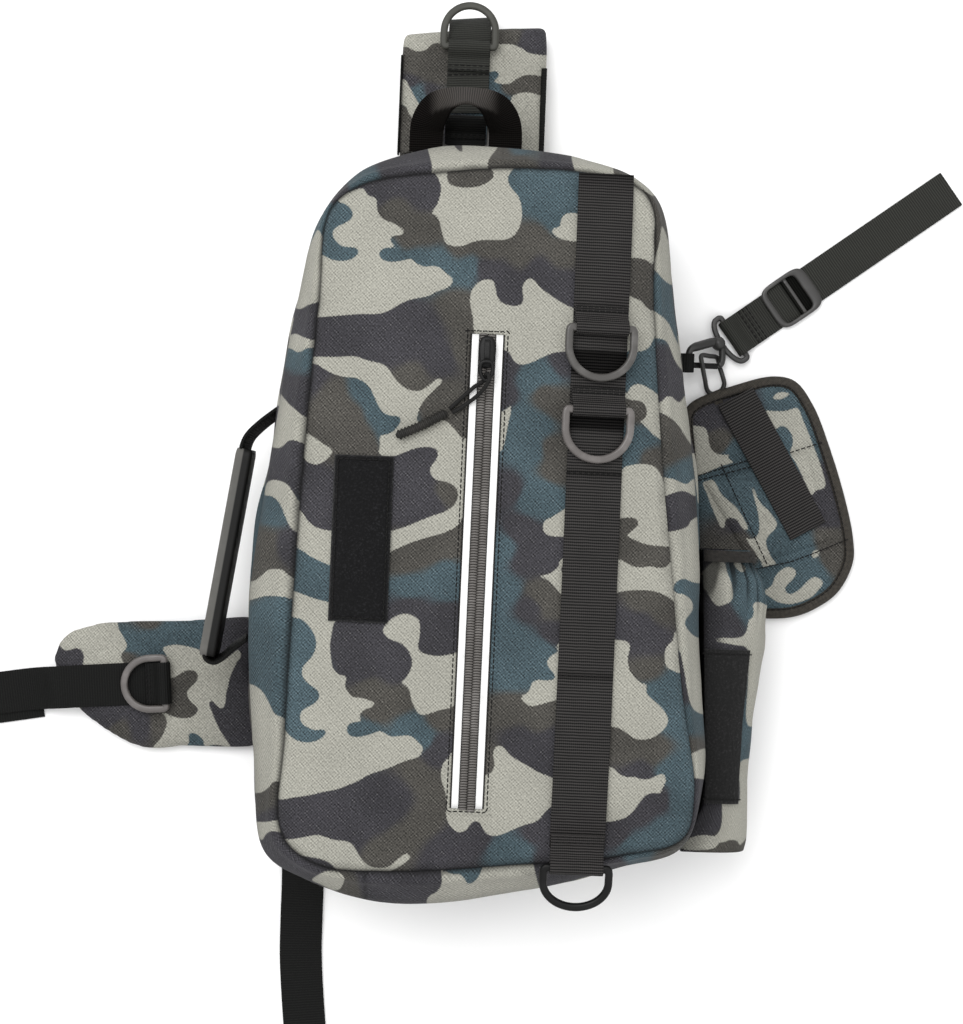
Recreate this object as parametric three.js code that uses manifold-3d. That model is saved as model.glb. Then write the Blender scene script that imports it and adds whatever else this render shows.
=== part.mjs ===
// A fishing sling bag lying on its back: two padded lobes behind a domed front panel, with straps,
// handles, D-rings, a side pocket and a clipped-on pouch.
// Millimetres. +Z points up from the back panel, +Y to the bag's top, +X to the side pocket.
// The origin is the centre of the back panel's underside.
import * as THREE from "three";
import { mergeVertices } from "three/addons/utils/BufferGeometryUtils.js";
import Module from "manifold-3d";

// Driving dimensions of the body.
const CLOTH = 2.5;
const GAP = 0.3;
const SEAM_Z = 121.8;
const DOME_RISE = 13.5;
const DOME_POWER = 3.2;
const OUTLINE_SAMPLES = 3;
const BODY_CENTRE = { x: 12, y: 0 };

// How many spans each curve gets, and how many sides each round bar.
const SPANS = {
  pullEye: 14,
  pullCord: 24,
  pullSleeve: 6,
  ringArc: 10,
  fold: 8,
  padTurn: 8,
  webbingTurn: 7,
  arch: 14,
  grip: 4,
  handleEnd: 8,
  wing: 32,
  wingStrap: 16,
  lowerStrap: 14,
  pouch: 40,
  pouchRing: 22,
  pouchTab: 14,
  sideTab: 18,
  hook: 18,
  gate: 4,
};
const SIDES = { ring: 6, cord: 8, hook: 8, sleeve: 10 };

// Stations round the body, clockwise from the top: the front seam, and the widest part of the rear lobe.
const STATIONS = [
  { name: "top middle", seamX: 7.5, seamY: 194.6, wideX: 7, wideY: 214 },
  { name: "top right", seamX: 52, seamY: 194.3, wideX: 55, wideY: 209 },
  { name: "upper right corner", seamX: 80, seamY: 189, wideX: 83, wideY: 200.5 },
  { name: "upper right corner", seamX: 91, seamY: 178, wideX: 99, wideY: 182 },
  { name: "right", seamX: 94, seamY: 126, wideX: 110, wideY: 122 },
  { name: "right", seamX: 101, seamY: 50, wideX: 122, wideY: 58 },
  { name: "right", seamX: 109, seamY: -16, wideX: 129.5, wideY: -5 },
  { name: "right", seamX: 118, seamY: -86, wideX: 133, wideY: -80 },
  { name: "lower right corner", seamX: 127, seamY: -142, wideX: 136, wideY: -140 },
  { name: "lower right corner", seamX: 122, seamY: -166, wideX: 124, wideY: -177 },
  { name: "bottom", seamX: 87, seamY: -177, wideX: 90, wideY: -189 },
  { name: "bottom", seamX: 30, seamY: -184.5, wideX: 35, wideY: -205 },
  { name: "bottom", seamX: -35, seamY: -190.5, wideX: -40, wideY: -213 },
  { name: "lower left corner", seamX: -78, seamY: -188, wideX: -86, wideY: -202 },
  { name: "lower left corner", seamX: -97, seamY: -172, wideX: -110, wideY: -188 },
  { name: "left", seamX: -97.5, seamY: -120, wideX: -119.5, wideY: -130 },
  { name: "left", seamX: -96, seamY: -50, wideX: -126, wideY: -50 },
  { name: "left", seamX: -93, seamY: 35, wideX: -117, wideY: 38 },
  { name: "left", seamX: -88, seamY: 120, wideX: -104, wideY: 122 },
  { name: "upper left corner", seamX: -84, seamY: 168, wideX: -93, wideY: 166 },
  { name: "upper left corner", seamX: -66, seamY: 183, wideX: -72, wideY: 199 },
  { name: "top left", seamX: -25, seamY: 191, wideX: -30, wideY: 213 },
];

// Rows of each lobe: height, and how far the outline has spread from the front seam to the widest part.
const REAR_LOBE = [
  { z: 3, spread: 0.8 },
  { z: 12, spread: 0.96 },
  { z: 30, spread: 1.03 },
  { z: 58, spread: 1.03 },
  { z: 74, spread: 0.95 },
  { z: 82.8, spread: 0.8 },
];
const FRONT_LOBE = [
  { z: 83.1, spread: 0.8 },
  { z: 90, spread: 0.88 },
  { z: 98, spread: 0.89 },
  { z: 107, spread: 0.7 },
  { z: 115, spread: 0.38 },
  { z: 121.5, spread: 0 },
];
const BACK_PANEL = [
  { z: 0, inset: 5 },
  { z: 2, inset: 0 },
  { z: 7, inset: 0 },
  { z: 9, inset: 6 },
];
const DOME_RINGS = [0.2, 0.5, 0.7, 0.86, 1];

// Trim on the front panel: corners at its top and bottom edges.
const FRONT_ZIP = { top: 103, bottom: -154, topX: 4.6, bottomX: 3.4, width: 19 };
const CHAIN = { width: 8.6, thickness: 2.2 };
const STRIP = { width: 3.5, offset: 6.3, thickness: 0.6 };
const TAPE = { thickness: 1.1, lift: -2.1 };
const SLIDER = {
  x: 4.6,
  y: 93,
  height: 4,
  rows: [
    { along: 8, half: 2.6 },
    { along: 3, half: 4.6 },
    { along: -4, half: 4.2 },
    { along: -8, half: 3.2 },
  ],
};
const PULL = {
  rod: 1.1,
  eye: [[-2.6, -6, 0], [2.6, -6, 0], [3, -12, -0.6], [0, -15.5, -1], [-3, -12, -0.6]],
  cordRadius: 1.1,
  cord: [
    [-14.5, 61.6, 1.6], [-8, 68, 1.8], [-1, 74.4, 3.2], [3.2, 77.4, 3.2], [4.8, 81.4, 6.2], [6.3, 78.2, 9.2],
    [2.4, 71.5, 5.6], [-5.5, 64.6, 2.2], [-13, 59.6, 1.8],
  ],
  sleeveRadius: 2.6,
  sleeve: [[-15.6, 59.8, 3.1], [-28, 52.6, 3], [-42.5, 45.9, 3]],
};
const FRONT_PATCH = { x: -59.5, width: 32.3, top: 35, bottom: -55, thickness: 2 };
const FRONT_WEBBING = { topX: 65.5, bottomX: 64, width: 30, top: 191, bottom: -173, thickness: 1.4, lift: 0.4 };

// D-rings: a round bar bent to a D, its straight side held in a fold of webbing.
const RING_ROD = 2.1;
const FOLD_THICKNESS = 1.2;
const FOLD_SLACK = 0.35;
const FOLD_CLEAR = 0.25;
const FOLD_RETURN = [
  { along: 0.8, rise: 0.72 },
  { along: 2.1, rise: -0.36 },
  { along: 3, rise: -0.6 },
];
const FOLD_RADIUS = RING_ROD + FOLD_SLACK + FOLD_THICKNESS / 2;
const BAR_HEIGHT = FOLD_RADIUS + FOLD_THICKNESS / 2 + GAP;
const FRONT_RING = { width: 35.6, reach: 26.5, fold: 29.6, tail: 12 };
const FRONT_RINGS = [
  { name: "front_upper", y: 108 },
  { name: "front_lower", y: 64 },
];
const BOTTOM_RING = { name: "front_bottom", y: -183, reach: 22, tail: 18, lift: 0.2 };
const STRAP_RING = { width: 30, reach: 24, fold: 24.6, tail: 14 };
const RING_DROOP = 0.045;
const RING_SHOULDER = 0.36;
const RING_CORNER = 1.2;
const SEAT_REACH = 12;

// Straps, handles and pads. Rows of outlines and paths are [x, y] or [x, y, z].
const STRAP_WIDTH = 25;
const STRAP_THICKNESS = 1.6;
const STRAP_PAD = {
  left: -53,
  right: 33,
  hem: 214.6,
  fold: 290.5,
  thickness: 11,
  slack: 1,
  slant: 0.109,
  edge: 3,
  tuck: 0.8,
  lap: 0.5,
};
const STRAP_WEBBING = { x: -13, width: 24.6, start: 240, ringBar: 278, turnEnd: -0.1 };
const GRAB_HANDLE = {
  x: -12.5,
  base: 214.8,
  leg: 7,
  z: 62,
  rise: 9,
  radius: 22.5,
  reach: 19,
  width: 19,
  thickness: 2.2,
  lean: 1.4,
  footDrop: 1,
};
const BASE_RING = {
  x: -13,
  bar: 231,
  z: 44,
  width: 28.8,
  reach: 13,
  shoulder: 0.75,
  fold: 23.6,
  tail: 9.6,
  run: 15.6,
};
const SIDE_GRIP = {
  width: 11,
  depth: 26,
  edge: 2.5,
  z: 53,
  upper: { x: -134, y: 37.5 },
  lower: { x: -150.2, y: -81 },
};
const HANDLE_WEBBING = {
  depth: 24,
  thickness: 2.2,
  upper: [[-116.6, 57], [-124, 51], [-130.5, 45], [-133.7, 38.2]],
  lower: [[-150.4, -81.7], [-149.2, -86.2], [-142.5, -85.4], [-129.2, -71.5]],
};
const WING = {
  outline: [
    [-124.3, -62], [-127, -59.4], [-165, -61.5], [-201, -63.9], [-223.3, -67.2], [-239.5, -75.5], [-245.5, -89],
    [-240.5, -106], [-230, -119.4], [-199.8, -138.9], [-184.9, -142.4], [-167.2, -141.1], [-121, -137.6],
    [-117.9, -134], [-119.9, -112], [-123, -86],
  ],
  rows: [
    { z: 0.3, inset: 5 },
    { z: 3, inset: 0 },
    { z: 9, inset: 0 },
    { z: 12, inset: 6 },
  ],
  strap: [
    [-174.6, -100.8, 13.2], [-200, -102.8, 13.2], [-232, -105.6, 13.2], [-242, -106.6, 12], [-250, -107.6, 6.4],
    [-259, -108.9, 1.6], [-275, -111.6, 1.1], [-306, -116.6, 1.1],
  ],
  ringSeat: [-177, -101, 14],
  slope: 0.083,
  ringTail: 11.4,
};
const LOWER_STRAP = [
  [-93, -204.2, 6], [-92.6, -208.6, 2.4], [-92.4, -217, 1.1], [-92.3, -240, 1.1], [-91.8, -262, 1.1],
  [-88.1, -301, 1.1], [-85, -325, 1.1],
];
const POCKET = {
  wall: 1.8,
  low: 18,
  high: 74,
  squareness: 0.6,
  rows: [
    { y: -9, inner: 131, outer: 159 },
    { y: -16, inner: 131.5, outer: 160.5 },
    { y: -26, inner: 132, outer: 167 },
    { y: -40, inner: 132.6, outer: 170 },
    { y: -65, inner: 133.7, outer: 170 },
    { y: -105, inner: 135.6, outer: 165 },
    { y: -140, inner: 137.3, outer: 163 },
    { y: -172, inner: 137.6, outer: 164 },
    { y: -180, inner: 137.6, outer: 162.5 },
  ],
  binding: [-9.3, -15.7],
  patch: [-65, -105, -140, -152],
  trim: 1.8,
  points: 11,
  patchFrom: 9,
  hollow: 8,
  mouth: 5,
};
const POUCH = {
  outline: [
    [122.5, 70], [127.5, 77.5], [151.9, 88.1], [174.8, 94.4], [187.9, 92], [199.1, 78.2], [209.6, 54.3],
    [220.3, 23.3], [226, -0.1], [226.5, -13.7], [218.4, -31.8], [204, -43.1], [189.4, -48.4], [160, -49],
    [138, -46], [131.5, -40], [128.5, 0], [124.5, 45],
  ],
  rows: [
    { z: 0.6, inset: 5 },
    { z: 2, inset: 3.3 },
    { z: 4.2, inset: 3.3 },
    { z: 5.4, inset: 5 },
  ],
  top: 5.4,
  binding: 3,
  bindingHeight: 6.4,
  pocket: [[134, 30], [198, 53], [215, -2], [166, -20]],
  pocketThickness: 1.5,
  webbing: [[154, 78.6], [198.6, 3.5]],
  webbingWidth: 23.5,
  ringRod: 1.4,
  ring: [
    [130.5, 103.8, 17], [131.3, 98.6, 17], [133.5, 91, 13], [136.2, 84.2, 11], [139, 83.6, 10.7],
    [144, 86, 10.7], [145.8, 88.6, 10.2], [144.6, 93, 7.4], [142.6, 99, 4.6], [141.2, 103.8, 4.8],
    [136, 104.4, 11],
  ],
  tabWidth: 5.4,
  tab: [
    [144.3, 74, 7.7], [142.2, 81.6, 7.8], [140.9, 87.4, 9.8], [140.8, 87, 12.8], [142.6, 80.6, 13.2],
    [144.3, 74, 9.4],
  ],
  tabAcross: [0.9, 0.42, 0],
};
const HOOK = {
  rod: 1.6,
  tabY: 102.5,
  tabWidth: 4.6,
  tab: [[114.6, 18.3], [118.5, 18.6], [123.4, 18.9], [126, 16.2], [123.4, 13.6], [118.5, 13.9], [114.2, 14.2]],
  body: [
    [141.6, 98.9, 8.4], [143.4, 101, 7.4], [143.7, 106, 7.2], [142.6, 111.4, 7.8], [139.5, 112.9, 9.2],
    [131, 110.6, 13], [124.6, 107.8, 16], [123.4, 105.6, 16.2], [123.4, 99.6, 16.2], [125, 98.5, 15.6],
  ],
  gate: [[126, 98.5, 15.2], [133, 98.5, 12.2], [140.6, 98.7, 8.9]],
};
const CLIP_STRAP = {
  heading: 0.64,
  eye: { x: 150.6, y: 116.6 },
  ring: { width: 29, reach: 8.4, fold: 23.2, tail: 18 },
  run: [[157, 1], [100, 1], [60, 1], [28, 1], [24, 1.2]],
};
const TRI_GLIDE = {
  near: 27.2,
  far: 56,
  middle: 43.7,
  width: 26.1,
  corner: 3,
  rod: 1.1,
  z: 3,
  bar: 4,
  barThickness: 1.6,
};

const wasm = await Module();
wasm.setup();

const COLOURS = {
  camo: 0x77786f,
  webbing: 0x2d2a28,
  plastic: 0x464442,
  pale: 0xe6e6e2,
  felt: 0x161616,
  zip: 0x605e5b,
};
const finishes = {
  camo: new THREE.MeshStandardMaterial({ color: COLOURS.camo, roughness: 0.85 }),
  webbing: new THREE.MeshStandardMaterial({ color: COLOURS.webbing, roughness: 0.75 }),
  plastic: new THREE.MeshStandardMaterial({ color: COLOURS.plastic, roughness: 0.45 }),
  reflective: new THREE.MeshStandardMaterial({ color: COLOURS.pale, roughness: 0.35 }),
  felt: new THREE.MeshStandardMaterial({ color: COLOURS.felt, roughness: 0.95 }),
  zip: new THREE.MeshStandardMaterial({ color: COLOURS.zip, roughness: 0.5 }),
};

const bag = new THREE.Group();

function add(name, geometry, finish, parent = bag) {
  const mesh = new THREE.Mesh(geometry, finishes[finish]);
  mesh.name = name;
  parent.add(mesh);
  return mesh;
}

const vec = (x, y, z) => new THREE.Vector3(x, y, z);
const mix = THREE.MathUtils.lerp;
const steps = (count) => Array.from({ length: count + 1 }, (_, i) => i / count);

// A closed solid through rings of points, all with the same even number of points.
// The last ring joins the first where closed is true, and otherwise both end rings are capped.
function loft(rings, closed = false) {
  const n = rings[0].length;
  const faces = [];
  const spans = closed ? rings.length : rings.length - 1;
  for (let i = 0; i < spans; i++) {
    const a = i * n;
    const b = ((i + 1) % rings.length) * n;
    for (let j = 0; j < n; j++) {
      const k = (j + 1) % n;
      faces.push(a + j, a + k, b + k, a + j, b + k, b + j);
    }
  }
  for (let j = 0; !closed && j < n / 2 - 1; j++) {
    const near = [n - 1 - j, n - 2 - j, j + 1, j];
    const far = [...near].reverse().map((index) => index + spans * n);
    for (const [a, b, c, d] of [near, far]) faces.push(a, b, c, a, c, d);
  }
  const points = rings.flat();
  const volume = (i) => points[faces[i]].dot(points[faces[i + 1]].clone().cross(points[faces[i + 2]]));
  let total = 0;
  for (let i = 0; i < faces.length; i += 3) total += volume(i);
  if (total < 0) faces.reverse();
  const geometry = new THREE.BufferGeometry();
  geometry.setAttribute("position", new THREE.Float32BufferAttribute(points.flatMap((p) => p.toArray()), 3));
  geometry.setIndex(faces);
  return geometry;
}

function solid(geometry) {
  const merged = mergeVertices(geometry, 1e-4);
  const vertProperties = merged.attributes.position.array;
  const triVerts = new Uint32Array(merged.index.array);
  return new wasm.Manifold(new wasm.Mesh({ numProp: 3, vertProperties, triVerts }));
}

function geometryOf(manifold) {
  const mesh = manifold.getMesh();
  const geometry = new THREE.BufferGeometry();
  geometry.setAttribute("position", new THREE.BufferAttribute(mesh.vertProperties, 3));
  geometry.setIndex(new THREE.BufferAttribute(mesh.triVerts, 1));
  return geometry;
}

// A section swept along a path. Each section point is { side, up }, measured from the path towards the
// side of travel and towards the up direction given for that point of the path. A band that turns over
// keeps one sideways direction instead, given as across.
function sweep(path, section, { closed = false, up = () => vec(0, 0, 1), across = null } = {}) {
  const count = path.length;
  const rings = path.map((point, i) => {
    const before = path[closed ? (i + count - 1) % count : Math.max(i - 1, 0)];
    const after = path[closed ? (i + 1) % count : Math.min(i + 1, count - 1)];
    const along = after.clone().sub(before).normalize();
    const side = across ? across.clone().normalize() : along.clone().cross(up(i)).normalize();
    const rise = side.clone().cross(along).normalize();
    return section.map((s) => point.clone().addScaledVector(side, s.side).addScaledVector(rise, s.up));
  });
  return loft(rings, closed);
}

const round = (radius, sides) =>
  Array.from({ length: sides }, (_, i) => {
    const angle = ((i + 0.5) / sides) * 2 * Math.PI;
    return { side: radius * Math.cos(angle), up: radius * Math.sin(angle) };
  });

const flat = (width, thickness) => [
  { side: -width / 2, up: -thickness / 2 },
  { side: width / 2, up: -thickness / 2 },
  { side: width / 2, up: thickness / 2 },
  { side: -width / 2, up: thickness / 2 },
];

const curve = (rows, count, closed = false) => {
  const line = new THREE.CatmullRomCurve3(rows.map((row) => vec(...row)), closed, "centripetal");
  const points = line.getPoints(count);
  return closed ? points.slice(0, -1) : points;
};

// A closed loop moved in by an inset, square to its own direction.
function moveIn(loop, inset) {
  const n = loop.length;
  const area = loop.reduce((sum, p, i) => sum + p.x * loop[(i + 1) % n].y - p.y * loop[(i + 1) % n].x, 0);
  return loop.map((point, i) => {
    const along = loop[(i + 1) % n].clone().sub(loop.at(i - 1)).normalize();
    return point.clone().addScaledVector(vec(-along.y, along.x, 0), Math.sign(area) * inset);
  });
}

// The body's outline at a spread between the front seam and the widest part, moved in by an inset.
function outline(spread, z, inset = 0) {
  const rows = STATIONS.map((s) => [mix(s.seamX, s.wideX, spread), mix(s.seamY, s.wideY, spread), z]);
  return moveIn(curve(rows, STATIONS.length * OUTLINE_SAMPLES, true), inset);
}

const seam = outline(0, SEAM_Z);

// How far a point of the front lies from the body's centre, as a share of the way to the seam.
function seamShare(x, y) {
  const dx = x - BODY_CENTRE.x;
  const dy = y - BODY_CENTRE.y;
  for (let i = 0; i < seam.length; i++) {
    const a = seam[i];
    const b = seam[(i + 1) % seam.length];
    const [ax, ay] = [a.x - BODY_CENTRE.x, a.y - BODY_CENTRE.y];
    const [bx, by] = [b.x - BODY_CENTRE.x, b.y - BODY_CENTRE.y];
    const [first, second] = [ax * dy - ay * dx, bx * dy - by * dx];
    const ahead = ax * dx + ay * dy > 0;
    if (ahead && first * second <= 0 && first !== second) {
      const t = first / (first - second);
      const edge = Math.hypot(mix(ax, bx, t), mix(ay, by, t));
      return Math.hypot(dx, dy) / edge;
    }
  }
  return 0;
}

const domeZ = (share) => SEAM_Z + CLOTH + DOME_RISE * (1 - share ** DOME_POWER);
const frontZ = (x, y) => domeZ(seamShare(x, y));

// A flat strip that follows the front panel, lifted off it.
function laidStrip({ top, bottom, topX, bottomX, width, lift, thickness, columns = 2, rows = 12 }) {
  const rings = steps(rows).map((t) => {
    const y = mix(top, bottom, t);
    const edge = steps(columns).map((c) => {
      const x = mix(topX, bottomX, t) + (c - 0.5) * width;
      return vec(x, y, frontZ(x, y) + lift);
    });
    const over = edge.map((p) => p.clone().add(vec(0, 0, thickness)));
    return [...edge, ...over.reverse()];
  });
  return loft(rings);
}

function makeBody() {
  const shell = (lobe) => {
    const outer = lobe.map((row) => outline(row.spread, row.z));
    const inner = lobe.map((row) => outline(row.spread, row.z, CLOTH)).reverse();
    const rows = [...outer, ...inner];
    return loft(rows[0].map((_, i) => rows.map((row) => row[i])), true);
  };
  add("rear_gusset", shell(REAR_LOBE), "camo");
  add("front_gusset", shell(FRONT_LOBE), "camo");
  const back = BACK_PANEL.map((row) => outline(REAR_LOBE[0].spread, row.z, CLOTH + GAP + row.inset));
  add("back_panel", loft(back), "camo");

  const domeRing = (share, drop) =>
    seam.map((p) => {
      const x = mix(BODY_CENTRE.x, p.x, share);
      const y = mix(BODY_CENTRE.y, p.y, share);
      return vec(x, y, domeZ(share) - drop);
    });
  const top = DOME_RINGS.map((share) => domeRing(share, 0));
  const under = DOME_RINGS.map((share) => domeRing(share, CLOTH)).reverse();
  const slot = laidStrip({ ...FRONT_ZIP, lift: -3 * CLOTH, thickness: 6 * CLOTH, rows: 1, columns: 1 });
  add("front_panel", geometryOf(solid(loft([...top, ...under])).subtract(solid(slot))), "camo");
}

// The front zip lies in its slot: tape, chain and two reflective strips, with a slider and its pull.
function makeFrontZip() {
  const inside = { top: FRONT_ZIP.top - GAP, bottom: FRONT_ZIP.bottom + GAP, rows: 14, columns: 1 };
  const tape = { ...FRONT_ZIP, ...inside, ...TAPE, width: FRONT_ZIP.width - 2 * GAP };
  add("zip_tape", laidStrip(tape), "webbing");
  const onTape = { ...FRONT_ZIP, ...inside, lift: TAPE.lift + TAPE.thickness + GAP };
  add("zip_chain", laidStrip({ ...onTape, ...CHAIN }), "zip");
  for (const [name, side] of [["left", -1], ["right", 1]]) {
    const [topX, bottomX] = [FRONT_ZIP.topX, FRONT_ZIP.bottomX].map((x) => x + side * STRIP.offset);
    add(`reflective_strip_${name}`, laidStrip({ ...onTape, ...STRIP, topX, bottomX }), "reflective");
  }
  const chainTop = frontZ(SLIDER.x, SLIDER.y) + onTape.lift + CHAIN.thickness;
  const base = vec(SLIDER.x, SLIDER.y, chainTop + 2 * GAP);
  const sliderRings = SLIDER.rows.map(({ along, half }) =>
    flat(2 * half, SLIDER.height).map((s) => base.clone().add(vec(s.side, along, s.up + SLIDER.height / 2))),
  );
  add("zip_slider", loft(sliderRings), "plastic");
  const eyeZ = base.z + SLIDER.height + GAP + PULL.rod;
  const eye = curve(PULL.eye.map(([x, y, z]) => [SLIDER.x + x, SLIDER.y + y, eyeZ + z]), SPANS.pullEye, true);
  add("zip_pull_eye", sweep(eye, round(PULL.rod, SIDES.ring), { closed: true }), "plastic");
  const onFront = ([x, y, lift]) => [x, y, frontZ(x, y) + lift];
  const loop = curve(PULL.cord.map(onFront), SPANS.pullCord);
  add("zip_pull_cord", sweep(loop, round(PULL.cordRadius, SIDES.cord)), "webbing");
  const sleeve = curve(PULL.sleeve.map(onFront), SPANS.pullSleeve);
  add("zip_pull_end", sweep(sleeve, round(PULL.sleeveRadius, SIDES.sleeve)), "webbing");
}

// A D-ring on its straight bar, and the fold of webbing that holds the bar, both in a group whose X axis
// is the bar and whose Y axis points to the ring's arc. The tail lies behind the bar, or under the ring,
// and run is the rest of a longer strap that ends in the fold.
function addRing(name, size, seat, options = {}) {
  const { tailUnderRing = false, droop = RING_DROOP, run = [] } = options;
  const { ringName = `d_ring_${name}`, foldName = `ring_fold_${name}` } = options;
  const group = new THREE.Group();
  const normal = seat.across.clone().cross(seat.toArc).normalize();
  const toArc = normal.clone().cross(seat.across).normalize();
  group.matrix.makeBasis(seat.across.clone().normalize(), toArc, normal);
  group.matrix.setPosition(seat.point.clone().addScaledVector(normal, BAR_HEIGHT));
  group.matrix.decompose(group.position, group.quaternion, group.scale);
  bag.add(group);

  const half = size.width / 2;
  const shoulder = size.reach * (size.shoulder ?? RING_SHOULDER);
  const arc = steps(SPANS.ringArc).map((t) => {
    const angle = Math.PI * t;
    return vec(half * Math.cos(angle), shoulder + (size.reach - shoulder) * Math.sin(angle), 0);
  });
  const bar = [vec(-half + RING_CORNER, 0, 0), vec(0, 0, 0), vec(half - RING_CORNER, 0, 0)];
  const rod = round(RING_ROD, SIDES.ring);
  const ring = add(ringName, sweep([...arc, ...bar], rod, { closed: true }), "plastic", group);
  ring.rotation.x = -droop;

  const tailSide = tailUnderRing ? 1 : -1;
  const foldAngles = steps(SPANS.fold).map((t) => Math.PI * t);
  const upper = -FOLD_RADIUS + FOLD_THICKNESS + FOLD_CLEAR;
  const path = [
    ...run,
    vec(0, tailSide * size.tail, -FOLD_RADIUS),
    ...foldAngles.map((a) => vec(0, -tailSide * FOLD_RADIUS * Math.sin(a), -FOLD_RADIUS * Math.cos(a))),
    ...FOLD_RETURN.map(({ along, rise }) =>
      vec(0, tailSide * FOLD_RADIUS * along, Math.max(upper, FOLD_RADIUS * rise)),
    ),
    vec(0, tailSide * size.tail, upper),
  ];
  const band = { across: vec(1, 0, 0) };
  add(foldName, sweep(path, flat(size.fold, FOLD_THICKNESS), band), "webbing", group);
}

// Where a ring's fold sits on the front webbing: the point under the bar, and the surface's two slopes.
function frontSeat(y) {
  const share = (FRONT_WEBBING.top - y) / (FRONT_WEBBING.top - FRONT_WEBBING.bottom);
  const x = mix(FRONT_WEBBING.topX, FRONT_WEBBING.bottomX, share);
  const reach = SEAT_REACH;
  const z = frontZ(x, y) + FRONT_WEBBING.lift + FRONT_WEBBING.thickness;
  const across = vec(2 * reach, 0, frontZ(x + reach, y) - frontZ(x - reach, y));
  const toArc = vec(0, -2 * reach, frontZ(x, y - reach) - frontZ(x, y + reach));
  return { point: vec(x, y, z), across: across.negate(), toArc };
}

function makeFrontTrim() {
  const patch = { ...FRONT_PATCH, topX: FRONT_PATCH.x, bottomX: FRONT_PATCH.x, lift: GAP, columns: 3 };
  add("hook_loop_patch_front", laidStrip(patch), "felt");
  add("front_webbing", laidStrip({ ...FRONT_WEBBING, columns: 4, rows: 24 }), "webbing");
  for (const { name, y } of FRONT_RINGS) addRing(name, FRONT_RING, frontSeat(y));
  const last = frontSeat(BOTTOM_RING.y);
  last.point.z += BOTTOM_RING.lift;
  addRing(BOTTOM_RING.name, { ...FRONT_RING, reach: BOTTOM_RING.reach, tail: BOTTOM_RING.tail }, last);
}

// The shoulder strap's pad comes out of the back, folds over at its top and returns to the bag.
// Its fold is slanted, so every point moves along Y by its distance from the strap's middle.
function makeShoulderStrap() {
  const middle = (STRAP_PAD.left + STRAP_PAD.right) / 2;
  const lower = GAP + STRAP_PAD.thickness / 2;
  const bend = (STRAP_PAD.thickness + STRAP_PAD.slack) / 2;
  const turn = STRAP_PAD.fold - bend - STRAP_PAD.thickness / 2;
  const slanted = (geometry) => {
    const place = geometry.attributes.position;
    for (let i = 0; i < place.count; i++) {
      const share = (place.getY(i) - STRAP_PAD.hem) / (STRAP_PAD.fold - STRAP_PAD.hem);
      const shift = STRAP_PAD.slant * (place.getX(i) - middle) * Math.max(share, 0);
      place.setY(i, place.getY(i) + shift);
    }
    return geometry;
  };
  const around = (radius, from, to, count) =>
    steps(count).map((t) => {
      const angle = mix(from, to, t);
      return vec(0, turn + radius * Math.cos(angle), lower + bend + radius * Math.sin(angle));
    });
  const upper = lower + 2 * bend;
  const pad = [
    vec(0, STRAP_PAD.hem - STRAP_PAD.tuck, lower),
    ...around(bend, -Math.PI / 2, Math.PI / 2, SPANS.padTurn),
    vec(0, STRAP_PAD.hem + STRAP_PAD.lap, upper),
  ].map((p) => p.setX(middle));
  const band = { across: vec(1, 0, 0) };
  const width = STRAP_PAD.right - STRAP_PAD.left;
  const section = padSection(width, STRAP_PAD.thickness, STRAP_PAD.edge);
  add("shoulder_strap", slanted(sweep(pad, section, band)), "camo");

  const top = upper + STRAP_PAD.thickness / 2 + GAP + STRAP_THICKNESS / 2;
  const webbing = [
    vec(0, STRAP_WEBBING.start, top),
    ...around(top - lower - bend, Math.PI / 2, STRAP_WEBBING.turnEnd, SPANS.webbingTurn),
  ].map((p) => p.setX(STRAP_WEBBING.x));
  add("strap_webbing", slanted(sweep(webbing, flat(STRAP_WEBBING.width, STRAP_THICKNESS), band)), "webbing");
  const seat = {
    point: vec(STRAP_WEBBING.x, STRAP_WEBBING.ringBar, top + STRAP_THICKNESS / 2),
    across: vec(1, 0, 0),
    toArc: vec(0, 1, 0),
  };
  addRing("strap", STRAP_RING, seat);
}

// A flat section with its edges rounded off, for pads.
function padSection(width, thickness, edge) {
  const [w, t] = [width / 2, thickness / 2];
  const corner = [[w, -t + edge], [w, t - edge], [w - edge, t]];
  const right = [[w - edge, -t], ...corner];
  const left = right.map(([side, up]) => [-side, up]).reverse();
  return [...right, ...left].map(([side, up]) => ({ side, up }));
}

function makeGrabHandle() {
  const { x, base, leg, z, rise, radius, reach, lean, footDrop } = GRAB_HANDLE;
  const arch = steps(SPANS.arch).map((t) => {
    const angle = Math.PI * t;
    return vec(x + radius * Math.cos(angle), base + leg + reach * Math.sin(angle), z + rise * Math.sin(angle));
  });
  const foot = (side) => vec(x + side * radius, base, z - footDrop);
  const path = [foot(1), ...arch, foot(-1)];
  const up = (i) => {
    const out = path[i].clone().sub(vec(x, base, z)).setZ(0).normalize();
    const share = (path[i].y - base) / (reach + leg);
    return vec(0, 0, 1).addScaledVector(out, lean * share ** 3);
  };
  add("grab_handle", sweep(path, flat(GRAB_HANDLE.width, GRAB_HANDLE.thickness), { up }), "webbing");
  const seat = {
    point: vec(BASE_RING.x, BASE_RING.bar, BASE_RING.z),
    across: vec(-1, 0, 0),
    toArc: vec(0, -1, 0),
  };
  const run = [vec(0, BASE_RING.run, -FOLD_RADIUS)];
  addRing("strap_base", BASE_RING, seat, { tailUnderRing: true, droop: 0, run });
}

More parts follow.
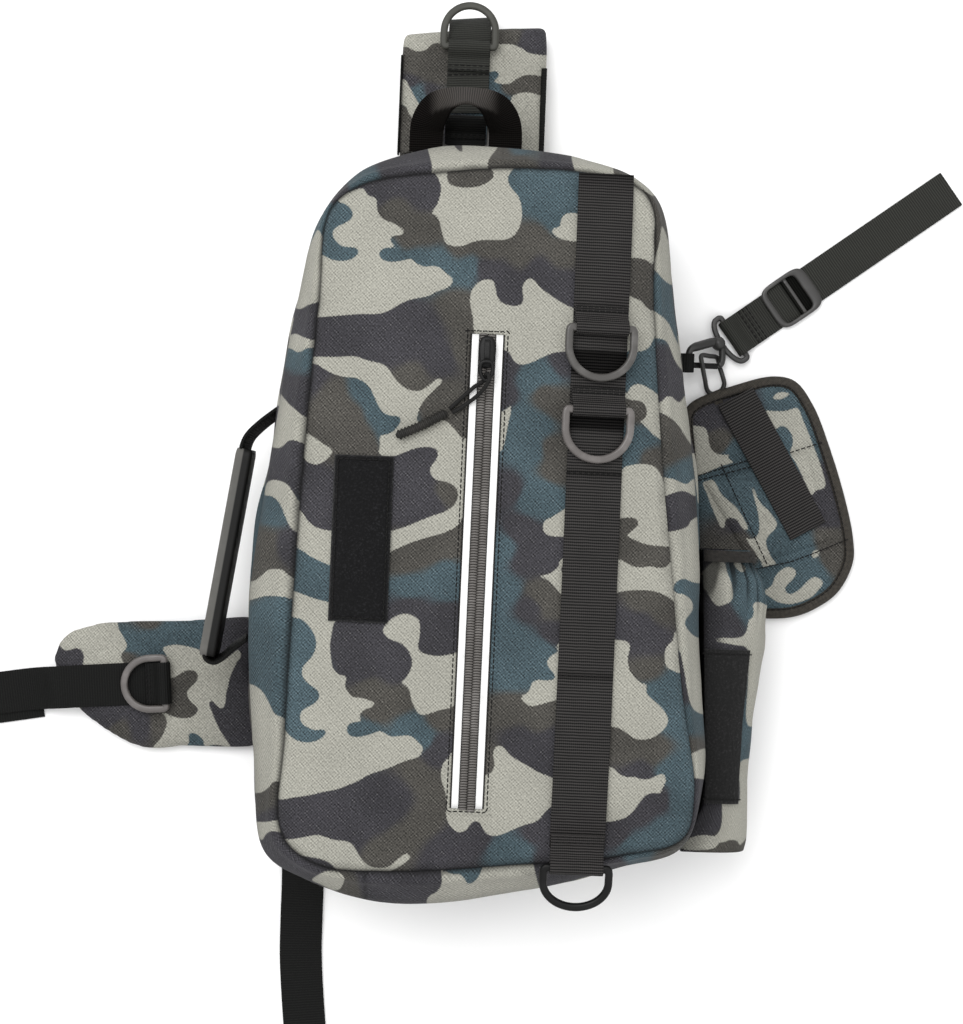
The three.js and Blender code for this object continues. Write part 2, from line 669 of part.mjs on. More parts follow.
function makeSideHandle() {
  const { z, upper, lower } = SIDE_GRIP;
  const path = steps(SPANS.grip).map((t) => vec(mix(upper.x, lower.x, t), mix(upper.y, lower.y, t), z));
  add("side_handle_grip", sweep(path, padSection(SIDE_GRIP.width, SIDE_GRIP.depth, SIDE_GRIP.edge)), "webbing");
  const band = flat(HANDLE_WEBBING.thickness, HANDLE_WEBBING.depth);
  for (const end of ["upper", "lower"]) {
    const line = curve(HANDLE_WEBBING[end].map(([x, y]) => [x, y, z]), SPANS.handleEnd);
    add(`side_handle_webbing_${end}`, sweep(line, band), "webbing");
  }
}

// A flat pad inside a closed outline: rows give its height and how far its edge is drawn in.
function padInside(loop, rows) {
  return loft(rows.map((row) => moveIn(loop, row.inset).map((p) => p.setZ(row.z))));
}

function makeWing() {
  const loop = curve(WING.outline.map(([x, y]) => [x, y, 0]), SPANS.wing, true);
  add("wing_pad", padInside(loop, WING.rows), "camo");
  const strap = curve(WING.strap, SPANS.wingStrap);
  add("wing_webbing", sweep(strap, flat(STRAP_WIDTH, STRAP_THICKNESS)), "webbing");
  const [x, y, z] = WING.ringSeat;
  const toArc = vec(-1, -WING.slope, 0);
  const seat = { point: vec(x, y, z), across: vec(-WING.slope, 1, 0), toArc };
  addRing("wing", { ...STRAP_RING, tail: WING.ringTail }, seat, { tailUnderRing: true });
  const lower = curve(LOWER_STRAP, SPANS.lowerStrap);
  add("lower_strap", sweep(lower, flat(STRAP_WIDTH, STRAP_THICKNESS)), "webbing");
}

// The side pocket's section at a height along the bag: points from its lower edge round to its upper edge.
function pocketSection(y, wall = 0) {
  const after = Math.max(1, POCKET.rows.findIndex((row) => row.y <= y));
  const [a, b] = [POCKET.rows[after - 1], POCKET.rows[after]];
  const t = (y - a.y) / (b.y - a.y);
  const [inner, outer] = [mix(a.inner, b.inner, t), mix(a.outer, b.outer, t) - wall];
  const middle = (POCKET.low + POCKET.high) / 2;
  const half = (POCKET.high - POCKET.low) / 2 - wall;
  return steps(POCKET.points).map((s) => {
    const angle = Math.PI * (s - 0.5);
    const x = inner + (outer - inner) * Math.cos(angle) ** POCKET.squareness;
    const rise = Math.sign(Math.sin(angle)) * Math.abs(Math.sin(angle)) ** POCKET.squareness;
    return vec(x, y, middle + half * rise);
  });
}

// A sheet over part of the pocket's wall, from one point of its section to another.
function onPocket(ys, first, last, lift, thickness) {
  const rings = ys.map((y) => {
    const section = pocketSection(y);
    const raised = (distance) =>
      section.slice(first, last + 1).map((p, i) => {
        const before = section[Math.max(first + i - 1, 0)];
        const after = section[Math.min(first + i + 1, section.length - 1)];
        const along = after.clone().sub(before).normalize();
        return p.clone().add(vec(along.z, 0, -along.x).multiplyScalar(distance));
      });
    return [...raised(lift), ...raised(lift + thickness).reverse()];
  });
  return loft(rings);
}

function makeSidePocket() {
  const ys = POCKET.rows.map((row) => row.y);
  const outside = solid(loft(ys.map((y) => pocketSection(y))));
  const [mouth, floor] = [ys[0], ys.at(-1)];
  const hollowYs = [...ys.slice(0, -1), floor + POCKET.wall];
  const hollow = hollowYs.map((y) => {
    const ring = pocketSection(y, POCKET.wall);
    for (const end of [ring[0], ring.at(-1)]) end.x -= POCKET.hollow;
    return ring;
  });
  const open = hollow[0].map((p) => p.clone().setY(mouth + POCKET.mouth));
  add("side_pocket", geometryOf(outside.subtract(solid(loft([open, ...hollow])))), "camo");
  const trim = (rows, from) => onPocket(rows, from, POCKET.points, GAP, POCKET.trim);
  add("pocket_binding", trim(POCKET.binding, 0), "webbing");
  add("hook_loop_patch_pocket", trim(POCKET.patch, POCKET.patchFrom), "felt");
}

// The clipped-on pouch lies on the table beside the bag, on a ring that hangs in the snap hook.
function makePouch() {
  const loop = curve(POUCH.outline.map(([x, y]) => [x, y, 0]), SPANS.pouch, true);
  add("pouch_panel", padInside(loop, POUCH.rows), "camo");
  const edge = moveIn(loop, POUCH.binding / 2).map((p) => p.setZ(GAP + POUCH.bindingHeight / 2));
  add("pouch_binding", sweep(edge, flat(POUCH.binding, POUCH.bindingHeight), { closed: true }), "webbing");
  const pocketBase = POUCH.top + GAP;
  const pocketTop = pocketBase + POUCH.pocketThickness;
  const pocket = [pocketBase, pocketTop].map((z) => POUCH.pocket.map(([x, y]) => vec(x, y, z)));
  add("pouch_pocket", loft(pocket), "camo");
  const [from, to] = POUCH.webbing.map(([x, y]) => vec(x, y, pocketTop + GAP + STRAP_THICKNESS / 2));
  add("pouch_webbing", sweep([from, to], flat(POUCH.webbingWidth, STRAP_THICKNESS)), "webbing");
  const ring = curve(POUCH.ring, SPANS.pouchRing, true);
  add("pouch_ring", sweep(ring, round(POUCH.ringRod, SIDES.ring), { closed: true }), "plastic");
  const band = { across: vec(...POUCH.tabAcross) };
  const tab = curve(POUCH.tab, SPANS.pouchTab);
  add("pouch_tab", sweep(tab, flat(POUCH.tabWidth, FOLD_THICKNESS), band), "webbing");
}

function makeSnapHook() {
  const tab = curve(HOOK.tab.map(([x, z]) => [x, HOOK.tabY, z]), SPANS.sideTab);
  add("side_tab", sweep(tab, flat(HOOK.tabWidth, FOLD_THICKNESS), { across: vec(0, 1, 0) }), "webbing");
  add("hook_body", sweep(curve(HOOK.body, SPANS.hook), round(HOOK.rod, SIDES.hook)), "plastic");
  add("hook_gate", sweep(curve(HOOK.gate, SPANS.gate), round(HOOK.rod, SIDES.hook)), "plastic");
  const { heading, eye } = CLIP_STRAP;
  const toArc = vec(-Math.cos(heading), -Math.sin(heading), 0);
  const seat = { point: vec(eye.x, eye.y, 0), across: vec(-toArc.y, toArc.x, 0).negate(), toArc };
  const run = CLIP_STRAP.run.map(([distance, z]) => vec(0, -distance, z - BAR_HEIGHT));
  const names = { ringName: "swivel_eye", foldName: "clip_strap", run, droop: 0 };
  addRing("clip", CLIP_STRAP.ring, seat, names);

  const group = new THREE.Group();
  group.position.set(eye.x, eye.y, TRI_GLIDE.z);
  group.rotation.z = heading;
  bag.add(group);
  const { near, far, middle, corner, rod } = TRI_GLIDE;
  const half = TRI_GLIDE.width / 2;
  const frame = [
    [near, -half + corner], [near + corner, -half], [far - corner, -half], [far, -half + corner],
    [far, half - corner], [far - corner, half], [near + corner, half], [near, half - corner],
  ].map(([x, y]) => vec(x, y, 0));
  const bar = sweep([vec(middle, -half, 0), vec(middle, half, 0)], flat(TRI_GLIDE.bar, TRI_GLIDE.barThickness));
  const joined = solid(sweep(frame, round(rod, SIDES.hook), { closed: true })).add(solid(bar));
  add("tri_glide", geometryOf(joined), "plastic", group);
}

makeBody();
makeFrontZip();
makeFrontTrim();
makeShoulderStrap();
makeGrabHandle();
makeSideHandle();
makeWing();
makeSidePocket();
makePouch();
makeSnapHook();

export default bag;
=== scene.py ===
"""Looks of a camouflage fishing sling bag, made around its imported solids.

The bag lies on its back, as in the photograph. Each soft piece is modelled again as cloth, webbing or
padding in the space that its solid holds. Sizes are millimetres until a mesh is made, in metres.
"""

from __future__ import annotations

import logging
import math
from dataclasses import dataclass, field
from enum import Enum, IntEnum
from typing import Iterable, Sequence

import bmesh
import bpy
import numpy as np
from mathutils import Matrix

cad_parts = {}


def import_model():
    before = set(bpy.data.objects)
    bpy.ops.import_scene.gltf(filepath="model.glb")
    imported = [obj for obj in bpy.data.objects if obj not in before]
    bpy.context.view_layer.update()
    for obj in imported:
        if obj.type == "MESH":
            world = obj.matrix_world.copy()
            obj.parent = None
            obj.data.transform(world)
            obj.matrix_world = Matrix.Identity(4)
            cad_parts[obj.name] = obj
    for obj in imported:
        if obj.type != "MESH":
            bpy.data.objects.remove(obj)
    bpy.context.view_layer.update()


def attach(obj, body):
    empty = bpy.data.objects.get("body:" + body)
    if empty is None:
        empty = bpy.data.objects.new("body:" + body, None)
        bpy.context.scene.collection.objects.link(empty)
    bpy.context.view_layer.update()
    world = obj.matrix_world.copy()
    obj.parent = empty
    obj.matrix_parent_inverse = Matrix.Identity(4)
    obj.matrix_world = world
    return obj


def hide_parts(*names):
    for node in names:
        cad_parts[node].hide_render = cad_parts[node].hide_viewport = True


LOG = logging.getLogger("sling_bag")
MM = 0.001
ROOT_BODY = "bag"
WEAVE_UV = "weave"
UP = np.array([0.0, 0.0, 1.0])
RIGHT = np.array([1.0, 0.0, 0.0])

Points = np.ndarray
Table = Sequence[Sequence[float]]
Colour = tuple[int, int, int]
Mesh = bpy.types.Mesh
Material = bpy.types.Material
Tree = tuple[bpy.types.NodeTree, dict[str, str]]


class Slot(Enum):
    """The record's material slots."""

    CAMO = "camo_cloth"
    BACK = "back_cloth"
    WEBBING = "webbing"
    PLASTIC = "dark_plastic"
    ZIP_TAPE = "zip_tape"
    ZIP_COIL = "zip_coil"
    REFLECTIVE = "reflective"
    HOOK_LOOP = "hook_loop"
    CORD = "cord"
    GRIP = "grip_rubber"


class Seed(IntEnum):
    """The seed of each uneven cloth."""

    DOME = 3
    PANEL_PUCKER = 5
    FELT = 7
    FELT_CLOUD = 8
    CORNER = 11
    LOBE_FOLD = 21
    LOBE_PUCKER = 23
    REAR_FOLD = 31
    REAR_PUCKER = 37
    POCKET_SLACK = 41
    POCKET_TRIM = 43
    POUCH_POCKET = 51


@dataclass(frozen=True)
class PhotoCamera:
    """The photograph's camera, straight above the bag: millimetres, and pixels of the 963 x 1024 image."""

    height: float = 1430.0
    focal: float = 2402.0
    centre_x: float = 5.0
    centre_y: float = 7.0
    roll: float = math.radians(2.3)
    image_width: int = 963
    image_height: int = 1024
    sensor: float = 36.0

    def pixels(self, points: Points) -> Points:
        """Where points show in the image.

        Args:
            points: n x 3 points in millimetres.

        Returns:
            n x 2 image pixels.
        """
        scale = self.focal / (self.height - points[:, 2])
        x = points[:, 0] - self.centre_x
        y = points[:, 1] - self.centre_y
        right = math.cos(self.roll) * x + math.sin(self.roll) * y
        up = math.cos(self.roll) * y - math.sin(self.roll) * x
        return np.stack([self.image_width / 2 + scale * right, self.image_height / 2 - scale * up], axis=1)

    def place(self, pixels: Table, z: float) -> Points:
        """Points of the part at a height, from image pixels.

        Args:
            pixels: n x 2 image pixels.
            z: the height of all the points in millimetres.

        Returns:
            n x 3 points in millimetres.
        """
        spots = np.asarray(pixels, float)
        scale = self.focal / (self.height - z)
        right = (spots[:, 0] - self.image_width / 2) / scale
        up = (self.image_height / 2 - spots[:, 1]) / scale
        x = math.cos(self.roll) * right - math.sin(self.roll) * up + self.centre_x
        y = math.sin(self.roll) * right + math.cos(self.roll) * up + self.centre_y
        return np.stack([x, y, np.full(len(spots), z)], axis=1)

    def build(self) -> None:
        """Makes the scene's camera."""
        data = bpy.data.cameras.new("photo_camera")
        data.sensor_width = self.sensor
        data.lens = self.focal * self.sensor / self.image_height
        camera = bpy.data.objects.new("photo_camera", data)
        camera.location = (self.centre_x * MM, self.centre_y * MM, self.height * MM)
        camera.rotation_euler = (0, 0, self.roll)
        bpy.context.scene.collection.objects.link(camera)
        bpy.context.scene.camera = camera


PHOTO = PhotoCamera()


def smooth_line(rows: Table, count: int, closed: bool = False) -> Points:
    """A smooth line through points, as the solids' own curves are drawn.

    Args:
        rows: the points that the line passes through.
        count: how many spans the line gets.
        closed: whether the line returns to its start.

    Returns:
        The line's points. A closed line doesn't repeat its first point.
    """
    knots = np.asarray(rows, float)
    total = len(knots)
    spans = total if closed else total - 1
    if closed:
        padded = np.vstack([knots[-1], knots, knots[:2]])
    else:
        padded = np.vstack([2 * knots[0] - knots[1], knots, 2 * knots[-1] - knots[-2]])
    where = np.linspace(0, spans, count + 1)
    if closed:
        where = where[:-1]
    index = np.minimum(where.astype(int), spans - 1)
    share = (where - index)[:, None]
    a, b, c, d = (padded[index + k] for k in range(4))
    near, mid, far = (
        np.maximum(np.sqrt(np.linalg.norm(q - p, axis=1)), 1e-3)[:, None] for p, q in ((a, b), (b, c), (c, d))
    )
    leave = ((b - a) / near - (c - a) / (near + mid) + (c - b) / mid) * mid
    arrive = ((c - b) / mid - (d - b) / (mid + far) + (d - c) / far) * mid
    square = 3 * (c - b) - 2 * leave - arrive
    cube = 2 * (b - c) + leave + arrive
    return b + leave * share + square * share**2 + cube * share**3


def lengths(line: Points) -> Points:
    """The distance along a line at each of its points."""
    steps = np.linalg.norm(np.diff(line, axis=0), axis=1)
    return np.concatenate([[0.0], np.cumsum(steps)])


def even_line(line: Points, count: int) -> Points:
    """The same line with evenly spaced points.

    Args:
        line: an open line's points.
        count: how many spans it gets.

    Returns:
        count + 1 points.
    """
    along = lengths(line)
    where = np.linspace(0, along[-1], count + 1)
    return np.stack([np.interp(where, along, line[:, k]) for k in range(3)], axis=1)


def unit(vectors: Points) -> Points:
    """Vectors scaled to a length of one."""
    return vectors / np.maximum(np.linalg.norm(vectors, axis=-1, keepdims=True), 1e-9)


def ripple(x: Points, y: Points, wave: float, seed: Seed, waves: int = 7) -> Points:
    """Smooth rolling unevenness from a few plane waves, about -1 to 1.

    Args:
        x: first coordinates.
        y: second coordinates.
        wave: the usual wavelength, in the coordinates' unit.
        seed: picks the waves' directions and lengths.
        waves: how many waves are summed.

    Returns:
        One value for each point.
    """
    rng = np.random.default_rng(int(seed))
    total = np.zeros_like(x)
    for _ in range(waves):
        angle, phase = rng.uniform(0, 2 * np.pi, 2)
        turn = 2 * np.pi / (wave * rng.uniform(0.7, 1.7))
        total = total + np.sin((x * np.cos(angle) + y * np.sin(angle)) * turn + phase)
    return total / math.sqrt(waves) / 1.3


def ease(value: Points, start: float, end: float) -> Points:
    """A smooth step from 0 at start to 1 at end."""
    share = np.clip((value - start) / (end - start), 0, 1)
    return share * share * (3 - 2 * share)


def pressed(wave: Points, power: float) -> Points:
    """A sine or cosine pressed towards -1 and 1, for rounded squares."""
    return np.sign(wave) * np.abs(wave) ** power


def rounded_section(width: float, thickness: float, edge: float, across: int = 6, corner: int = 4) -> Points:
    """A flat band's section with rounded edges.

    Args:
        width: the band's width.
        thickness: the band's thickness.
        edge: the edges' radius.
        across: spans over each flat side.
        corner: spans round each corner.

    Returns:
        n x 2 closed section points, sideways and up.
    """
    half_w, half_t = width / 2 - edge, thickness / 2 - edge
    rows = []
    for quarter, (sx, sy) in enumerate(((1, 1), (-1, 1), (-1, -1), (1, -1))):
        for step in range(corner + 1):
            angle = math.pi / 2 * (quarter + step / corner)
            rows.append((sx * half_w + edge * math.cos(angle), sy * half_t + edge * math.sin(angle)))
        if quarter in (0, 2):
            end = -sx * half_w
            for step in range(1, across):
                rows.append((sx * half_w + (end - sx * half_w) * step / across, sy * (half_t + edge)))
    return np.array(rows)


def round_section(radius: float, sides: int = 14) -> Points:
    """A round bar's section."""
    angles = 2 * np.pi * np.arange(sides) / sides
    return radius * np.stack([np.cos(angles), np.sin(angles)], axis=1)


def swept(
    path: Points,
    section: Points,
    closed: bool = False,
    up: Points = UP,
    across: Points | None = None,
    swell: Points | None = None,
) -> Points:
    """Rings of a section carried along a path.

    Args:
        path: the path's points.
        section: the section's points, sideways and up.
        closed: whether the path returns to its start.
        up: the upward direction, one for all or one for each point of the path.
        across: a fixed sideways direction for a band that turns over, instead of up.
        swell: a scale of the section at each point of the path.

    Returns:
        rows x columns x 3 points.
    """
    if closed:
        along = unit(np.roll(path, -1, axis=0) - np.roll(path, 1, axis=0))
    else:
        along = unit(np.gradient(path, axis=0))
    if across is None:
        side = unit(np.cross(along, np.broadcast_to(up, along.shape)))
    else:
        side = unit(np.broadcast_to(across, along.shape))
    rise = unit(np.cross(side, along))
    size = np.ones(len(path)) if swell is None else swell
    spread = section[None, :, :] * size[:, None, None]
    return path[:, None, :] + side[:, None, :] * spread[..., :1] + rise[:, None, :] * spread[..., 1:]


@dataclass
class Lattice:
    """A closed mesh woven from rows of points that each run round it, in millimetres.

    Attributes:
        points: rows x columns x 3 points.
        wrap_rows: whether the last row joins the first. Otherwise a face closes each end.
        weave: the weave's own flat coordinates, with one column more, and one row more where rows wrap.
    """

    points: Points
    wrap_rows: bool = False
    weave: Points | None = None

    def flat(self) -> Points:
        """The weave's flat coordinates, measured along the rows and columns where none are given."""
        if self.weave is not None:
            return self.weave
        rows = np.vstack([self.points, self.points[:1]]) if self.wrap_rows else self.points
        grid = np.hstack([rows, rows[:, :1]])
        across = np.linalg.norm(np.diff(grid, axis=1), axis=2).max(axis=0)
        down = np.linalg.norm(np.diff(grid, axis=0), axis=2).max(axis=1)
        u, v = (np.concatenate([[0.0], np.cumsum(steps)]) for steps in (across, down))
        return np.stack(np.meshgrid(u, v), axis=2)

    def mesh(self, name: str) -> Mesh:
        """Weaves the mesh, with its faces turned outwards and the weave's coordinates as a UV map."""
        rows, columns = self.points.shape[:2]
        bands = rows if self.wrap_rows else rows - 1
        i, j = np.meshgrid(np.arange(bands), np.arange(columns), indexing="ij")
        ring = [(i, j), (i, j + 1), (i + 1, j + 1), (i + 1, j)]
        quads = np.stack([(a % rows) * columns + b % columns for a, b in ring], axis=2).reshape(-1, 4)
        flat = self.flat() * MM
        corner = np.stack([flat[a, b] for a, b in ring], axis=2).reshape(-1, 2)
        faces = quads.tolist()
        uv = corner.tolist()
        for row in () if self.wrap_rows else (0, rows - 1):
            faces.append([row * columns + k for k in range(columns)])
            uv.extend(flat[row, :columns].tolist())
        mesh = bpy.data.meshes.new(name)
        mesh.from_pydata((self.points.reshape(-1, 3) * MM).tolist(), [], faces)
        mesh.uv_layers.new(name=WEAVE_UV).data.foreach_set("uv", np.array(uv, np.float32).ravel())
        turn_outwards(mesh)
        mesh.polygons.foreach_set("use_smooth", np.ones(len(mesh.polygons), bool))
        return mesh


def turn_outwards(mesh: Mesh) -> None:
    """Turns a closed mesh's faces outwards."""
    work = bmesh.new()
    work.from_mesh(mesh)
    bmesh.ops.recalc_face_normals(work, faces=work.faces)
    work.to_mesh(mesh)
    work.free()


def merged(name: str, meshes: Iterable[Mesh]) -> Mesh:
    """One mesh from several, which are then removed."""
    work = bmesh.new()
    for part in meshes:
        work.from_mesh(part)
        bpy.data.meshes.remove(part)
    mesh = bpy.data.meshes.new(name)
    work.to_mesh(mesh)
    work.free()
    return mesh


def bar(name: str, path: Points, section: Points, closed: bool = False, **options: object) -> Mesh:
    """A closed mesh of a section swept along a path; options are those of swept."""
    return Lattice(swept(path, section, closed, **options), wrap_rows=closed).mesh(name)


def spots(mesh: Mesh) -> Points:
    """A mesh's points in millimetres."""
    flat = np.empty(len(mesh.vertices) * 3, np.float32)
    mesh.vertices.foreach_get("co", flat)
    return flat.reshape(-1, 3).astype(float) / MM


def move_spots(mesh: Mesh, points: Points) -> None:
    """Moves a mesh's points, given in millimetres."""
    mesh.vertices.foreach_set("co", (points * MM).astype(np.float32).ravel())
    mesh.update()


def shade(mesh: Mesh, depth: Points) -> None:
    """Stores how much painted shade each point of a mesh gets, from 0 to 1, for its finish to darken."""
    layer = mesh.attributes.new("crease", "FLOAT", "POINT")
    layer.data.foreach_set("value", np.clip(depth, 0, 1).astype(np.float32).ravel())


def linked(name: str, mesh: Mesh) -> bpy.types.Object:
    """An object at the origin that shows a mesh."""
    made = bpy.data.objects.new(name, mesh)
    bpy.context.scene.collection.objects.link(made)
    return made


def evaluated_mesh(source: bpy.types.Object, name: str) -> Mesh:
    """A plain mesh of an object as its modifiers leave it; the object itself is removed."""
    graph = bpy.context.evaluated_depsgraph_get()
    mesh = bpy.data.meshes.new_from_object(source.evaluated_get(graph))
    mesh.name = name
    bpy.data.objects.remove(source)
    return mesh


def piece(
    name: str,
    mesh: Mesh,
    material: Material,
    stands_for: Sequence[str] = (),
    body: str = ROOT_BODY,
) -> bpy.types.Object:
    """Adds a finished piece to the bag.

    Args:
        name: the piece's name.
        mesh: its mesh, in place.
        material: its finish.
        stands_for: the solids that it replaces.
        body: the body that it moves with.

    Returns:
        The piece's object.
    """
    made = linked(name, mesh)
    mesh.materials.clear()
    mesh.materials.append(material)
    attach(made, body)
    if stands_for:
        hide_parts(*stands_for)
    LOG.info("%s: %d faces on %s", name, len(mesh.polygons), body)
    return made


@dataclass(frozen=True)
class Padding:
    """Swells a pad by cloth simulation, from a slightly smaller shape.

    Attributes:
        voxel: the remeshed cell in millimetres.
        pressure: the simulated inner pressure.
        cap: how far a point may move, in millimetres.
        frames: how many steps are simulated.
        floor: no point goes below this height.
        quality: the simulation's steps in each frame.
        mass: the cloth's mass at each point.
    """

    voxel: float = 4.0
    pressure: float = 4.0
    cap: float = 2.0
    frames: int = 20
    floor: float = 0.1
    quality: int = 4
    mass: float = 0.3

    def remesh(self, mesh: Mesh) -> Mesh:
        """The same shape in even cells."""
        work = linked("padding", mesh)
        cells = work.modifiers.new("cells", "REMESH")
        cells.mode = "VOXEL"
        cells.voxel_size = self.voxel * MM
        cells.use_smooth_shade = True
        return evaluated_mesh(work, mesh.name)

    def swell(self, mesh: Mesh) -> None:
        """Simulates the pad and moves the mesh's points by at most the cap."""
        rest = spots(mesh)
        work = linked("padding", mesh)
        cloth = work.modifiers.new("cloth", "CLOTH")
        cloth.settings.quality = self.quality
        cloth.settings.mass = self.mass
        cloth.settings.use_pressure = True
        cloth.settings.uniform_pressure_force = self.pressure
        cloth.settings.effector_weights.gravity = 0
        cloth.point_cache.frame_start = 1
        cloth.point_cache.frame_end = self.frames
        scene = bpy.context.scene
        for frame in range(1, self.frames + 1):
            scene.frame_set(frame)
        graph = bpy.context.evaluated_depsgraph_get()
        moved = spots(work.evaluated_get(graph).data) - rest
        far = np.linalg.norm(moved, axis=1, keepdims=True)
        moved *= np.minimum(1.0, self.cap / np.maximum(far, 1e-6))
        work.modifiers.remove(cloth)
        bpy.data.objects.remove(work)
        scene.frame_set(1)
        move_spots(mesh, rest + moved)

    def puffed(self, mesh: Mesh) -> Mesh:
        """The swollen and subdivided pad.

        Args:
            mesh: the pad's closed mesh, which is used up.

        Returns:
            A new mesh, without UV maps.
        """
        cells = self.remesh(mesh)
        self.swell(cells)
        work = linked("padding", cells)
        finer = work.modifiers.new("finer", "SUBSURF")
        finer.levels = finer.render_levels = 1
        fine = evaluated_mesh(work, cells.name)
        points = spots(fine)
        points[:, 2] = np.maximum(points[:, 2], self.floor)
        move_spots(fine, points)
        fine.polygons.foreach_set("use_smooth", np.ones(len(fine.polygons), bool))
        return fine


def repeat_tree() -> Tree:
    """A tree that sets a unit at an even pitch along each line, turned to follow it.

    Returns:
        The tree, and each input's identifier by its name.
    """
    made = bpy.data.node_groups.new("repeat_along", "GeometryNodeTree")
    socket = made.interface.new_socket
    for way in ("OUTPUT", "INPUT"):
        socket("Geometry", in_out=way, socket_type="NodeSocketGeometry")
    inputs = {"Pitch": "NodeSocketFloat", "Unit": "NodeSocketObject", "Finish": "NodeSocketMaterial"}
    names = {
        title: socket(title, in_out="INPUT", socket_type=kind).identifier for title, kind in inputs.items()
    }
    kinds = {
        "given": "NodeGroupInput",
        "curve": "GeometryNodeMeshToCurve",
        "even": "GeometryNodeResampleCurve",
        "tangent": "GeometryNodeInputTangent",
        "turn": "FunctionNodeAlignRotationToVector",
        "unit": "GeometryNodeObjectInfo",
        "place": "GeometryNodeInstanceOnPoints",
        "real": "GeometryNodeRealizeInstances",
        "dress": "GeometryNodeSetMaterial",
        "out": "NodeGroupOutput",
    }
    nodes = {title: made.nodes.new(kind) for title, kind in kinds.items()}
    nodes["even"].mode = "LENGTH"
    nodes["turn"].axis = "X"
    links = (
        ("given", "Geometry", "curve", "Mesh"),
        ("curve", "Curve", "even", "Curve"),
        ("given", "Pitch", "even", "Length"),
        ("tangent", "Tangent", "turn", "Vector"),
        ("given", "Unit", "unit", "Object"),
        ("unit", "Geometry", "place", "Instance"),
        ("even", "Curve", "place", "Points"),
        ("turn", "Rotation", "place", "Rotation"),
        ("place", "Instances", "real", "Geometry"),
        ("real", "Geometry", "dress", "Geometry"),
        ("given", "Finish", "dress", "Material"),
        ("dress", "Geometry", "out", "Geometry"),
    )
    for source, start, target, end in links:
        made.links.new(nodes[source].outputs[start], nodes[target].inputs[end])
    return made, names


def run_tree(
    name: str,
    base: Mesh,
    tree: Tree,
    unit_mesh: Mesh,
    values: dict[str, object],
) -> Mesh:
    """Runs a repeating tree once and keeps its result as a plain mesh.

    Args:
        name: the new mesh's name.
        base: the lines or the surface, which is used up.
        tree: the tree and its inputs' identifiers.
        unit_mesh: the unit, at the origin, which is used up.
        values: each input's value by its name.

    Returns:
        The repeated units as one mesh.
    """
    group, names = tree
    unit_object = linked("repeat_unit", unit_mesh)
    carrier = linked("repeat_base", base)
    modifier = carrier.modifiers.new("repeat", "NODES")
    modifier.node_group = group
    for title, value in {**values, "Unit": unit_object}.items():
        modifier[names[title]] = value
    mesh = evaluated_mesh(carrier, name)
    bpy.data.objects.remove(unit_object)
    return mesh


def line_mesh(lines: Iterable[Points]) -> Mesh:
    """Edges along each line, for a tree to follow."""
    points: list[list[float]] = []
    edges: list[tuple[int, int]] = []
    for line in lines:
        first = len(points)
        points.extend((line * MM).tolist())
        edges.extend((first + k, first + k + 1) for k in range(len(line) - 1))
    mesh = bpy.data.meshes.new("lines")
    mesh.from_pydata(points, edges, [])
    return mesh


def linear(colour: Sequence[float]) -> tuple[float, float, float, float]:
    """A screen colour of 0 to 255 as linear light with full alpha."""
    shares = [c / 255 for c in colour]
    return (*[s / 12.92 if s <= 0.04045 else ((s + 0.055) / 1.055) ** 2.4 for s in shares], 1.0)


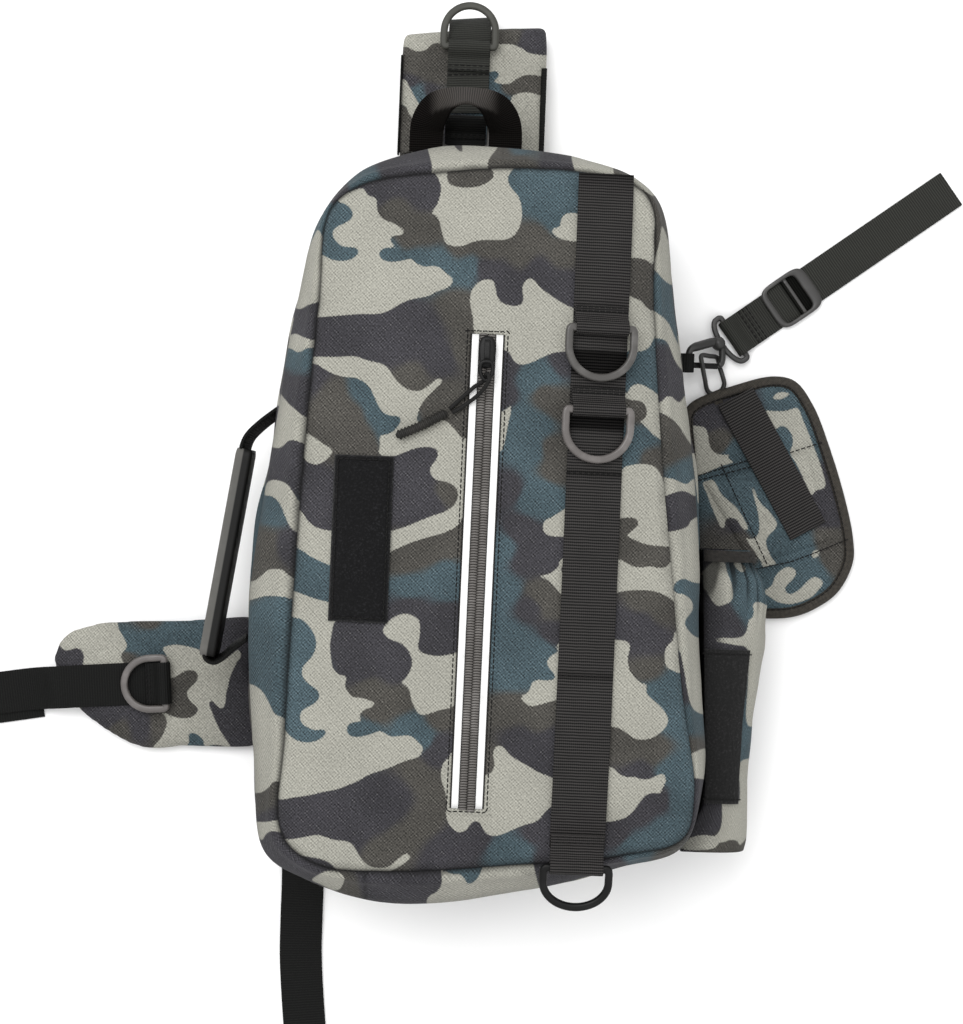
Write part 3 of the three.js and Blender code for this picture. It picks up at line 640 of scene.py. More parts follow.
class NodeBoard:
    """A material's node tree, wired one step at a time."""

    def __init__(self, name: str) -> None:
        """Starts a material with a plain surface shader."""
        self.material = bpy.data.materials.new(name)
        self.material.use_nodes = True
        self.nodes = self.material.node_tree.nodes
        self.surface = self.nodes["Principled BSDF"]

    def link(self, source: object, target: object) -> None:
        """Joins two sockets."""
        self.material.node_tree.links.new(source, target)

    def give(self, target: object, value: object) -> None:
        """Links a socket to a target, or sets a plain value on it."""
        if isinstance(value, bpy.types.NodeSocket):
            self.link(value, target)
        else:
            target.default_value = value

    def set(self, **values: object) -> None:
        """Sets the shader's own sockets, named with underscores for spaces."""
        for title, value in values.items():
            self.give(self.surface.inputs[title.replace("_", " ")], value)

    def math(self, kind: str, first: object, second: object = 0.0, third: object = 0.0) -> object:
        """One arithmetic step on numbers or sockets."""
        node = self.nodes.new("ShaderNodeMath")
        node.operation = kind
        for target, value in zip(node.inputs, (first, second, third)):
            self.give(target, value)
        return node.outputs[0]

    def blend(self, share: object, first: object, second: object, kind: str = "MIX") -> object:
        """A mix of two colours by a share."""
        node = self.nodes.new("ShaderNodeMix")
        node.data_type = "RGBA"
        node.blend_type = kind
        for target, value in zip((node.inputs[0], node.inputs[6], node.inputs[7]), (share, first, second)):
            self.give(target, value)
        return node.outputs[2]

    def attribute(self, name: str) -> bpy.types.Node:
        """A node that reads a mesh attribute."""
        node = self.nodes.new("ShaderNodeAttribute")
        node.attribute_name = name
        return node

    def place(self, on_weave: bool) -> object:
        """The weave's flat coordinates, or the object's own, in metres."""
        if on_weave:
            node = self.nodes.new("ShaderNodeUVMap")
            node.uv_map = WEAVE_UV
            return node.outputs[0]
        return self.nodes.new("ShaderNodeTexCoord").outputs["Object"]

    def with_painted_shade(self, colour: object, depth: float) -> object:
        """A colour darkened by painted shade: by a share where the mesh's painted shade attribute is 1."""
        shade = self.math("MULTIPLY_ADD", self.attribute("crease").outputs["Fac"], -depth, 1.0)
        return self.blend(1.0, colour, shade, "MULTIPLY")

    def gloss(self, level: float) -> object:
        """A gloss that fades to nothing where the mesh's painted shade attribute is 1."""
        return self.math("MULTIPLY_ADD", self.attribute("crease").outputs["Fac"], -level, level)

    def parts(self, vector: object) -> tuple[object, object, object]:
        """A vector's three numbers."""
        node = self.nodes.new("ShaderNodeSeparateXYZ")
        self.link(vector, node.inputs[0])
        return tuple(node.outputs)

    def wave(self, number: object, pitch: float) -> object:
        """A sine of a length, from -1 to 1 over each pitch in metres."""
        return self.math("SINE", self.math("MULTIPLY", number, 2 * math.pi / pitch))

    def noise(self, place: object, size: float, detail: float = 2.0) -> object:
        """Cloudy noise of 0 to 1 with patches of about a size in metres."""
        node = self.nodes.new("ShaderNodeTexNoise")
        node.inputs["Scale"].default_value = 1 / size
        node.inputs["Detail"].default_value = detail
        self.link(place, node.inputs["Vector"])
        return node.outputs[0]

    def range(self, value: object, low: float, high: float, start: float = 0.0, end: float = 1.0) -> object:
        """A smooth step of a value between two limits."""
        node = self.nodes.new("ShaderNodeMapRange")
        node.interpolation_type = "SMOOTHSTEP"
        for target, number in zip(list(node.inputs)[:5], (value, low, high, start, end)):
            self.give(target, number)
        return node.outputs[0]

    def bump(self, height: object, strength: float, distance: float) -> None:
        """Raises the surface by a height of 0 to 1, over a distance in metres."""
        node = self.nodes.new("ShaderNodeBump")
        node.inputs["Strength"].default_value = strength
        node.inputs["Distance"].default_value = distance
        self.link(height, node.inputs["Height"])
        self.link(node.outputs[0], self.surface.inputs["Normal"])


@dataclass(frozen=True)
class CamoCloth:
    """Coated oxford cloth with a printed camouflage.

    Attributes:
        light: the ground colour.
        teal: the first dark colour.
        olive: the second dark colour.
        navy: the third dark colour.
        yarn_highlight: the colour of a painted highlight on the yarn tops.
        pitch: the weave's repeat in metres.
        slant: the diagonal ribs' repeat, in pitches.
        edge: half the width of the print's edges, in image pixels.
        on_weave: whether the weave follows the piece's own flat coordinates.
        yarn, grain, fade: the sizes in metres of uneven yarns, fine grain and cloudy lighter and darker
            patches, partly uneven tone and partly painted shade standing in for soft folds.
        crease: how much darker the colour is where the painted shade is full.
        relief: how high the weave stands, in metres.
    """

    name: str = "camo_cloth"
    light: Colour = (147, 146, 137)
    teal: Colour = (61, 76, 82)
    olive: Colour = (66, 64, 60)
    navy: Colour = (52, 51, 55)
    yarn_highlight: Colour = (176, 175, 168)
    pitch: float = 0.0019
    slant: float = 1.5
    edge: float = 0.75
    on_weave: bool = True
    yarn: float = 0.003
    grain: float = 0.0011
    fade: float = 0.035
    crease: float = 0.85
    relief: float = 0.0004

    def material(self) -> Material:
        """Builds the finish from the print's fields on each mesh."""
        board = NodeBoard(self.name)
        place = board.place(self.on_weave)
        u, v, _ = board.parts(place)
        warp, weft = board.wave(u, self.pitch), board.wave(v, self.pitch)
        twill = board.wave(board.math("ADD", u, v), self.pitch * self.slant)
        yarn = board.math("MULTIPLY_ADD", twill, 0.3, board.math("MULTIPLY", warp, weft))
        rough = board.range(board.noise(place, self.yarn, 3.0), 0.35, 0.65, 0.15, 1.3)
        yarn = board.math("MULTIPLY", yarn, rough)
        grain = board.noise(place, self.grain, 3.0)
        height = board.math("MULTIPLY_ADD", yarn, 0.24, board.math("MULTIPLY_ADD", grain, 0.8, 0.1))
        tone = board.attribute("tone")
        olive_share, navy_share, _ = board.parts(tone.outputs["Vector"])
        dark = board.blend(olive_share, linear(self.teal), linear(self.olive))
        dark = board.blend(navy_share, dark, linear(self.navy))
        print_edge = board.math("MULTIPLY_ADD", yarn, 0.3, board.attribute("light").outputs["Fac"])
        lit = board.range(print_edge, -self.edge, self.edge)
        colour = board.blend(lit, dark, linear(self.light))
        # Cloudy lighter and darker patches: partly uneven tone, partly painted shade for soft folds; the
        # light ground is mostly spared.
        tone_and_fold_shade = board.range(board.noise(place, self.fade, 3.0), 0.25, 0.75, 0.76, 1.16)
        spared = board.math("MULTIPLY", lit, 0.7)
        tone_and_fold_shade = board.math("MULTIPLY_ADD", board.math("SUBTRACT", 1.0, tone_and_fold_shade), spared, tone_and_fold_shade)
        low = board.math("MULTIPLY_ADD", lit, 0.32, 0.2)
        high = board.math("MULTIPLY_ADD", lit, -0.32, 1.6)
        shade = board.math("MULTIPLY", board.range(height, 0.1, 0.9, low, high), tone_and_fold_shade)
        colour = board.blend(1.0, colour, shade, "MULTIPLY")
        # Painted highlight: the highest yarn tops are mixed towards a paler colour.
        yarn_highlight = board.math("MULTIPLY", board.range(height, 0.68, 0.98), 0.16)
        colour = board.with_painted_shade(board.blend(yarn_highlight, colour, linear(self.yarn_highlight)), self.crease)
        board.set(Base_Color=colour, Roughness=0.8, Specular_IOR_Level=0.2)
        board.bump(height, 0.6, self.relief)
        return board.material


@dataclass(frozen=True)
class RibbedWebbing:
    """Woven webbing with ribs across its length.

    Attributes:
        face: the ribs' colour.
        gap: the colour between the ribs.
        pitch: the ribs' repeat in metres.
        thread: the repeat of the threads along the band in metres.
        drift: how far the ribs wander, in metres, over patches of drift_size.
        worn_size: the worn patches' size in metres.
        crease: how much darker the colour is where the painted shade is full.
        gloss: the gloss outside the painted shade.
        relief: how high the ribs stand, in metres.
    """

    name: str = "webbing"
    face: Colour = (53, 51, 50)
    gap: Colour = (3, 3, 3)
    pitch: float = 0.0016
    thread: float = 0.0011
    drift: float = 0.0005
    drift_size: float = 0.006
    worn_size: float = 0.012
    crease: float = 0.94
    gloss: float = 0.16
    relief: float = 0.0003

    def material(self) -> Material:
        """Builds the finish on the band's own coordinates."""
        board = NodeBoard(self.name)
        place = board.place(True)
        u, v, _ = board.parts(place)
        jitter = board.math("MULTIPLY", board.noise(place, self.drift_size), self.drift)
        rib = board.wave(board.math("ADD", v, jitter), self.pitch)
        warp = board.wave(u, self.thread)
        height = board.math("MULTIPLY_ADD", warp, 0.16, board.math("MULTIPLY_ADD", rib, 0.4, 0.44))
        worn = board.math("MULTIPLY_ADD", board.noise(place, self.worn_size, 5.0), 0.5, 0.75)
        share = board.math("MULTIPLY", board.range(height, 0.1, 0.8), worn)
        colour = board.with_painted_shade(board.blend(share, linear(self.gap), linear(self.face)), self.crease)
        board.set(Base_Color=colour, Roughness=0.72, Specular_IOR_Level=board.gloss(self.gloss))
        board.bump(height, 0.8, self.relief)
        return board.material


@dataclass(frozen=True)
class MouldedPlastic:
    """Dark moulded plastic with a fine grain and paler worn patches.

    Attributes:
        pale: the worn patches' colour.
        shine: the gloss.
        cloud, grain: the sizes in metres of worn patches and of the grain.
        crease: how much darker the colour is where the painted shade is full.
        relief: how high the grain stands, in metres.
    """

    name: str = "dark_plastic"
    colour: Colour = (64, 62, 60)
    pale: Colour = (88, 86, 84)
    roughness: float = 0.42
    shine: float = 0.4
    cloud: float = 0.012
    grain: float = 0.0006
    crease: float = 0.96
    relief: float = 0.0002

    def material(self) -> Material:
        """Builds the finish on the object's own coordinates."""
        board = NodeBoard(self.name)
        place = board.place(False)
        cloud = board.noise(place, self.cloud, 3.0)
        grain = board.noise(place, self.grain, 2.0)
        colour = board.blend(board.range(cloud, 0.45, 0.8), linear(self.colour), linear(self.pale))
        matt = board.math("MULTIPLY_ADD", grain, 0.16, self.roughness - 0.08)
        board.set(Base_Color=board.with_painted_shade(colour, self.crease))
        board.set(Roughness=matt, Specular_IOR_Level=self.shine)
        board.bump(grain, 0.12, self.relief)
        return board.material


@dataclass(frozen=True)
class FuzzyFelt:
    """The looped face of hook-and-loop tape: matt, near black, with paler fibre ends."""

    name: str = "hook_loop"
    colour: Colour = (9, 9, 10)
    fibre: Colour = (34, 34, 36)
    tuft: float = 0.0012
    cloud: float = 0.02
    relief: float = 0.0008

    def material(self) -> Material:
        """Builds the finish on the object's own coordinates."""
        board = NodeBoard(self.name)
        place = board.place(False)
        tuft = board.noise(place, self.tuft, 4.0)
        cloud = board.noise(place, self.cloud)
        share = board.math("MULTIPLY", board.range(tuft, 0.48, 0.78), board.range(cloud, 0.2, 0.8, 0.4, 1.0))
        board.set(Base_Color=board.blend(share, linear(self.colour), linear(self.fibre)))
        board.set(Roughness=0.95, Specular_IOR_Level=0.15, Sheen_Weight=0.12)
        board.bump(tuft, 0.9, self.relief)
        return board.material


@dataclass(frozen=True)
class FineWeave:
    """A thin plain weave for zip tape, edge binding, cord and thread.

    Attributes:
        colour: the thread's colour.
        gap: the colour between threads.
        pitch: the weave's repeat in metres.
        slant: how far the threads lean, as on a braid.
    """

    name: str = "fine_weave"
    colour: Colour = (48, 46, 45)
    gap: Colour = (20, 19, 19)
    pitch: float = 0.0011
    slant: float = 0.0
    grain: float = 0.002
    relief: float = 0.0003

    def material(self) -> Material:
        """Builds the finish on the piece's own flat coordinates."""
        board = NodeBoard(self.name)
        place = board.place(True)
        u, v, _ = board.parts(place)
        first = board.math("MULTIPLY_ADD", v, self.slant, u)
        second = board.math("MULTIPLY_ADD", u, -self.slant, v)
        yarn = board.math("MULTIPLY", board.wave(first, self.pitch), board.wave(second, self.pitch))
        height = board.math("MULTIPLY_ADD", yarn, 0.4, board.noise(place, self.grain, 3.0))
        colour = board.blend(board.range(height, 0.15, 0.85), linear(self.gap), linear(self.colour))
        board.set(Base_Color=colour, Roughness=0.8, Specular_IOR_Level=0.25)
        board.bump(height, 0.6, self.relief)
        return board.material


@dataclass(frozen=True)
class ReflectiveTape:
    """Silvery white reflective tape with a fine press pattern."""

    name: str = "reflective"
    colour: Colour = (214, 214, 213)
    worn: Colour = (190, 190, 189)
    press: float = 0.0009
    cloud: float = 0.008
    relief: float = 0.0002

    def material(self) -> Material:
        """Builds the finish on the strip's own flat coordinates."""
        board = NodeBoard(self.name)
        place = board.place(True)
        u, v, _ = board.parts(place)
        grid = board.math("MULTIPLY", board.wave(u, self.press), board.wave(v, self.press))
        cloud = board.noise(place, self.cloud, 3.0)
        share = board.range(cloud, 0.5, 0.85)
        board.set(Base_Color=board.blend(share, linear(self.colour), linear(self.worn)))
        board.set(Roughness=0.38, Specular_IOR_Level=0.6)
        board.bump(board.math("MULTIPLY_ADD", grid, 0.5, 0.5), 0.15, self.relief)
        return board.material


@dataclass(frozen=True)
class AirMesh:
    """Padded spacer mesh of the back: small open cells in dark cloth."""

    name: str = "back_cloth"
    colour: Colour = (46, 46, 48)
    hole: Colour = (18, 18, 19)
    cell: float = 0.0042
    relief: float = 0.0008

    def material(self) -> Material:
        """Builds the finish on the object's own coordinates."""
        board = NodeBoard(self.name)
        place = board.place(False)
        cells = board.nodes.new("ShaderNodeTexVoronoi")
        cells.inputs["Scale"].default_value = 1 / self.cell
        cells.inputs["Randomness"].default_value = 0.15
        board.link(place, cells.inputs["Vector"])
        height = board.range(cells.outputs["Distance"], 0.15, 0.55)
        board.set(Base_Color=board.blend(height, linear(self.hole), linear(self.colour)))
        board.set(Roughness=0.9, Specular_IOR_Level=0.2, Sheen_Weight=0.08)
        board.bump(height, 0.7, self.relief)
        return board.material


class Finishes:
    """Every finish of the bag, made once."""

    def __init__(self) -> None:
        """Builds the materials."""
        self.camo = CamoCloth().material()
        self.camo_pad = CamoCloth(name="camo_cloth_pad", on_weave=False).material()
        self.back = AirMesh().material()
        self.webbing = RibbedWebbing().material()
        self.strap = RibbedWebbing("strap_webbing", (48, 49, 45), (27, 27, 25), 0.0014, 0.0009).material()
        self.dark_strap = RibbedWebbing("dark_webbing", (13, 14, 12), (4, 4, 4), 0.0015, 0.0009).material()
        self.handle = RibbedWebbing("handle_webbing", (60, 56, 53), (29, 27, 25), 0.0014).material()
        self.plastic = MouldedPlastic().material()
        # A paler copy of the rings' dark plastic: a painted highlight.
        self.highlit_plastic = MouldedPlastic("ring_plastic", (84, 80, 78), (106, 102, 100), 0.38).material()
        self.dark_plastic = MouldedPlastic("black_plastic", (10, 10, 10), (20, 20, 20), 0.45, 0.18).material()
        self.strap_plastic = MouldedPlastic("strap_plastic", (52, 52, 47), (62, 62, 57), 0.5, 0.25).material()
        self.glide_plastic = MouldedPlastic("glide_plastic", (46, 45, 44), (64, 63, 61), 0.42).material()
        self.hook_plastic = MouldedPlastic("hook_plastic", (34, 34, 33), (54, 53, 52), 0.4).material()
        self.sleeve = MouldedPlastic("pull_sleeve", (28, 27, 25), (46, 44, 41), 0.55, 0.25).material()
        # The grip's pale grey is a painted highlight for its lit side.
        self.grip = MouldedPlastic("grip_rubber", (84, 83, 80), (94, 93, 90), 0.6, 0.2).material()
        self.felt = FuzzyFelt().material()
        self.pale_felt = FuzzyFelt("pocket_hook_loop", (25, 25, 25), (46, 45, 46)).material()
        self.binding = FineWeave("edge_binding", (42, 39, 36), (18, 17, 16), 0.0012).material()
        self.pouch_binding = FineWeave("pouch_binding_cloth", (62, 58, 52), (30, 28, 25), 0.0012).material()
        self.tape = FineWeave("zip_tape", (52, 50, 48), (26, 25, 24), 0.0009).material()
        self.cord = FineWeave("cord", (26, 25, 24), (10, 10, 10), 0.0016, 0.7).material()
        self.thread = FineWeave("thread", (22, 21, 20), (10, 10, 10), 0.0006, 0.8).material()
        self.coil = MouldedPlastic("zip_coil", (86, 83, 80), (108, 105, 102), 0.46).material()
        self.coil_bed = FineWeave("zip_bed", (48, 46, 45), (24, 23, 22), 0.0009).material()
        self.reflective = ReflectiveTape().material()

    def ring(self, name: str) -> Material:
        """A ring's plastic: one dark plastic, with a paler copy on the lower front ring and the wing's as a
        painted highlight, and black at the bottom.
        """
        kinds = {
            "front_lower": self.highlit_plastic,
            "wing": self.highlit_plastic,
            "front_bottom": self.dark_plastic,
            "strap": self.strap_plastic,
        }
        return kinds.get(name, self.plastic)


# The print's light patches, charted on the photograph: each is a closed line of image pixels.
FRONT_LIGHT: list[Table] = [
    [(340, 197), (352, 191), (363, 188.5), (368, 195), (376, 199), (377, 208), (379, 215), (385, 220),
     (393, 223), (401, 228), (404, 232), (401, 235), (393, 236), (390, 239), (392, 243), (396, 247),
     (385, 248), (380, 251), (379, 254), (382, 259), (388, 261.5), (397, 261.5), (405, 260), (411, 259),
     (416, 263), (424, 266.5), (434, 266), (440, 268), (446, 273), (452, 278), (453, 281), (450, 286),
     (444, 289), (436, 292), (428, 296), (418, 298), (409, 300), (400, 304), (390, 310), (380, 313.5),
     (360, 314), (340, 315.5), (320, 317), (310, 317), (312, 290), (316, 258), (322, 255), (330, 259),
     (340, 261), (349, 260), (356, 256), (359, 252), (356, 248), (349, 247), (342, 246), (336, 241),
     (333, 236), (333, 231), (337, 227), (345, 223), (351, 219), (353, 214), (350, 208), (345, 204),
     (338, 201)],
    [(433, 170), (447, 168), (447, 178), (450, 184), (458, 187), (468, 187.5), (480, 186), (488, 182),
     (493, 178), (493, 172), (490, 165), (516, 165), (510, 173), (508, 178), (509, 184), (513, 190),
     (518, 196), (521, 204), (522, 213), (521, 222), (518, 230), (513, 236), (506, 239.5), (495, 240),
     (483, 240), (473, 242), (462, 246), (453, 246), (446, 243), (443, 236), (441, 228), (439, 220),
     (435, 215), (431, 213), (435, 208), (439, 200), (441, 190), (440, 182), (436, 175)],
    [(571, 213), (580, 215), (588, 240), (565, 240), (556, 236), (551, 229), (556, 228), (560, 226),
     (561, 220), (564, 215)],
    [(618, 178), (633, 178), (645, 184), (656, 194), (660, 206), (654, 230), (653, 264), (648, 261),
     (641, 258.5), (630, 258), (618, 259)],
    [(470, 300), (472, 290), (479, 282), (487, 279.5), (493, 281), (495.5, 288), (497, 296), (501, 302),
     (508, 305), (516, 306), (522, 303.5), (523.5, 299), (522.5, 292), (523, 285), (526.5, 280),
     (531, 278.5), (535, 281), (539, 286), (546, 292), (556, 299), (566, 305), (576, 309), (590, 312),
     (590, 350), (564, 351.5), (553, 353), (541, 358), (530, 363), (521, 364.5), (514.5, 361.5),
     (511, 355.5), (507, 350.5), (502, 351), (498, 358), (488, 352), (478, 340), (474, 330), (473, 318),
     (471, 308)],
    [(616, 295), (628, 295), (634, 298), (641, 301), (645, 306), (650, 310), (656, 312), (658, 330),
     (653, 340), (650, 346), (645, 350), (638, 351.5), (630, 351), (616, 351)],
    [(309, 358), (335, 357), (356, 356.5), (363, 359), (372, 361.5), (382, 364), (388, 368), (393, 376),
     (399, 383), (406, 388.5), (414, 391), (422, 390), (430, 384.5), (437, 379), (442, 379), (441, 383),
     (436, 388), (428, 396), (421, 405), (418, 413), (417, 421), (425, 424), (437, 420), (445, 420.5),
     (451, 425), (457, 432), (463, 438.5), (472, 440), (472, 480), (468, 515), (462, 518), (459, 524),
     (452, 529), (440, 534), (425, 538), (410, 543), (395, 549.5), (380, 555), (380, 535), (395, 530),
     (405, 527), (418, 521.5), (432, 516), (445, 511.5), (454, 505), (458, 497), (457, 489.5),
     (452, 484.5), (445, 481.5), (437, 480), (432, 476), (430, 471), (432, 465), (436, 460), (438, 454.5),
     (437, 450), (432, 447.5), (423, 447), (413, 449), (404, 452.5), (396, 455.5), (386, 456), (379, 454),
     (380, 445), (380, 436), (386, 434.5), (393, 431.5), (398, 426), (401, 420), (399, 416.5),
     (390, 415.5), (383, 412), (378, 405), (374, 396), (370, 388), (364, 382), (356, 378), (346, 377),
     (335, 374.5), (326, 370), (318, 365), (308, 362)],
    [(303, 433), (312, 436), (318, 440), (325, 445), (334, 450), (331, 454), (329, 457), (323, 462),
     (316, 464.5), (310, 463), (304, 459)],
    [(298, 510), (303, 513), (306, 519), (311, 524), (318, 528), (328, 530.5), (340, 533), (340, 566),
     (327, 564), (320, 561), (310, 556), (303, 551), (296, 546)],
    [(290, 591), (302, 594), (310, 597), (320, 600), (328, 602), (340, 606), (340, 618), (334, 623),
     (332, 632), (330, 645), (331, 658), (333, 668), (338, 674), (346, 677), (345, 686), (348, 692),
     (353, 697), (361, 698), (368, 700), (374, 703), (372, 707), (366, 709), (361, 713), (359.5, 716),
     (361, 721), (352, 722.5), (347.5, 726), (347, 731), (350, 735.5), (357, 737), (366, 735.5),
     (374, 733), (380, 731), (385, 733.5), (391, 736.5), (400, 736), (408, 735.5), (414, 738), (419, 743),
     (423, 748), (421, 754), (416, 758), (408, 760), (400, 763), (390, 767.5), (380, 771), (368, 775),
     (358, 781), (348, 785), (338, 789), (325, 791.5), (310, 795), (296, 797), (276, 798), (274, 760),
     (278, 728), (284, 729), (288, 734), (296, 740), (306, 742.5), (316, 741), (323, 737), (326, 732),
     (323, 729.5), (315, 730), (307, 727), (302, 723), (300, 717), (302, 711), (308, 707), (315, 703),
     (319, 698), (319, 693), (315, 688), (309, 684), (304, 679), (302, 673), (303, 667), (308, 661),
     (313, 655), (316, 647), (316, 640), (313, 632), (308, 625), (301, 619), (291, 616), (288, 604)],
    [(383, 630), (388, 622), (393, 618), (400, 614.5), (408, 614), (415, 617), (419, 621), (420, 630),
     (419, 640), (418, 647), (421, 652), (430, 655), (440, 656), (452, 654), (460, 652), (462, 675),
     (460, 700), (454, 706), (448, 708.5), (440, 710), (431, 713), (423, 715), (418, 713), (414, 706),
     (411, 699), (410, 692), (406, 686), (401, 682.5), (405, 679), (409, 673), (412, 665), (411, 656),
     (407, 649), (400, 643), (392, 640), (386, 636)],
    [(458, 744), (449, 757), (444, 762), (441.5, 769), (441, 777), (443, 785), (446, 795), (447, 806),
     (446, 814), (448, 822), (453, 829), (460, 832.5), (466, 830), (470, 825), (475, 821), (480, 823),
     (483, 829), (487, 834), (494, 836), (503, 834), (512, 830), (524, 825), (537, 821), (546, 811),
     (553, 805), (558, 803), (570, 800), (570, 780), (556, 779), (548, 776), (538, 772), (528, 766),
     (519, 761), (510, 755), (505, 749), (501, 746), (496, 746.5), (493.5, 751), (493.5, 758),
     (494.5, 764), (492, 772), (486, 775), (474, 772)],
    [(580, 503), (566, 508), (560, 512), (552, 517), (545, 521), (543, 527), (545, 533), (551, 536),
     (560, 536.5), (580, 536)],
    [(580, 552), (566, 556), (560, 561), (558, 567), (550, 573.5), (540, 576.5), (548, 580), (555, 587),
     (562, 595), (572, 602), (582, 596), (576, 580), (566, 575), (561, 571), (562, 567), (567, 563),
     (580, 560)],
    [(604, 472), (619, 472), (625, 467), (632, 465), (640, 464), (648, 464.5), (655, 467), (660, 473),
     (664, 483), (668, 500), (672, 520), (674, 545), (660, 546), (650, 545), (642, 543), (633, 539),
     (627, 536), (633, 530), (638, 525), (638, 521), (634, 518), (627, 517.5), (604, 518)],
    [(604, 556), (618, 559), (625, 562), (632, 566), (640, 567.5), (650, 566.5), (660, 568), (667, 566.5),
     (671, 562), (678, 570), (680, 605), (668, 597), (660, 593), (650, 590.5), (640, 590), (628, 590.5),
     (604, 592)],
    [(614, 395), (627, 393), (631, 387), (637, 384), (645, 386), (653, 391), (662, 399), (665, 420),
     (666, 441), (655, 436), (648, 429), (642, 423), (640, 422), (645, 418), (647, 412), (645, 405),
     (640, 401), (632, 400), (625, 398)],
    [(604, 640), (617, 640), (625, 641), (629, 643), (630, 648), (628, 656), (628, 664), (630, 671),
     (635, 678), (641, 683), (648, 685), (646, 689), (647, 694), (652, 699), (659, 705), (665, 712),
     (668, 718), (667, 725), (661, 732), (653, 737.5), (644, 739.5), (636, 739), (628, 734), (621, 729),
     (604, 722)],
    [(673, 640), (668, 645), (665, 651), (665, 660), (667, 668), (672, 670), (680, 673), (686, 660),
     (684, 640), (680, 630), (675, 632)],
    [(600, 768), (613, 768), (618, 773), (626, 777), (634, 777), (640, 779), (649, 779), (656, 776),
     (663, 774), (666, 780), (663, 787), (660, 793), (652, 793), (645, 796), (640, 802), (635, 809),
     (629, 815), (622, 819), (600, 820)],
    [(580, 651), (563, 652), (556, 653), (549, 658), (547, 663), (550, 669), (555, 675), (554, 679),
     (546, 680.5), (538, 680), (532, 683), (530, 689), (526, 694), (521, 696), (524, 702), (531, 706),
     (538, 705), (547, 702.5), (556, 700.5), (580, 700)],
    [(279, 840), (293, 839), (305, 837), (318, 835), (325, 837), (335, 840), (345, 841), (352, 844),
     (356, 850), (360, 857), (365, 863), (372, 867), (382, 868), (390, 866), (396, 861), (402, 856),
     (407, 853.5), (410, 857), (407, 861), (400, 866), (393, 870), (380, 874), (360, 874), (340, 873),
     (334, 867), (328, 862), (320, 859), (310, 857), (300, 855), (292, 850), (286, 845)],
    [(494, 416), (504, 411), (510, 406), (511, 412), (509, 420), (507, 430), (505, 440), (502, 450),
     (494, 452)],
    [(568, 637), (561, 641), (556, 648), (561, 650), (568, 649)],
]
GUSSET_LIGHT: list[Table] = [
    [(318, 230), (324, 240), (328, 256), (326, 290), (326, 298), (308, 305), (300, 309), (294, 307),
     (290, 303), (294, 288), (300, 270), (306, 255), (314, 236)],
    [(284, 340), (291, 335), (296, 334), (303, 337), (312, 340), (322, 341), (322, 347), (307, 348),
     (302, 351), (297, 352), (292, 349), (283, 346)],
    [(276, 388), (283, 397), (289, 404), (296, 410), (303, 416), (314, 420), (314, 446), (300, 442),
     (293, 440), (288, 441), (283, 446), (278, 448), (270, 446), (264, 440), (268, 420), (271, 403)],
    [(266, 485), (269, 481), (275, 480), (282, 481.5), (288, 485), (293, 492), (298, 500), (306, 508),
     (309, 525), (306, 536), (296, 532), (291, 528), (287, 521), (284, 513), (281, 506), (277, 500),
     (271, 496), (266, 495.5), (263, 493)],
    [(256, 580), (262, 575), (268, 570), (276, 569), (283, 570), (288, 575), (300, 582), (302, 590),
     (300, 600), (285, 597), (275, 596), (265, 596), (257, 598), (246, 600), (246, 584)],
    [(238, 684), (250, 684), (257, 687), (262, 691), (266, 697), (270, 705), (275, 714), (286, 720),
     (288, 740), (287, 765), (286, 780), (273, 782), (269, 787), (262, 792), (256, 793), (246, 792),
     (242, 775), (240, 755), (240, 720)],
    [(250, 823), (265, 822), (286, 821), (286, 832), (272, 831), (266, 834), (262, 840), (254, 832)],
    [(312, 880), (318, 875), (327, 871), (338, 872), (344, 877), (343, 884), (338, 890), (330, 889),
     (320, 884)],
    [(441, 866), (447, 872), (453, 874), (459, 874), (464, 878), (468, 884), (474, 882), (480, 874),
     (484, 865), (500, 862), (520, 861), (532, 862), (535, 872), (537, 880), (540, 896), (520, 902),
     (480, 908), (450, 911), (428, 908), (428, 897), (435, 893), (440, 888), (442, 880)],
    [(428, 144), (430, 157), (432, 165), (433, 178), (445, 178), (460, 176), (475, 175), (487, 174),
     (488, 162), (491, 156), (495, 151), (500, 142), (480, 141), (463, 141), (462, 152), (457, 149),
     (450, 141), (440, 141)],
    [(572, 154), (580, 156), (595, 158), (610, 162), (613, 178), (600, 180), (585, 178), (577, 174),
     (573, 164)],
    [(635, 176), (643, 178), (652, 184), (660, 192), (654, 196), (643, 190), (634, 186)],
    [(662, 226), (668, 240), (672, 255), (675, 265), (677, 275), (678, 287), (668, 283), (662, 278),
     (657, 272), (651, 266), (655, 258), (658, 248), (660, 240)],
    [(646, 308), (660, 315), (666, 320), (670, 326), (674, 335), (677, 342), (682, 350), (685, 372),
     (677, 364), (673, 356), (670, 348), (667, 342), (662, 339), (650, 336)],
    [(650, 404), (661, 402), (666, 397), (672, 397), (676, 401), (680, 402), (684, 397), (690, 392),
     (693, 410), (694, 447), (684, 434), (679, 426), (672, 419), (664, 414), (650, 409)],
    [(654, 478), (668, 478), (676, 480), (682, 483), (687, 484), (694, 479), (696, 496), (687, 492),
     (681, 491), (673, 493), (658, 497)],
    [(658, 535), (674, 531), (682, 529), (688, 526), (691, 521), (699, 517), (702, 545), (703, 582),
     (692, 582), (686, 579), (679, 580), (675, 584), (673, 589), (676, 593), (682, 594), (688, 597),
     (692, 602), (693, 608), (690, 614), (686, 619), (685, 625), (689, 631), (694, 636), (702, 640),
     (704, 655), (706, 690), (707, 714), (697, 712), (692, 707), (689, 698), (687, 688), (685, 675),
     (682, 660), (679, 650), (670, 646), (666, 630), (664, 600), (660, 560)],
    [(676, 757), (691, 754), (697, 751), (706, 749), (707, 778), (695, 778), (680, 777)],
]
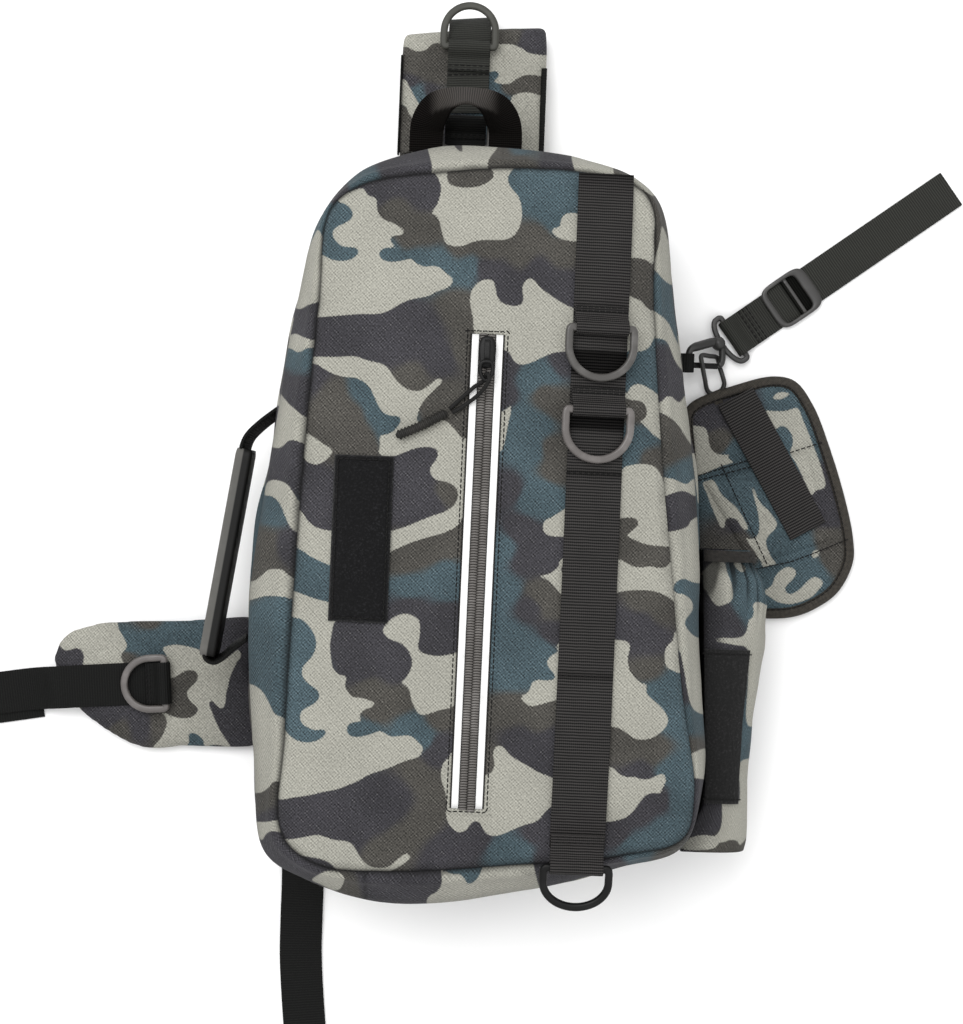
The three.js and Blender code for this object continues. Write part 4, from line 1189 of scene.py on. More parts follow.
STRAP_LIGHT: list[Table] = [
    [(398, 25), (420, 22), (446, 20), (446, 42), (441, 43.5), (436, 43), (431, 45), (427, 49), (422, 51),
     (416, 51), (411, 49), (408, 47), (396, 46)],
    [(484, 50), (492, 46.5), (498, 44.5), (506, 44), (514, 45), (521, 48), (527, 52), (533, 54),
     (541, 55), (552, 57), (552, 76), (541, 76), (533, 75), (526, 75), (520, 77), (515, 80), (510, 83.5),
     (503, 84), (497, 83), (494, 81), (497, 78), (499, 74), (497, 71.5), (492, 71.5), (484, 74)],
    [(396, 80), (405, 80), (408, 84), (411, 90), (415, 97), (419, 104), (423, 109), (426, 111),
     (423, 116), (418, 119), (413, 118), (409, 113), (406, 107), (396, 100)],
    [(503, 111), (507, 109), (510, 104), (512, 97), (517, 94), (524, 92.5), (532, 93), (538, 95),
     (552, 97), (552, 160), (521, 160), (517, 138), (512, 125), (507, 115)],
]
WING_LIGHT: list[Table] = [
    [(56, 640), (68, 631), (85, 621), (100, 616), (117, 615), (118, 626), (121, 633), (125, 640),
     (127, 646), (124, 651), (121, 655), (122, 660), (125, 666), (84, 666), (84, 657), (82, 651),
     (77, 648), (70, 650), (64, 650), (60, 646)],
    [(163, 648), (172, 645), (180, 645), (190, 647), (200, 650), (208, 655), (216, 660), (224, 660),
     (232, 654), (238, 650), (241, 656), (237, 662), (233, 670), (230, 677), (228, 686), (226, 694),
     (225, 704), (222, 708.5), (217, 706), (212, 701), (209, 703), (212, 712), (216, 722), (221, 732),
     (227, 741), (231, 748), (226, 747), (219, 745), (212, 745), (205, 747), (203, 740), (198, 735),
     (193, 733), (189, 734), (189, 742), (186, 748), (182, 758), (148, 758), (155, 745), (161, 738),
     (165, 730), (167, 722), (164, 715), (160, 712), (166, 713), (172, 716), (180, 718), (188, 718),
     (195, 715), (198, 710), (196, 706), (191, 702), (188, 697), (187, 692), (190, 688), (195, 683),
     (198, 677), (196, 672), (191, 670), (185, 671), (178, 675), (172, 678), (168, 676), (170, 668),
     (168, 660), (166, 655)],
    [(66, 706), (78, 705), (82, 712), (84, 722), (77, 720), (71, 712)],
]
POUCH_LIGHT: list[Table] = [
    [(688, 427), (700, 426.5), (705, 428), (708, 435), (709, 443), (712, 450), (718, 454), (724, 455),
     (729, 455), (728, 458), (733, 462), (722, 466), (712, 470), (703, 474), (692, 476)],
    [(765, 411), (772, 411), (785, 411), (797, 408), (800, 412), (803, 420), (808, 432), (813, 445),
     (818, 458), (822, 470), (825, 487), (815, 491), (812, 495), (805, 482), (797, 465), (790, 452),
     (792, 447), (793, 440), (791, 433), (787, 428), (781, 426), (776, 429), (771, 423)],
    [(773, 398), (776, 394), (782, 392), (789, 394), (784, 398), (778, 399.5)],
    [(703, 483), (707, 481), (713, 480), (716, 484), (719, 490), (723, 496), (729, 501), (735, 506),
     (739, 511), (743, 517), (746, 523), (748, 528), (745, 530), (741, 526), (737, 520), (733, 518),
     (728, 518), (725, 522), (724, 528), (721, 527), (716, 517), (711, 505), (707, 494)],
    [(752, 487), (755, 491), (758, 499), (762, 505), (768, 510), (774, 518), (777, 524), (774, 530),
     (769, 535), (766, 541), (768, 550), (772, 558), (776, 564), (770, 565), (764, 567), (760, 560),
     (755, 552), (750, 545), (746, 538), (750, 539), (756, 537), (759, 531), (759, 520), (757, 508),
     (754, 497)],
    [(812, 553), (816, 550), (819, 551), (818, 556), (813, 558)],
    [(775, 577), (781, 570), (788, 567), (794, 569), (796, 574), (792, 580), (787, 585), (785, 590),
     (789, 594), (796, 592), (802, 587), (808, 581), (814, 577), (820, 579), (823, 583), (819, 589),
     (813, 596), (803, 601), (790, 604), (778, 602), (770, 597), (764, 592), (767, 589), (772, 585)],
]
POCKET_LIGHT: list[Table] = [
    [(698, 578), (704, 570), (711, 563), (718, 558), (724, 561), (727, 572), (731, 582), (733, 592),
     (732, 600), (726, 604), (718, 606), (713, 602), (708, 594), (703, 587)],
    [(733, 562), (740, 563), (746, 569), (742, 572), (736, 568)],
    [(753, 604), (758, 602), (764, 604), (772, 609), (776, 618), (776, 640), (768, 690), (760, 722),
     (748, 726), (748, 680), (747, 648), (735, 645), (720, 642), (712, 640), (722, 638), (735, 638),
     (743, 636), (747, 630), (749, 620), (752, 618), (754, 612)],
    [(740, 762), (756, 760), (756, 800), (750, 830), (740, 845), (737, 841), (730, 840), (724, 842),
     (719, 843), (715, 848), (680, 848), (690, 838), (705, 835), (715, 836), (720, 830), (722, 820),
     (722, 805), (722, 801), (738, 803), (740, 790)],
]


class Tone(Enum):
    """The print's dark colours."""

    TEAL = 0
    OLIVE = 1
    NAVY = 2


# Where each dark colour is strongest, in image pixels.
FRONT_TONES: dict[Tone, Table] = {
    Tone.TEAL: [
        (330, 215), (340, 250), (390, 255), (415, 257), (440, 262), (470, 268), (525, 185), (550, 180),
        (550, 205), (553, 222), (365, 390), (378, 408), (390, 425), (312, 572), (320, 588), (447, 575),
        (410, 590), (450, 592), (300, 640), (305, 690), (290, 660), (310, 735), (290, 715), (370, 728),
        (410, 727), (425, 740), (530, 380), (548, 374), (520, 420), (540, 425), (535, 450), (530, 500),
        (545, 495), (505, 548), (505, 590), (512, 640), (540, 650), (510, 672), (520, 660), (650, 375),
        (640, 372), (645, 440), (632, 450), (670, 690), (672, 715), (655, 690), (670, 770), (678, 800),
        (665, 830), (630, 845), (520, 857), (497, 850), (525, 845), (650, 845),
    ],
    Tone.OLIVE: [
        (470, 178), (395, 210), (425, 230), (410, 240), (460, 245), (490, 250), (540, 235), (560, 255),
        (520, 255), (460, 310), (466, 350), (410, 375), (445, 398), (460, 425), (330, 395), (325, 428),
        (350, 415), (360, 440), (448, 492), (430, 548), (405, 558), (455, 545), (370, 690), (400, 700),
        (375, 715), (440, 718), (430, 780), (425, 820), (380, 855), (400, 840), (545, 395), (555, 405),
        (550, 448), (555, 470), (540, 595), (552, 610), (510, 710), (540, 720), (635, 285), (640, 410),
        (650, 456), (628, 525), (640, 553), (660, 556), (640, 605), (660, 610), (650, 672), (630, 750),
        (655, 752), (490, 765), (420, 770),
    ],
    Tone.NAVY: [
        (400, 180), (425, 195), (380, 190), (350, 330), (330, 345), (400, 330), (420, 330), (440, 360),
        (400, 350), (370, 335), (500, 275), (512, 295), (560, 285), (540, 270), (485, 268), (310, 490),
        (318, 515), (420, 470), (405, 500), (430, 505), (415, 458), (410, 606), (440, 630), (430, 645),
        (450, 612), (350, 640), (385, 655), (360, 668), (395, 668), (440, 745), (432, 757), (300, 815),
        (340, 820), (395, 798), (380, 815), (350, 830), (450, 850), (480, 840), (445, 862), (505, 395),
        (560, 365), (510, 490), (520, 530), (545, 552), (525, 560), (530, 608), (552, 632), (520, 742),
        (550, 742), (545, 765), (650, 640), (625, 625), (640, 620), (640, 772), (640, 812), (620, 835),
        (660, 800), (530, 838), (545, 860), (300, 858), (320, 866), (505, 365), (312, 380),
    ],
}
GUSSET_TONES: dict[Tone, Table] = {
    Tone.TEAL: [
        (360, 180), (325, 215), (295, 360), (272, 510), (275, 620), (262, 660), (280, 690), (665, 300),
        (682, 468), (687, 588), (690, 625), (675, 330), (690, 730), (470, 880), (520, 150), (640, 862),
    ],
    Tone.OLIVE: [
        (265, 545), (258, 565), (260, 805), (520, 160), (500, 158), (625, 172), (656, 220), (670, 440),
        (675, 455), (690, 742), (656, 240), (655, 870), (350, 890), (250, 560),
    ],
    Tone.NAVY: [
        (300, 325), (285, 385), (295, 395), (290, 460), (280, 470), (288, 545), (270, 845), (300, 860),
        (400, 885), (420, 885), (370, 885), (400, 165), (420, 160), (555, 160), (672, 360), (675, 385),
        (680, 510), (672, 515), (682, 680), (692, 790), (335, 190), (560, 880), (620, 875), (265, 820),
    ],
}
STRAP_TONES: dict[Tone, Table] = {
    Tone.TEAL: [(418, 92), (425, 105), (492, 78), (495, 95), (503, 103), (470, 95)],
    Tone.OLIVE: [
        (425, 62), (435, 75), (415, 70), (530, 85), (508, 88), (405, 120), (408, 140), (515, 38),
        (470, 60),
    ],
    Tone.NAVY: [(412, 80), (540, 42), (430, 90), (525, 42), (460, 130)],
}
WING_TONES: dict[Tone, Table] = {
    Tone.TEAL: [(180, 630), (150, 638), (196, 742), (165, 640), (130, 648)],
    Tone.OLIVE: [(150, 622), (185, 680), (180, 705), (160, 725), (120, 730), (128, 656)],
    Tone.NAVY: [
        (66, 658), (230, 630), (110, 715), (140, 725), (215, 715), (235, 700), (235, 740), (95, 712),
    ],
}
POUCH_TONES: dict[Tone, Table] = {
    Tone.TEAL: [
        (735, 453), (790, 402), (730, 487), (750, 500), (755, 522), (780, 545), (790, 582), (765, 580),
        (800, 550), (786, 435), (815, 572), (740, 480),
    ],
    Tone.OLIVE: [(720, 442), (745, 552), (830, 540), (832, 560), (735, 535)],
    Tone.NAVY: [(710, 415), (735, 530), (820, 500), (830, 515), (700, 410), (740, 420)],
}
POCKET_TONES: dict[Tone, Table] = {
    Tone.TEAL: [(740, 580), (750, 592), (752, 740), (745, 605)],
    Tone.OLIVE: [(740, 852), (730, 848), (700, 700)],
    Tone.NAVY: [(725, 620), (705, 625), (715, 610), (710, 815), (700, 805), (705, 570)],
}


@dataclass(frozen=True)
class CamoChart:
    """A printed camouflage: light patches, and where each dark colour is strongest, in image pixels.

    Attributes:
        light: closed lines round the light patches.
        tones: the strongest spots of each dark colour.
        reach: how far from a patch's edge its distance is still measured.
        spread: how softly the dark colours run into each other.
        finer: points drawn between two charted points.
    """

    light: list[Table]
    tones: dict[Tone, Table]
    reach: float = 12.0
    spread: float = 9.0
    finer: int = 4

    def depth(self, pixels: Points) -> Points:
        """How far inside a light patch each pixel lies, negative outside."""
        depth = np.full(len(pixels), -self.reach)
        for rows in self.light:
            line = smooth_line(rows, len(rows) * self.finer, closed=True)
            low, high = line.min(axis=0) - self.reach, line.max(axis=0) + self.reach
            near = np.nonzero(np.all((pixels > low) & (pixels < high), axis=1))[0]
            for some in np.array_split(near, max(1, len(near) // 4000)):
                depth[some] = np.maximum(depth[some], self.inside(pixels[some], line))
        return depth

    @staticmethod
    def inside(pixels: Points, line: Points) -> Points:
        """The distance to a closed line, positive inside it.

        Args:
            pixels: n x 2 pixels.
            line: the closed line's points.

        Returns:
            One signed distance for each pixel.
        """
        start, end = line, np.roll(line, -1, axis=0)
        run = end - start
        away = pixels[:, None, :] - start[None]
        share = np.clip((away * run).sum(axis=2) / np.maximum((run**2).sum(axis=1), 1e-9), 0, 1)
        far = np.linalg.norm(away - share[..., None] * run, axis=2).min(axis=1)
        y = pixels[:, 1:2]
        crosses = (start[:, 1] > y) != (end[:, 1] > y)
        slope = np.where(np.abs(run[:, 1]) < 1e-9, 1e-9, run[:, 1])
        at = start[:, 0] + (y - start[:, 1]) / slope * run[:, 0]
        odd = (crosses & (pixels[:, :1] < at)).sum(axis=1) % 2
        return np.where(odd == 1, far, -far)

    def shares(self, pixels: Points) -> Points:
        """The olive and navy shares of the dark colour at each pixel.

        Args:
            pixels: n x 2 pixels.

        Returns:
            n x 3 shares: olive against teal, navy against both, and a spare zero.
        """
        weight = {}
        for tone, rows in self.tones.items():
            spots_of = np.asarray(rows, float)
            far = np.linalg.norm(pixels[:, None, :] - spots_of[None], axis=2)
            weight[tone] = (1 / (far + self.spread) ** 4).sum(axis=1)
        total = sum(weight.values())
        olive = weight[Tone.OLIVE] / (weight[Tone.OLIVE] + weight[Tone.TEAL])
        navy = weight[Tone.NAVY] / total
        return np.stack([ease(olive, 0.25, 0.75), ease(navy, 0.2, 0.7), np.zeros(len(pixels))], axis=1)

    def paint(self, mesh: Mesh, pixels: Points | None = None) -> None:
        """Writes the print's fields on a mesh.

        Args:
            mesh: the cloth.
            pixels: each point's place on the chart, or none where the photograph's own pixel is meant.
        """
        if pixels is None:
            pixels = PHOTO.pixels(spots(mesh))
        light = mesh.attributes.new("light", "FLOAT", "POINT")
        light.data.foreach_set("value", self.depth(pixels).astype(np.float32))
        tone = mesh.attributes.new("tone", "FLOAT_VECTOR", "POINT")
        tone.data.foreach_set("vector", self.shares(pixels).astype(np.float32).ravel())


FRONT_PRINT = CamoChart(FRONT_LIGHT, FRONT_TONES)
GUSSET_PRINT = CamoChart(GUSSET_LIGHT, GUSSET_TONES)
STRAP_PRINT = CamoChart(STRAP_LIGHT, STRAP_TONES)
WING_PRINT = CamoChart(WING_LIGHT, WING_TONES)
POUCH_PRINT = CamoChart(POUCH_LIGHT, POUCH_TONES)
POCKET_PRINT = CamoChart(POCKET_LIGHT, POCKET_TONES)


@dataclass
class BagShape:
    """The bag's own form: the front seam, the widest outline, and the domed front between them.

    Attributes:
        stations: rows of seam x, seam y, widest x, widest y, clockwise from the top.
        rear_rows: rows of height and spread for the rear lobe, from the seam at 0 to the widest at 1.
        front_rows: the same for the front lobe.
        uneven: how much the front's cloth rolls below the dome.
        roll_wave: how long those rolls are.
        columns: points round the bag.
    """

    stations: Table = (
        (7.5, 194.6, 7, 212.6), (52, 194.3, 55, 207.6), (80, 189, 82, 198.6), (91, 178, 99, 182),
        (94, 126, 110, 122), (101, 50, 122, 58), (109, -16, 129.5, -5), (118, -86, 133, -80),
        (127, -142, 136, -140), (122, -166, 124, -177), (87, -177, 90, -189.4), (30, -184.5, 35, -206.8),
        (-35, -190.5, -40, -215.6),
        (-78, -188, -86, -203), (-97, -172, -110, -188.5), (-97.5, -120, -119.5, -130), (-96, -50, -126, -50),
        (-93, 35, -117, 38), (-88, 120, -104, 122), (-84, 168, -93, 166), (-66, 183, -70.4, 195.5),
        (-25, 191, -30, 211.4),
    )
    rear_rows: Table = ((3, 0.8), (12, 0.96), (30, 1.03), (58, 1.03), (74, 0.95), (82.8, 0.8))
    front_rows: Table = ((83.1, 0.8), (90, 0.88), (98, 0.89), (107, 0.7), (115, 0.38), (121.5, 0))
    seam_z: float = 121.8
    cloth: float = 2.5
    rise: float = 13.5
    power: float = 3.2
    centre: tuple[float, float] = (12.0, 0.0)
    uneven: float = 0.9
    roll_wave: float = 70.0
    columns: int = 640
    seam: Points = field(init=False)
    wide: Points = field(init=False)

    def __post_init__(self) -> None:
        """Draws the two outlines, and the seam's distance from the centre at each angle."""
        table = np.asarray(self.stations, float)
        self.seam = smooth_line(table[:, :2], self.columns, closed=True)
        self.wide = smooth_line(table[:, 2:], self.columns, closed=True)
        away = smooth_line(table[:, :2], 4 * self.columns, closed=True) - self.centre
        angle = np.arctan2(away[:, 1], away[:, 0])
        order = np.argsort(angle)
        self._angle = angle[order]
        self._far = np.linalg.norm(away, axis=1)[order]

    def share(self, x: Points, y: Points) -> Points:
        """How far points lie from the front's centre, as a share of the way to the seam."""
        away_x, away_y = np.asarray(x, float) - self.centre[0], np.asarray(y, float) - self.centre[1]
        far = np.interp(np.arctan2(away_y, away_x), self._angle, self._far, period=2 * np.pi)
        return np.hypot(away_x, away_y) / far

    def front(self, x: Points, y: Points) -> Points:
        """The height of the domed front."""
        return self.seam_z + self.cloth + self.rise * (1 - np.clip(self.share(x, y), 0, 1.04) ** self.power)

    def cloth_top(self, x: Points, y: Points) -> Points:
        """The height of the front's own cloth, which rolls a little below the dome."""
        return self.front(x, y) + self.uneven * (0.5 * ripple(x, y, self.roll_wave, Seed.DOME) - 0.5)

    def on_front(self, x: Points, y: Points, lift: Points | float = 0.0) -> Points:
        """Points on the domed front, lifted off it."""
        return np.stack([x, y, self.front(x, y) + lift], axis=-1)

    def ring(self, spread: float, z: float, inset: float = 0.0) -> Points:
        """The bag's outline at a spread and height, moved in by an inset."""
        flat = self.seam + (self.wide - self.seam) * spread
        along = unit(np.roll(flat, -1, axis=0) - np.roll(flat, 1, axis=0))
        flat = flat + np.stack([along[:, 1], -along[:, 0]], axis=1) * inset
        return np.column_stack([flat, np.full(len(flat), z)])


@dataclass(frozen=True)
class ZipSlot:
    """The front zip's slot in the panel: its ends, its middle at each end and its half width."""

    top: float = 103.0
    bottom: float = -154.0
    top_x: float = 4.6
    bottom_x: float = 3.4
    half: float = 9.5
    depth: float = 3.0
    fold: float = 1.6

    def middle(self, y: Points) -> Points:
        """The slot's middle at a height of the bag."""
        return self.top_x + (self.bottom_x - self.top_x) * (self.top - y) / (self.top - self.bottom)

    def recess(self, x: Points, y: Points) -> Points:
        """How far the panel is sunk at points, with a short fold round the slot."""
        beside = 1 - ease(np.abs(x - self.middle(y)), self.half, self.half + self.fold)
        above = 1 - ease(y, self.top, self.top + self.fold)
        below = 1 - ease(self.bottom - y, 0, self.fold)
        return self.depth * beside * above * below


@dataclass
class BagBody:
    """The domed front panel, the two lobes behind it and the padded back.

    Attributes:
        groove: how deep the front seam is drawn in.
        groove_width: how wide that groove is on the panel.
        panel_rows: rings of the panel's points: first and last share of the way to the seam, and count.
        under_rows: the rings that the panel's plain underside is made from.
        pucker: the panel's puckers beside the seam: their height, length and reach.
        corner: the folds at the lower right: their height and length.
        corner_span: where those start and are full, downwards and to the right.
        roll: the front lobe's roll beside the seam: its height, place and width.
        lobe_pucker: the front lobe's puckers: their height, length and reach.
        tuck: how deep the front lobe is tucked under the panel, and how far out.
        rear_pucker: the height and length of the rear lobe's puckers.
        turns: how often the rear lobe's print runs up or down the chart.
        fold: how much the lobes' cloth folds.
        draw: how far the front lobe is drawn in between its folds.
        cross_seam: a short seam across the bottom of the front lobe, drawn only as a thin line of painted
            shade: image x, and the image y it starts at.
        wave: the folds' usual length.
        print_height: the chart's rows that the rear lobe's print runs up and down over.
        print_start: the chart's column at the rear lobe's upper edge.
        pixel: an image pixel on the cloth in millimetres.
        back_rows: rows of height and inset of the back panel.
        back_gap: how far the back lies inside the rear lobe's cloth.
        padding: how the back swells.
        channels: the back's sewn channels across it.
        channel_span: the heights that a channel fades out over.
    """

    shape: BagShape
    slot: ZipSlot
    finishes: Finishes
    groove: float = 2.6
    groove_width: float = 5.0
    panel_rows: Table = ((0.004, 0.94, 96), (0.946, 1.0, 16))
    under_rows: Sequence[int] = (-1, -14, -50, 0)
    pucker: tuple[float, float, float] = (0.5, 16.0, 14.0)
    corner: tuple[float, float] = (2.0, 46.0)
    corner_span: Table = ((120.0, 175.0), (40.0, 90.0))
    roll: tuple[float, float, float] = (1.4, 6.0, 4.0)
    lobe_pucker: tuple[float, float, float] = (0.7, 15.0, 10.0)
    tuck: float = 1.8
    rear_pucker: tuple[float, float] = (0.6, 17.0)
    turns: int = 4
    fold: float = 1.5
    draw: float = 1.2
    wave: float = 60.0
    cross_seam: tuple[float, float] = (365.0, 872.0)
    print_height: tuple[float, float] = (200.0, 830.0)
    print_start: float = 300.0
    pixel: float = 0.55
    back_rows: Table = ((1.2, 7), (2.6, 1.5), (6.6, 1.5), (8, 7))
    channels: Sequence[float] = (-105.0, 5.0, 110.0)
    channel_depth: float = 2.2
    channel_width: float = 5.0
    channel_span: tuple[float, float] = (5.0, 2.0)
    back_gap: float = 0.4
    padding: Padding = Padding(voxel=5.0, cap=2.0, floor=0.1)

    def front_panel(self) -> None:
        """The front panel: a domed cloth with a drawn-in seam, closed by a plain underside."""
        shape = self.shape
        shares = np.concatenate([np.linspace(*row) for row in self.panel_rows])
        centre = np.array(shape.centre)
        flat = centre + (shape.seam - centre)[None] * shares[:, None, None]
        x, y = flat[..., 0], flat[..., 1]
        gap = (1 - shares[:, None]) * np.linalg.norm(shape.seam - centre, axis=1)[None]
        high, wave, reach = self.pucker
        pucker = high * ripple(x, y, wave, Seed.PANEL_PUCKER) * np.exp(-gap / reach)
        mark = self.seam_mark()
        sunk = self.groove * (0.6 + 0.6 * mark) * (1 - ease(gap, 0.0, self.groove_width))
        high, wave = self.corner
        down, right = self.corner_span
        corner = high * ripple(x, y, wave, Seed.CORNER) * ease(-y, *down) * ease(x, *right)
        sunk = sunk + self.slot.recess(x, y)
        top = np.stack([x, y, shape.cloth_top(x, y) + pucker + corner - sunk], axis=2)
        # Painted shade: darker along the drawn-in seam, in the lower right folds and in the puckers' hollows.
        crease = mark * np.exp(-((gap / 1.3) ** 2)) + 0.45 * ease(-corner, 0.2, 1.6)
        crease = crease + 0.12 * ease(-pucker, 0.1, 0.5)
        under = top[list(self.under_rows)] - UP * shape.cloth
        points = np.concatenate([top, under])
        weave = np.concatenate([points, points[:, :1]], axis=1)[..., :2]
        mesh = Lattice(points, weave=weave).mesh("front_panel_cloth")
        shade(mesh, np.concatenate([crease, np.zeros(under.shape[:2])]))
        FRONT_PRINT.paint(mesh)
        piece("front_panel_cloth", mesh, self.finishes.camo, ["front_panel"])

    def seam_mark(self) -> Points:
        """How deep the front seam is, and how strong its painted shade, at each column: strong all round but
        at the right.
        """
        side = unit(self.shape.seam - np.array(self.shape.centre))[:, 0]
        return 0.95 - 0.6 * ease(side, 0.3, 0.8)

    def lobe(self, rows: Table, count: int) -> tuple[Points, Points, Points]:
        """A lobe's outer cloth.

        Args:
            rows: its rows of height and spread, from below.
            count: how many rows of points it gets.

        Returns:
            The points, and each row's distance down the cloth, and each column's along it.
        """
        table = smooth_line(np.asarray(rows, float)[::-1] * (1, 60), count) / (1, 60)
        points = np.stack([self.shape.ring(spread, z) for z, spread in table])
        down = lengths(points[:, 0])
        along = lengths(np.vstack([points[0], points[0][:1]]))
        return points, down, along

    def closed_lobe(self, name: str, points: Points, down: Points, along: Points) -> Mesh:
        """A lobe's mesh: its outer cloth and a plain inner face.

        Args:
            name: the mesh's name.
            points: the outer cloth.
            down: each row's distance down the cloth.
            along: each column's distance along it.

        Returns:
            The closed mesh, with the weave along the lobe.
        """
        inner = points[[-1, -len(points) // 2, 0]].copy()
        out = unit(inner[:, :, :2] - np.array(self.shape.centre))
        inner[:, :, :2] -= out * self.shape.cloth
        drop = np.concatenate([down, down[[-1, -len(down) // 2, 0]] + self.shape.cloth, [0.0]])
        weave = np.stack(np.meshgrid(along, drop), axis=2)
        return Lattice(np.concatenate([points, inner]), wrap_rows=True, weave=weave).mesh(name)

    def front_lobe(self) -> None:
        """The front lobe, rolled over beside the front seam."""
        points, down, along = self.lobe(self.shape.front_rows, 34)
        step, place = np.meshgrid(down, along[:-1], indexing="ij")
        out = unit(points[:, :, :2] - np.array(self.shape.centre))
        high, middle, width = self.roll
        roll = high * np.exp(-((step - middle) / width) ** 2)
        fold = self.fold * 0.7 * ripple(place, step * 2.5, self.wave, Seed.LOBE_FOLD)
        fold = (np.minimum(fold, 0) - self.draw) * ease(step, 4, 18)
        high, wave, reach = self.lobe_pucker
        pucker = high * ripple(place, step, wave, Seed.LOBE_PUCKER) * np.exp(-step / reach) * ease(step, 0, 3)
        points[:, :, :2] += out * (0.5 * roll + fold + pucker)[..., None]
        points[:, :, 2] += roll + 0.4 * pucker - self.tuck * np.exp(-((step / self.tuck) ** 2))
        mesh = self.closed_lobe("front_lobe_cloth", points, down, along)
        seen = PHOTO.pixels(spots(mesh))
        seam_x, seam_y = self.cross_seam
        # Painted shade: along the seam, darker towards the lobe's outer edge, in the puckers' hollows and
        # along the short cross seam.
        crease = self.seam_mark() * np.exp(-((step / 2.0) ** 2)) + 0.4 * ease(step, 14, 34)
        crease = crease + 0.15 * ease(-pucker, 0.1, 0.6)
        crease = np.concatenate([crease, np.zeros((3, len(along) - 1))]).ravel()
        across = np.exp(-(((seen[:, 0] - seam_x) / 1.6) ** 2)) * (seen[:, 1] > seam_y)
        shade(mesh, crease + 0.7 * across)
        GUSSET_PRINT.paint(mesh, seen)
        piece("front_lobe_cloth", mesh, self.finishes.camo, ["front_gusset"])

    def rear_lobe(self) -> None:
        """The rear lobe, with the print running up and down the chart as the cloth goes round the bag."""
        points, down, along = self.lobe(self.shape.rear_rows, 56)
        step, place = np.meshgrid(down, along[:-1], indexing="ij")
        out = unit(points[:, :, :2] - np.array(self.shape.centre))
        free = ease(step, 0, 14) * ease(down[-1] - step, 0, 14)
        high, wave = self.rear_pucker
        fold = (self.fold * ripple(place, step * 1.6, self.wave * 1.2, Seed.REAR_FOLD) - high) * free
        pucker = high * ripple(place, step * 0.5, wave, Seed.REAR_PUCKER) * (1 - free)
        points[:, :, :2] += out * (fold + pucker)[..., None]
        mesh = self.closed_lobe("rear_lobe_cloth", points, down, along)
        # Painted shade: in the valley beside the front lobe and in the folds' hollows.
        crease = 0.55 * np.exp(-((step / 7) ** 2)) + 0.2 * ease(-fold, 0.3, 1.8)
        shade(mesh, np.concatenate([crease, np.zeros((3, len(along) - 1))]))
        low, high = self.print_height
        share = np.abs((place / along[-1] * self.turns) % 2 - 1)
        chart = np.stack([self.print_start + step / self.pixel, low + (high - low) * share], axis=2)
        inner = np.concatenate([chart, chart[[-1, -len(chart) // 2, 0]]])
        FRONT_PRINT.paint(mesh, inner.reshape(-1, 2))
        piece("rear_lobe_cloth", mesh, self.finishes.camo, ["rear_gusset"])

    def back_panel(self) -> None:
        """The padded back, swollen and then drawn in along its sewn channels."""
        inset = self.shape.cloth + self.back_gap
        spread = self.shape.rear_rows[0][1]
        rings = [self.shape.ring(spread, z, inset + more)[::4] for z, more in self.back_rows]
        mesh = self.padding.puffed(Lattice(np.stack(rings)).mesh("back_padding"))
        points = spots(mesh)
        high, full = self.channel_span
        for place in self.channels:
            near = np.exp(-(((points[:, 1] - place) / self.channel_width) ** 2))
            low = ease(-points[:, 2], -high, -full)
            points[:, 2] += self.channel_depth * near * low
        move_spots(mesh, points)
        made = piece("back_padding", mesh, self.finishes.back, ["back_panel"])

    def build(self) -> None:
        """Builds the body's pieces."""
        self.front_panel()
        self.front_lobe()
        self.rear_lobe()
        self.back_panel()


@dataclass
class Stitching:
    """Thread stitches at an even pitch along lines.

    Attributes:
        length: one stitch's length.
        pitch: the distance from stitch to stitch.
        radius: the thread's radius.
    """

    length: float = 2.3
    pitch: float = 3.1
    radius: float = 0.34
    tree: Tree = field(default_factory=repeat_tree)

    def unit_mesh(self) -> Mesh:
        """One stitch, along X, dipping into the cloth at its ends."""
        where = np.linspace(-0.5, 0.5, 6)
        path = np.stack([where * self.length, 0 * where, self.radius * (0.5 - 6 * where**2)], axis=1)
        return bar("stitch", path, round_section(self.radius, 6))

    def sew(
        self, name: str, lines: Iterable[Points], thread: Material, body: str = ROOT_BODY
    ) -> bpy.types.Object:
        """Sews along lines.

        Args:
            name: the piece's name.
            lines: open lines on the cloth.
            thread: the thread's finish.
            body: the body that the stitches move with.

        Returns:
            The stitches as one piece.
        """
        values = {"Pitch": self.pitch * MM, "Finish": thread}
        mesh = run_tree(name, line_mesh(lines), self.tree, self.unit_mesh(), values)
        return piece(name, mesh, thread, (), body)


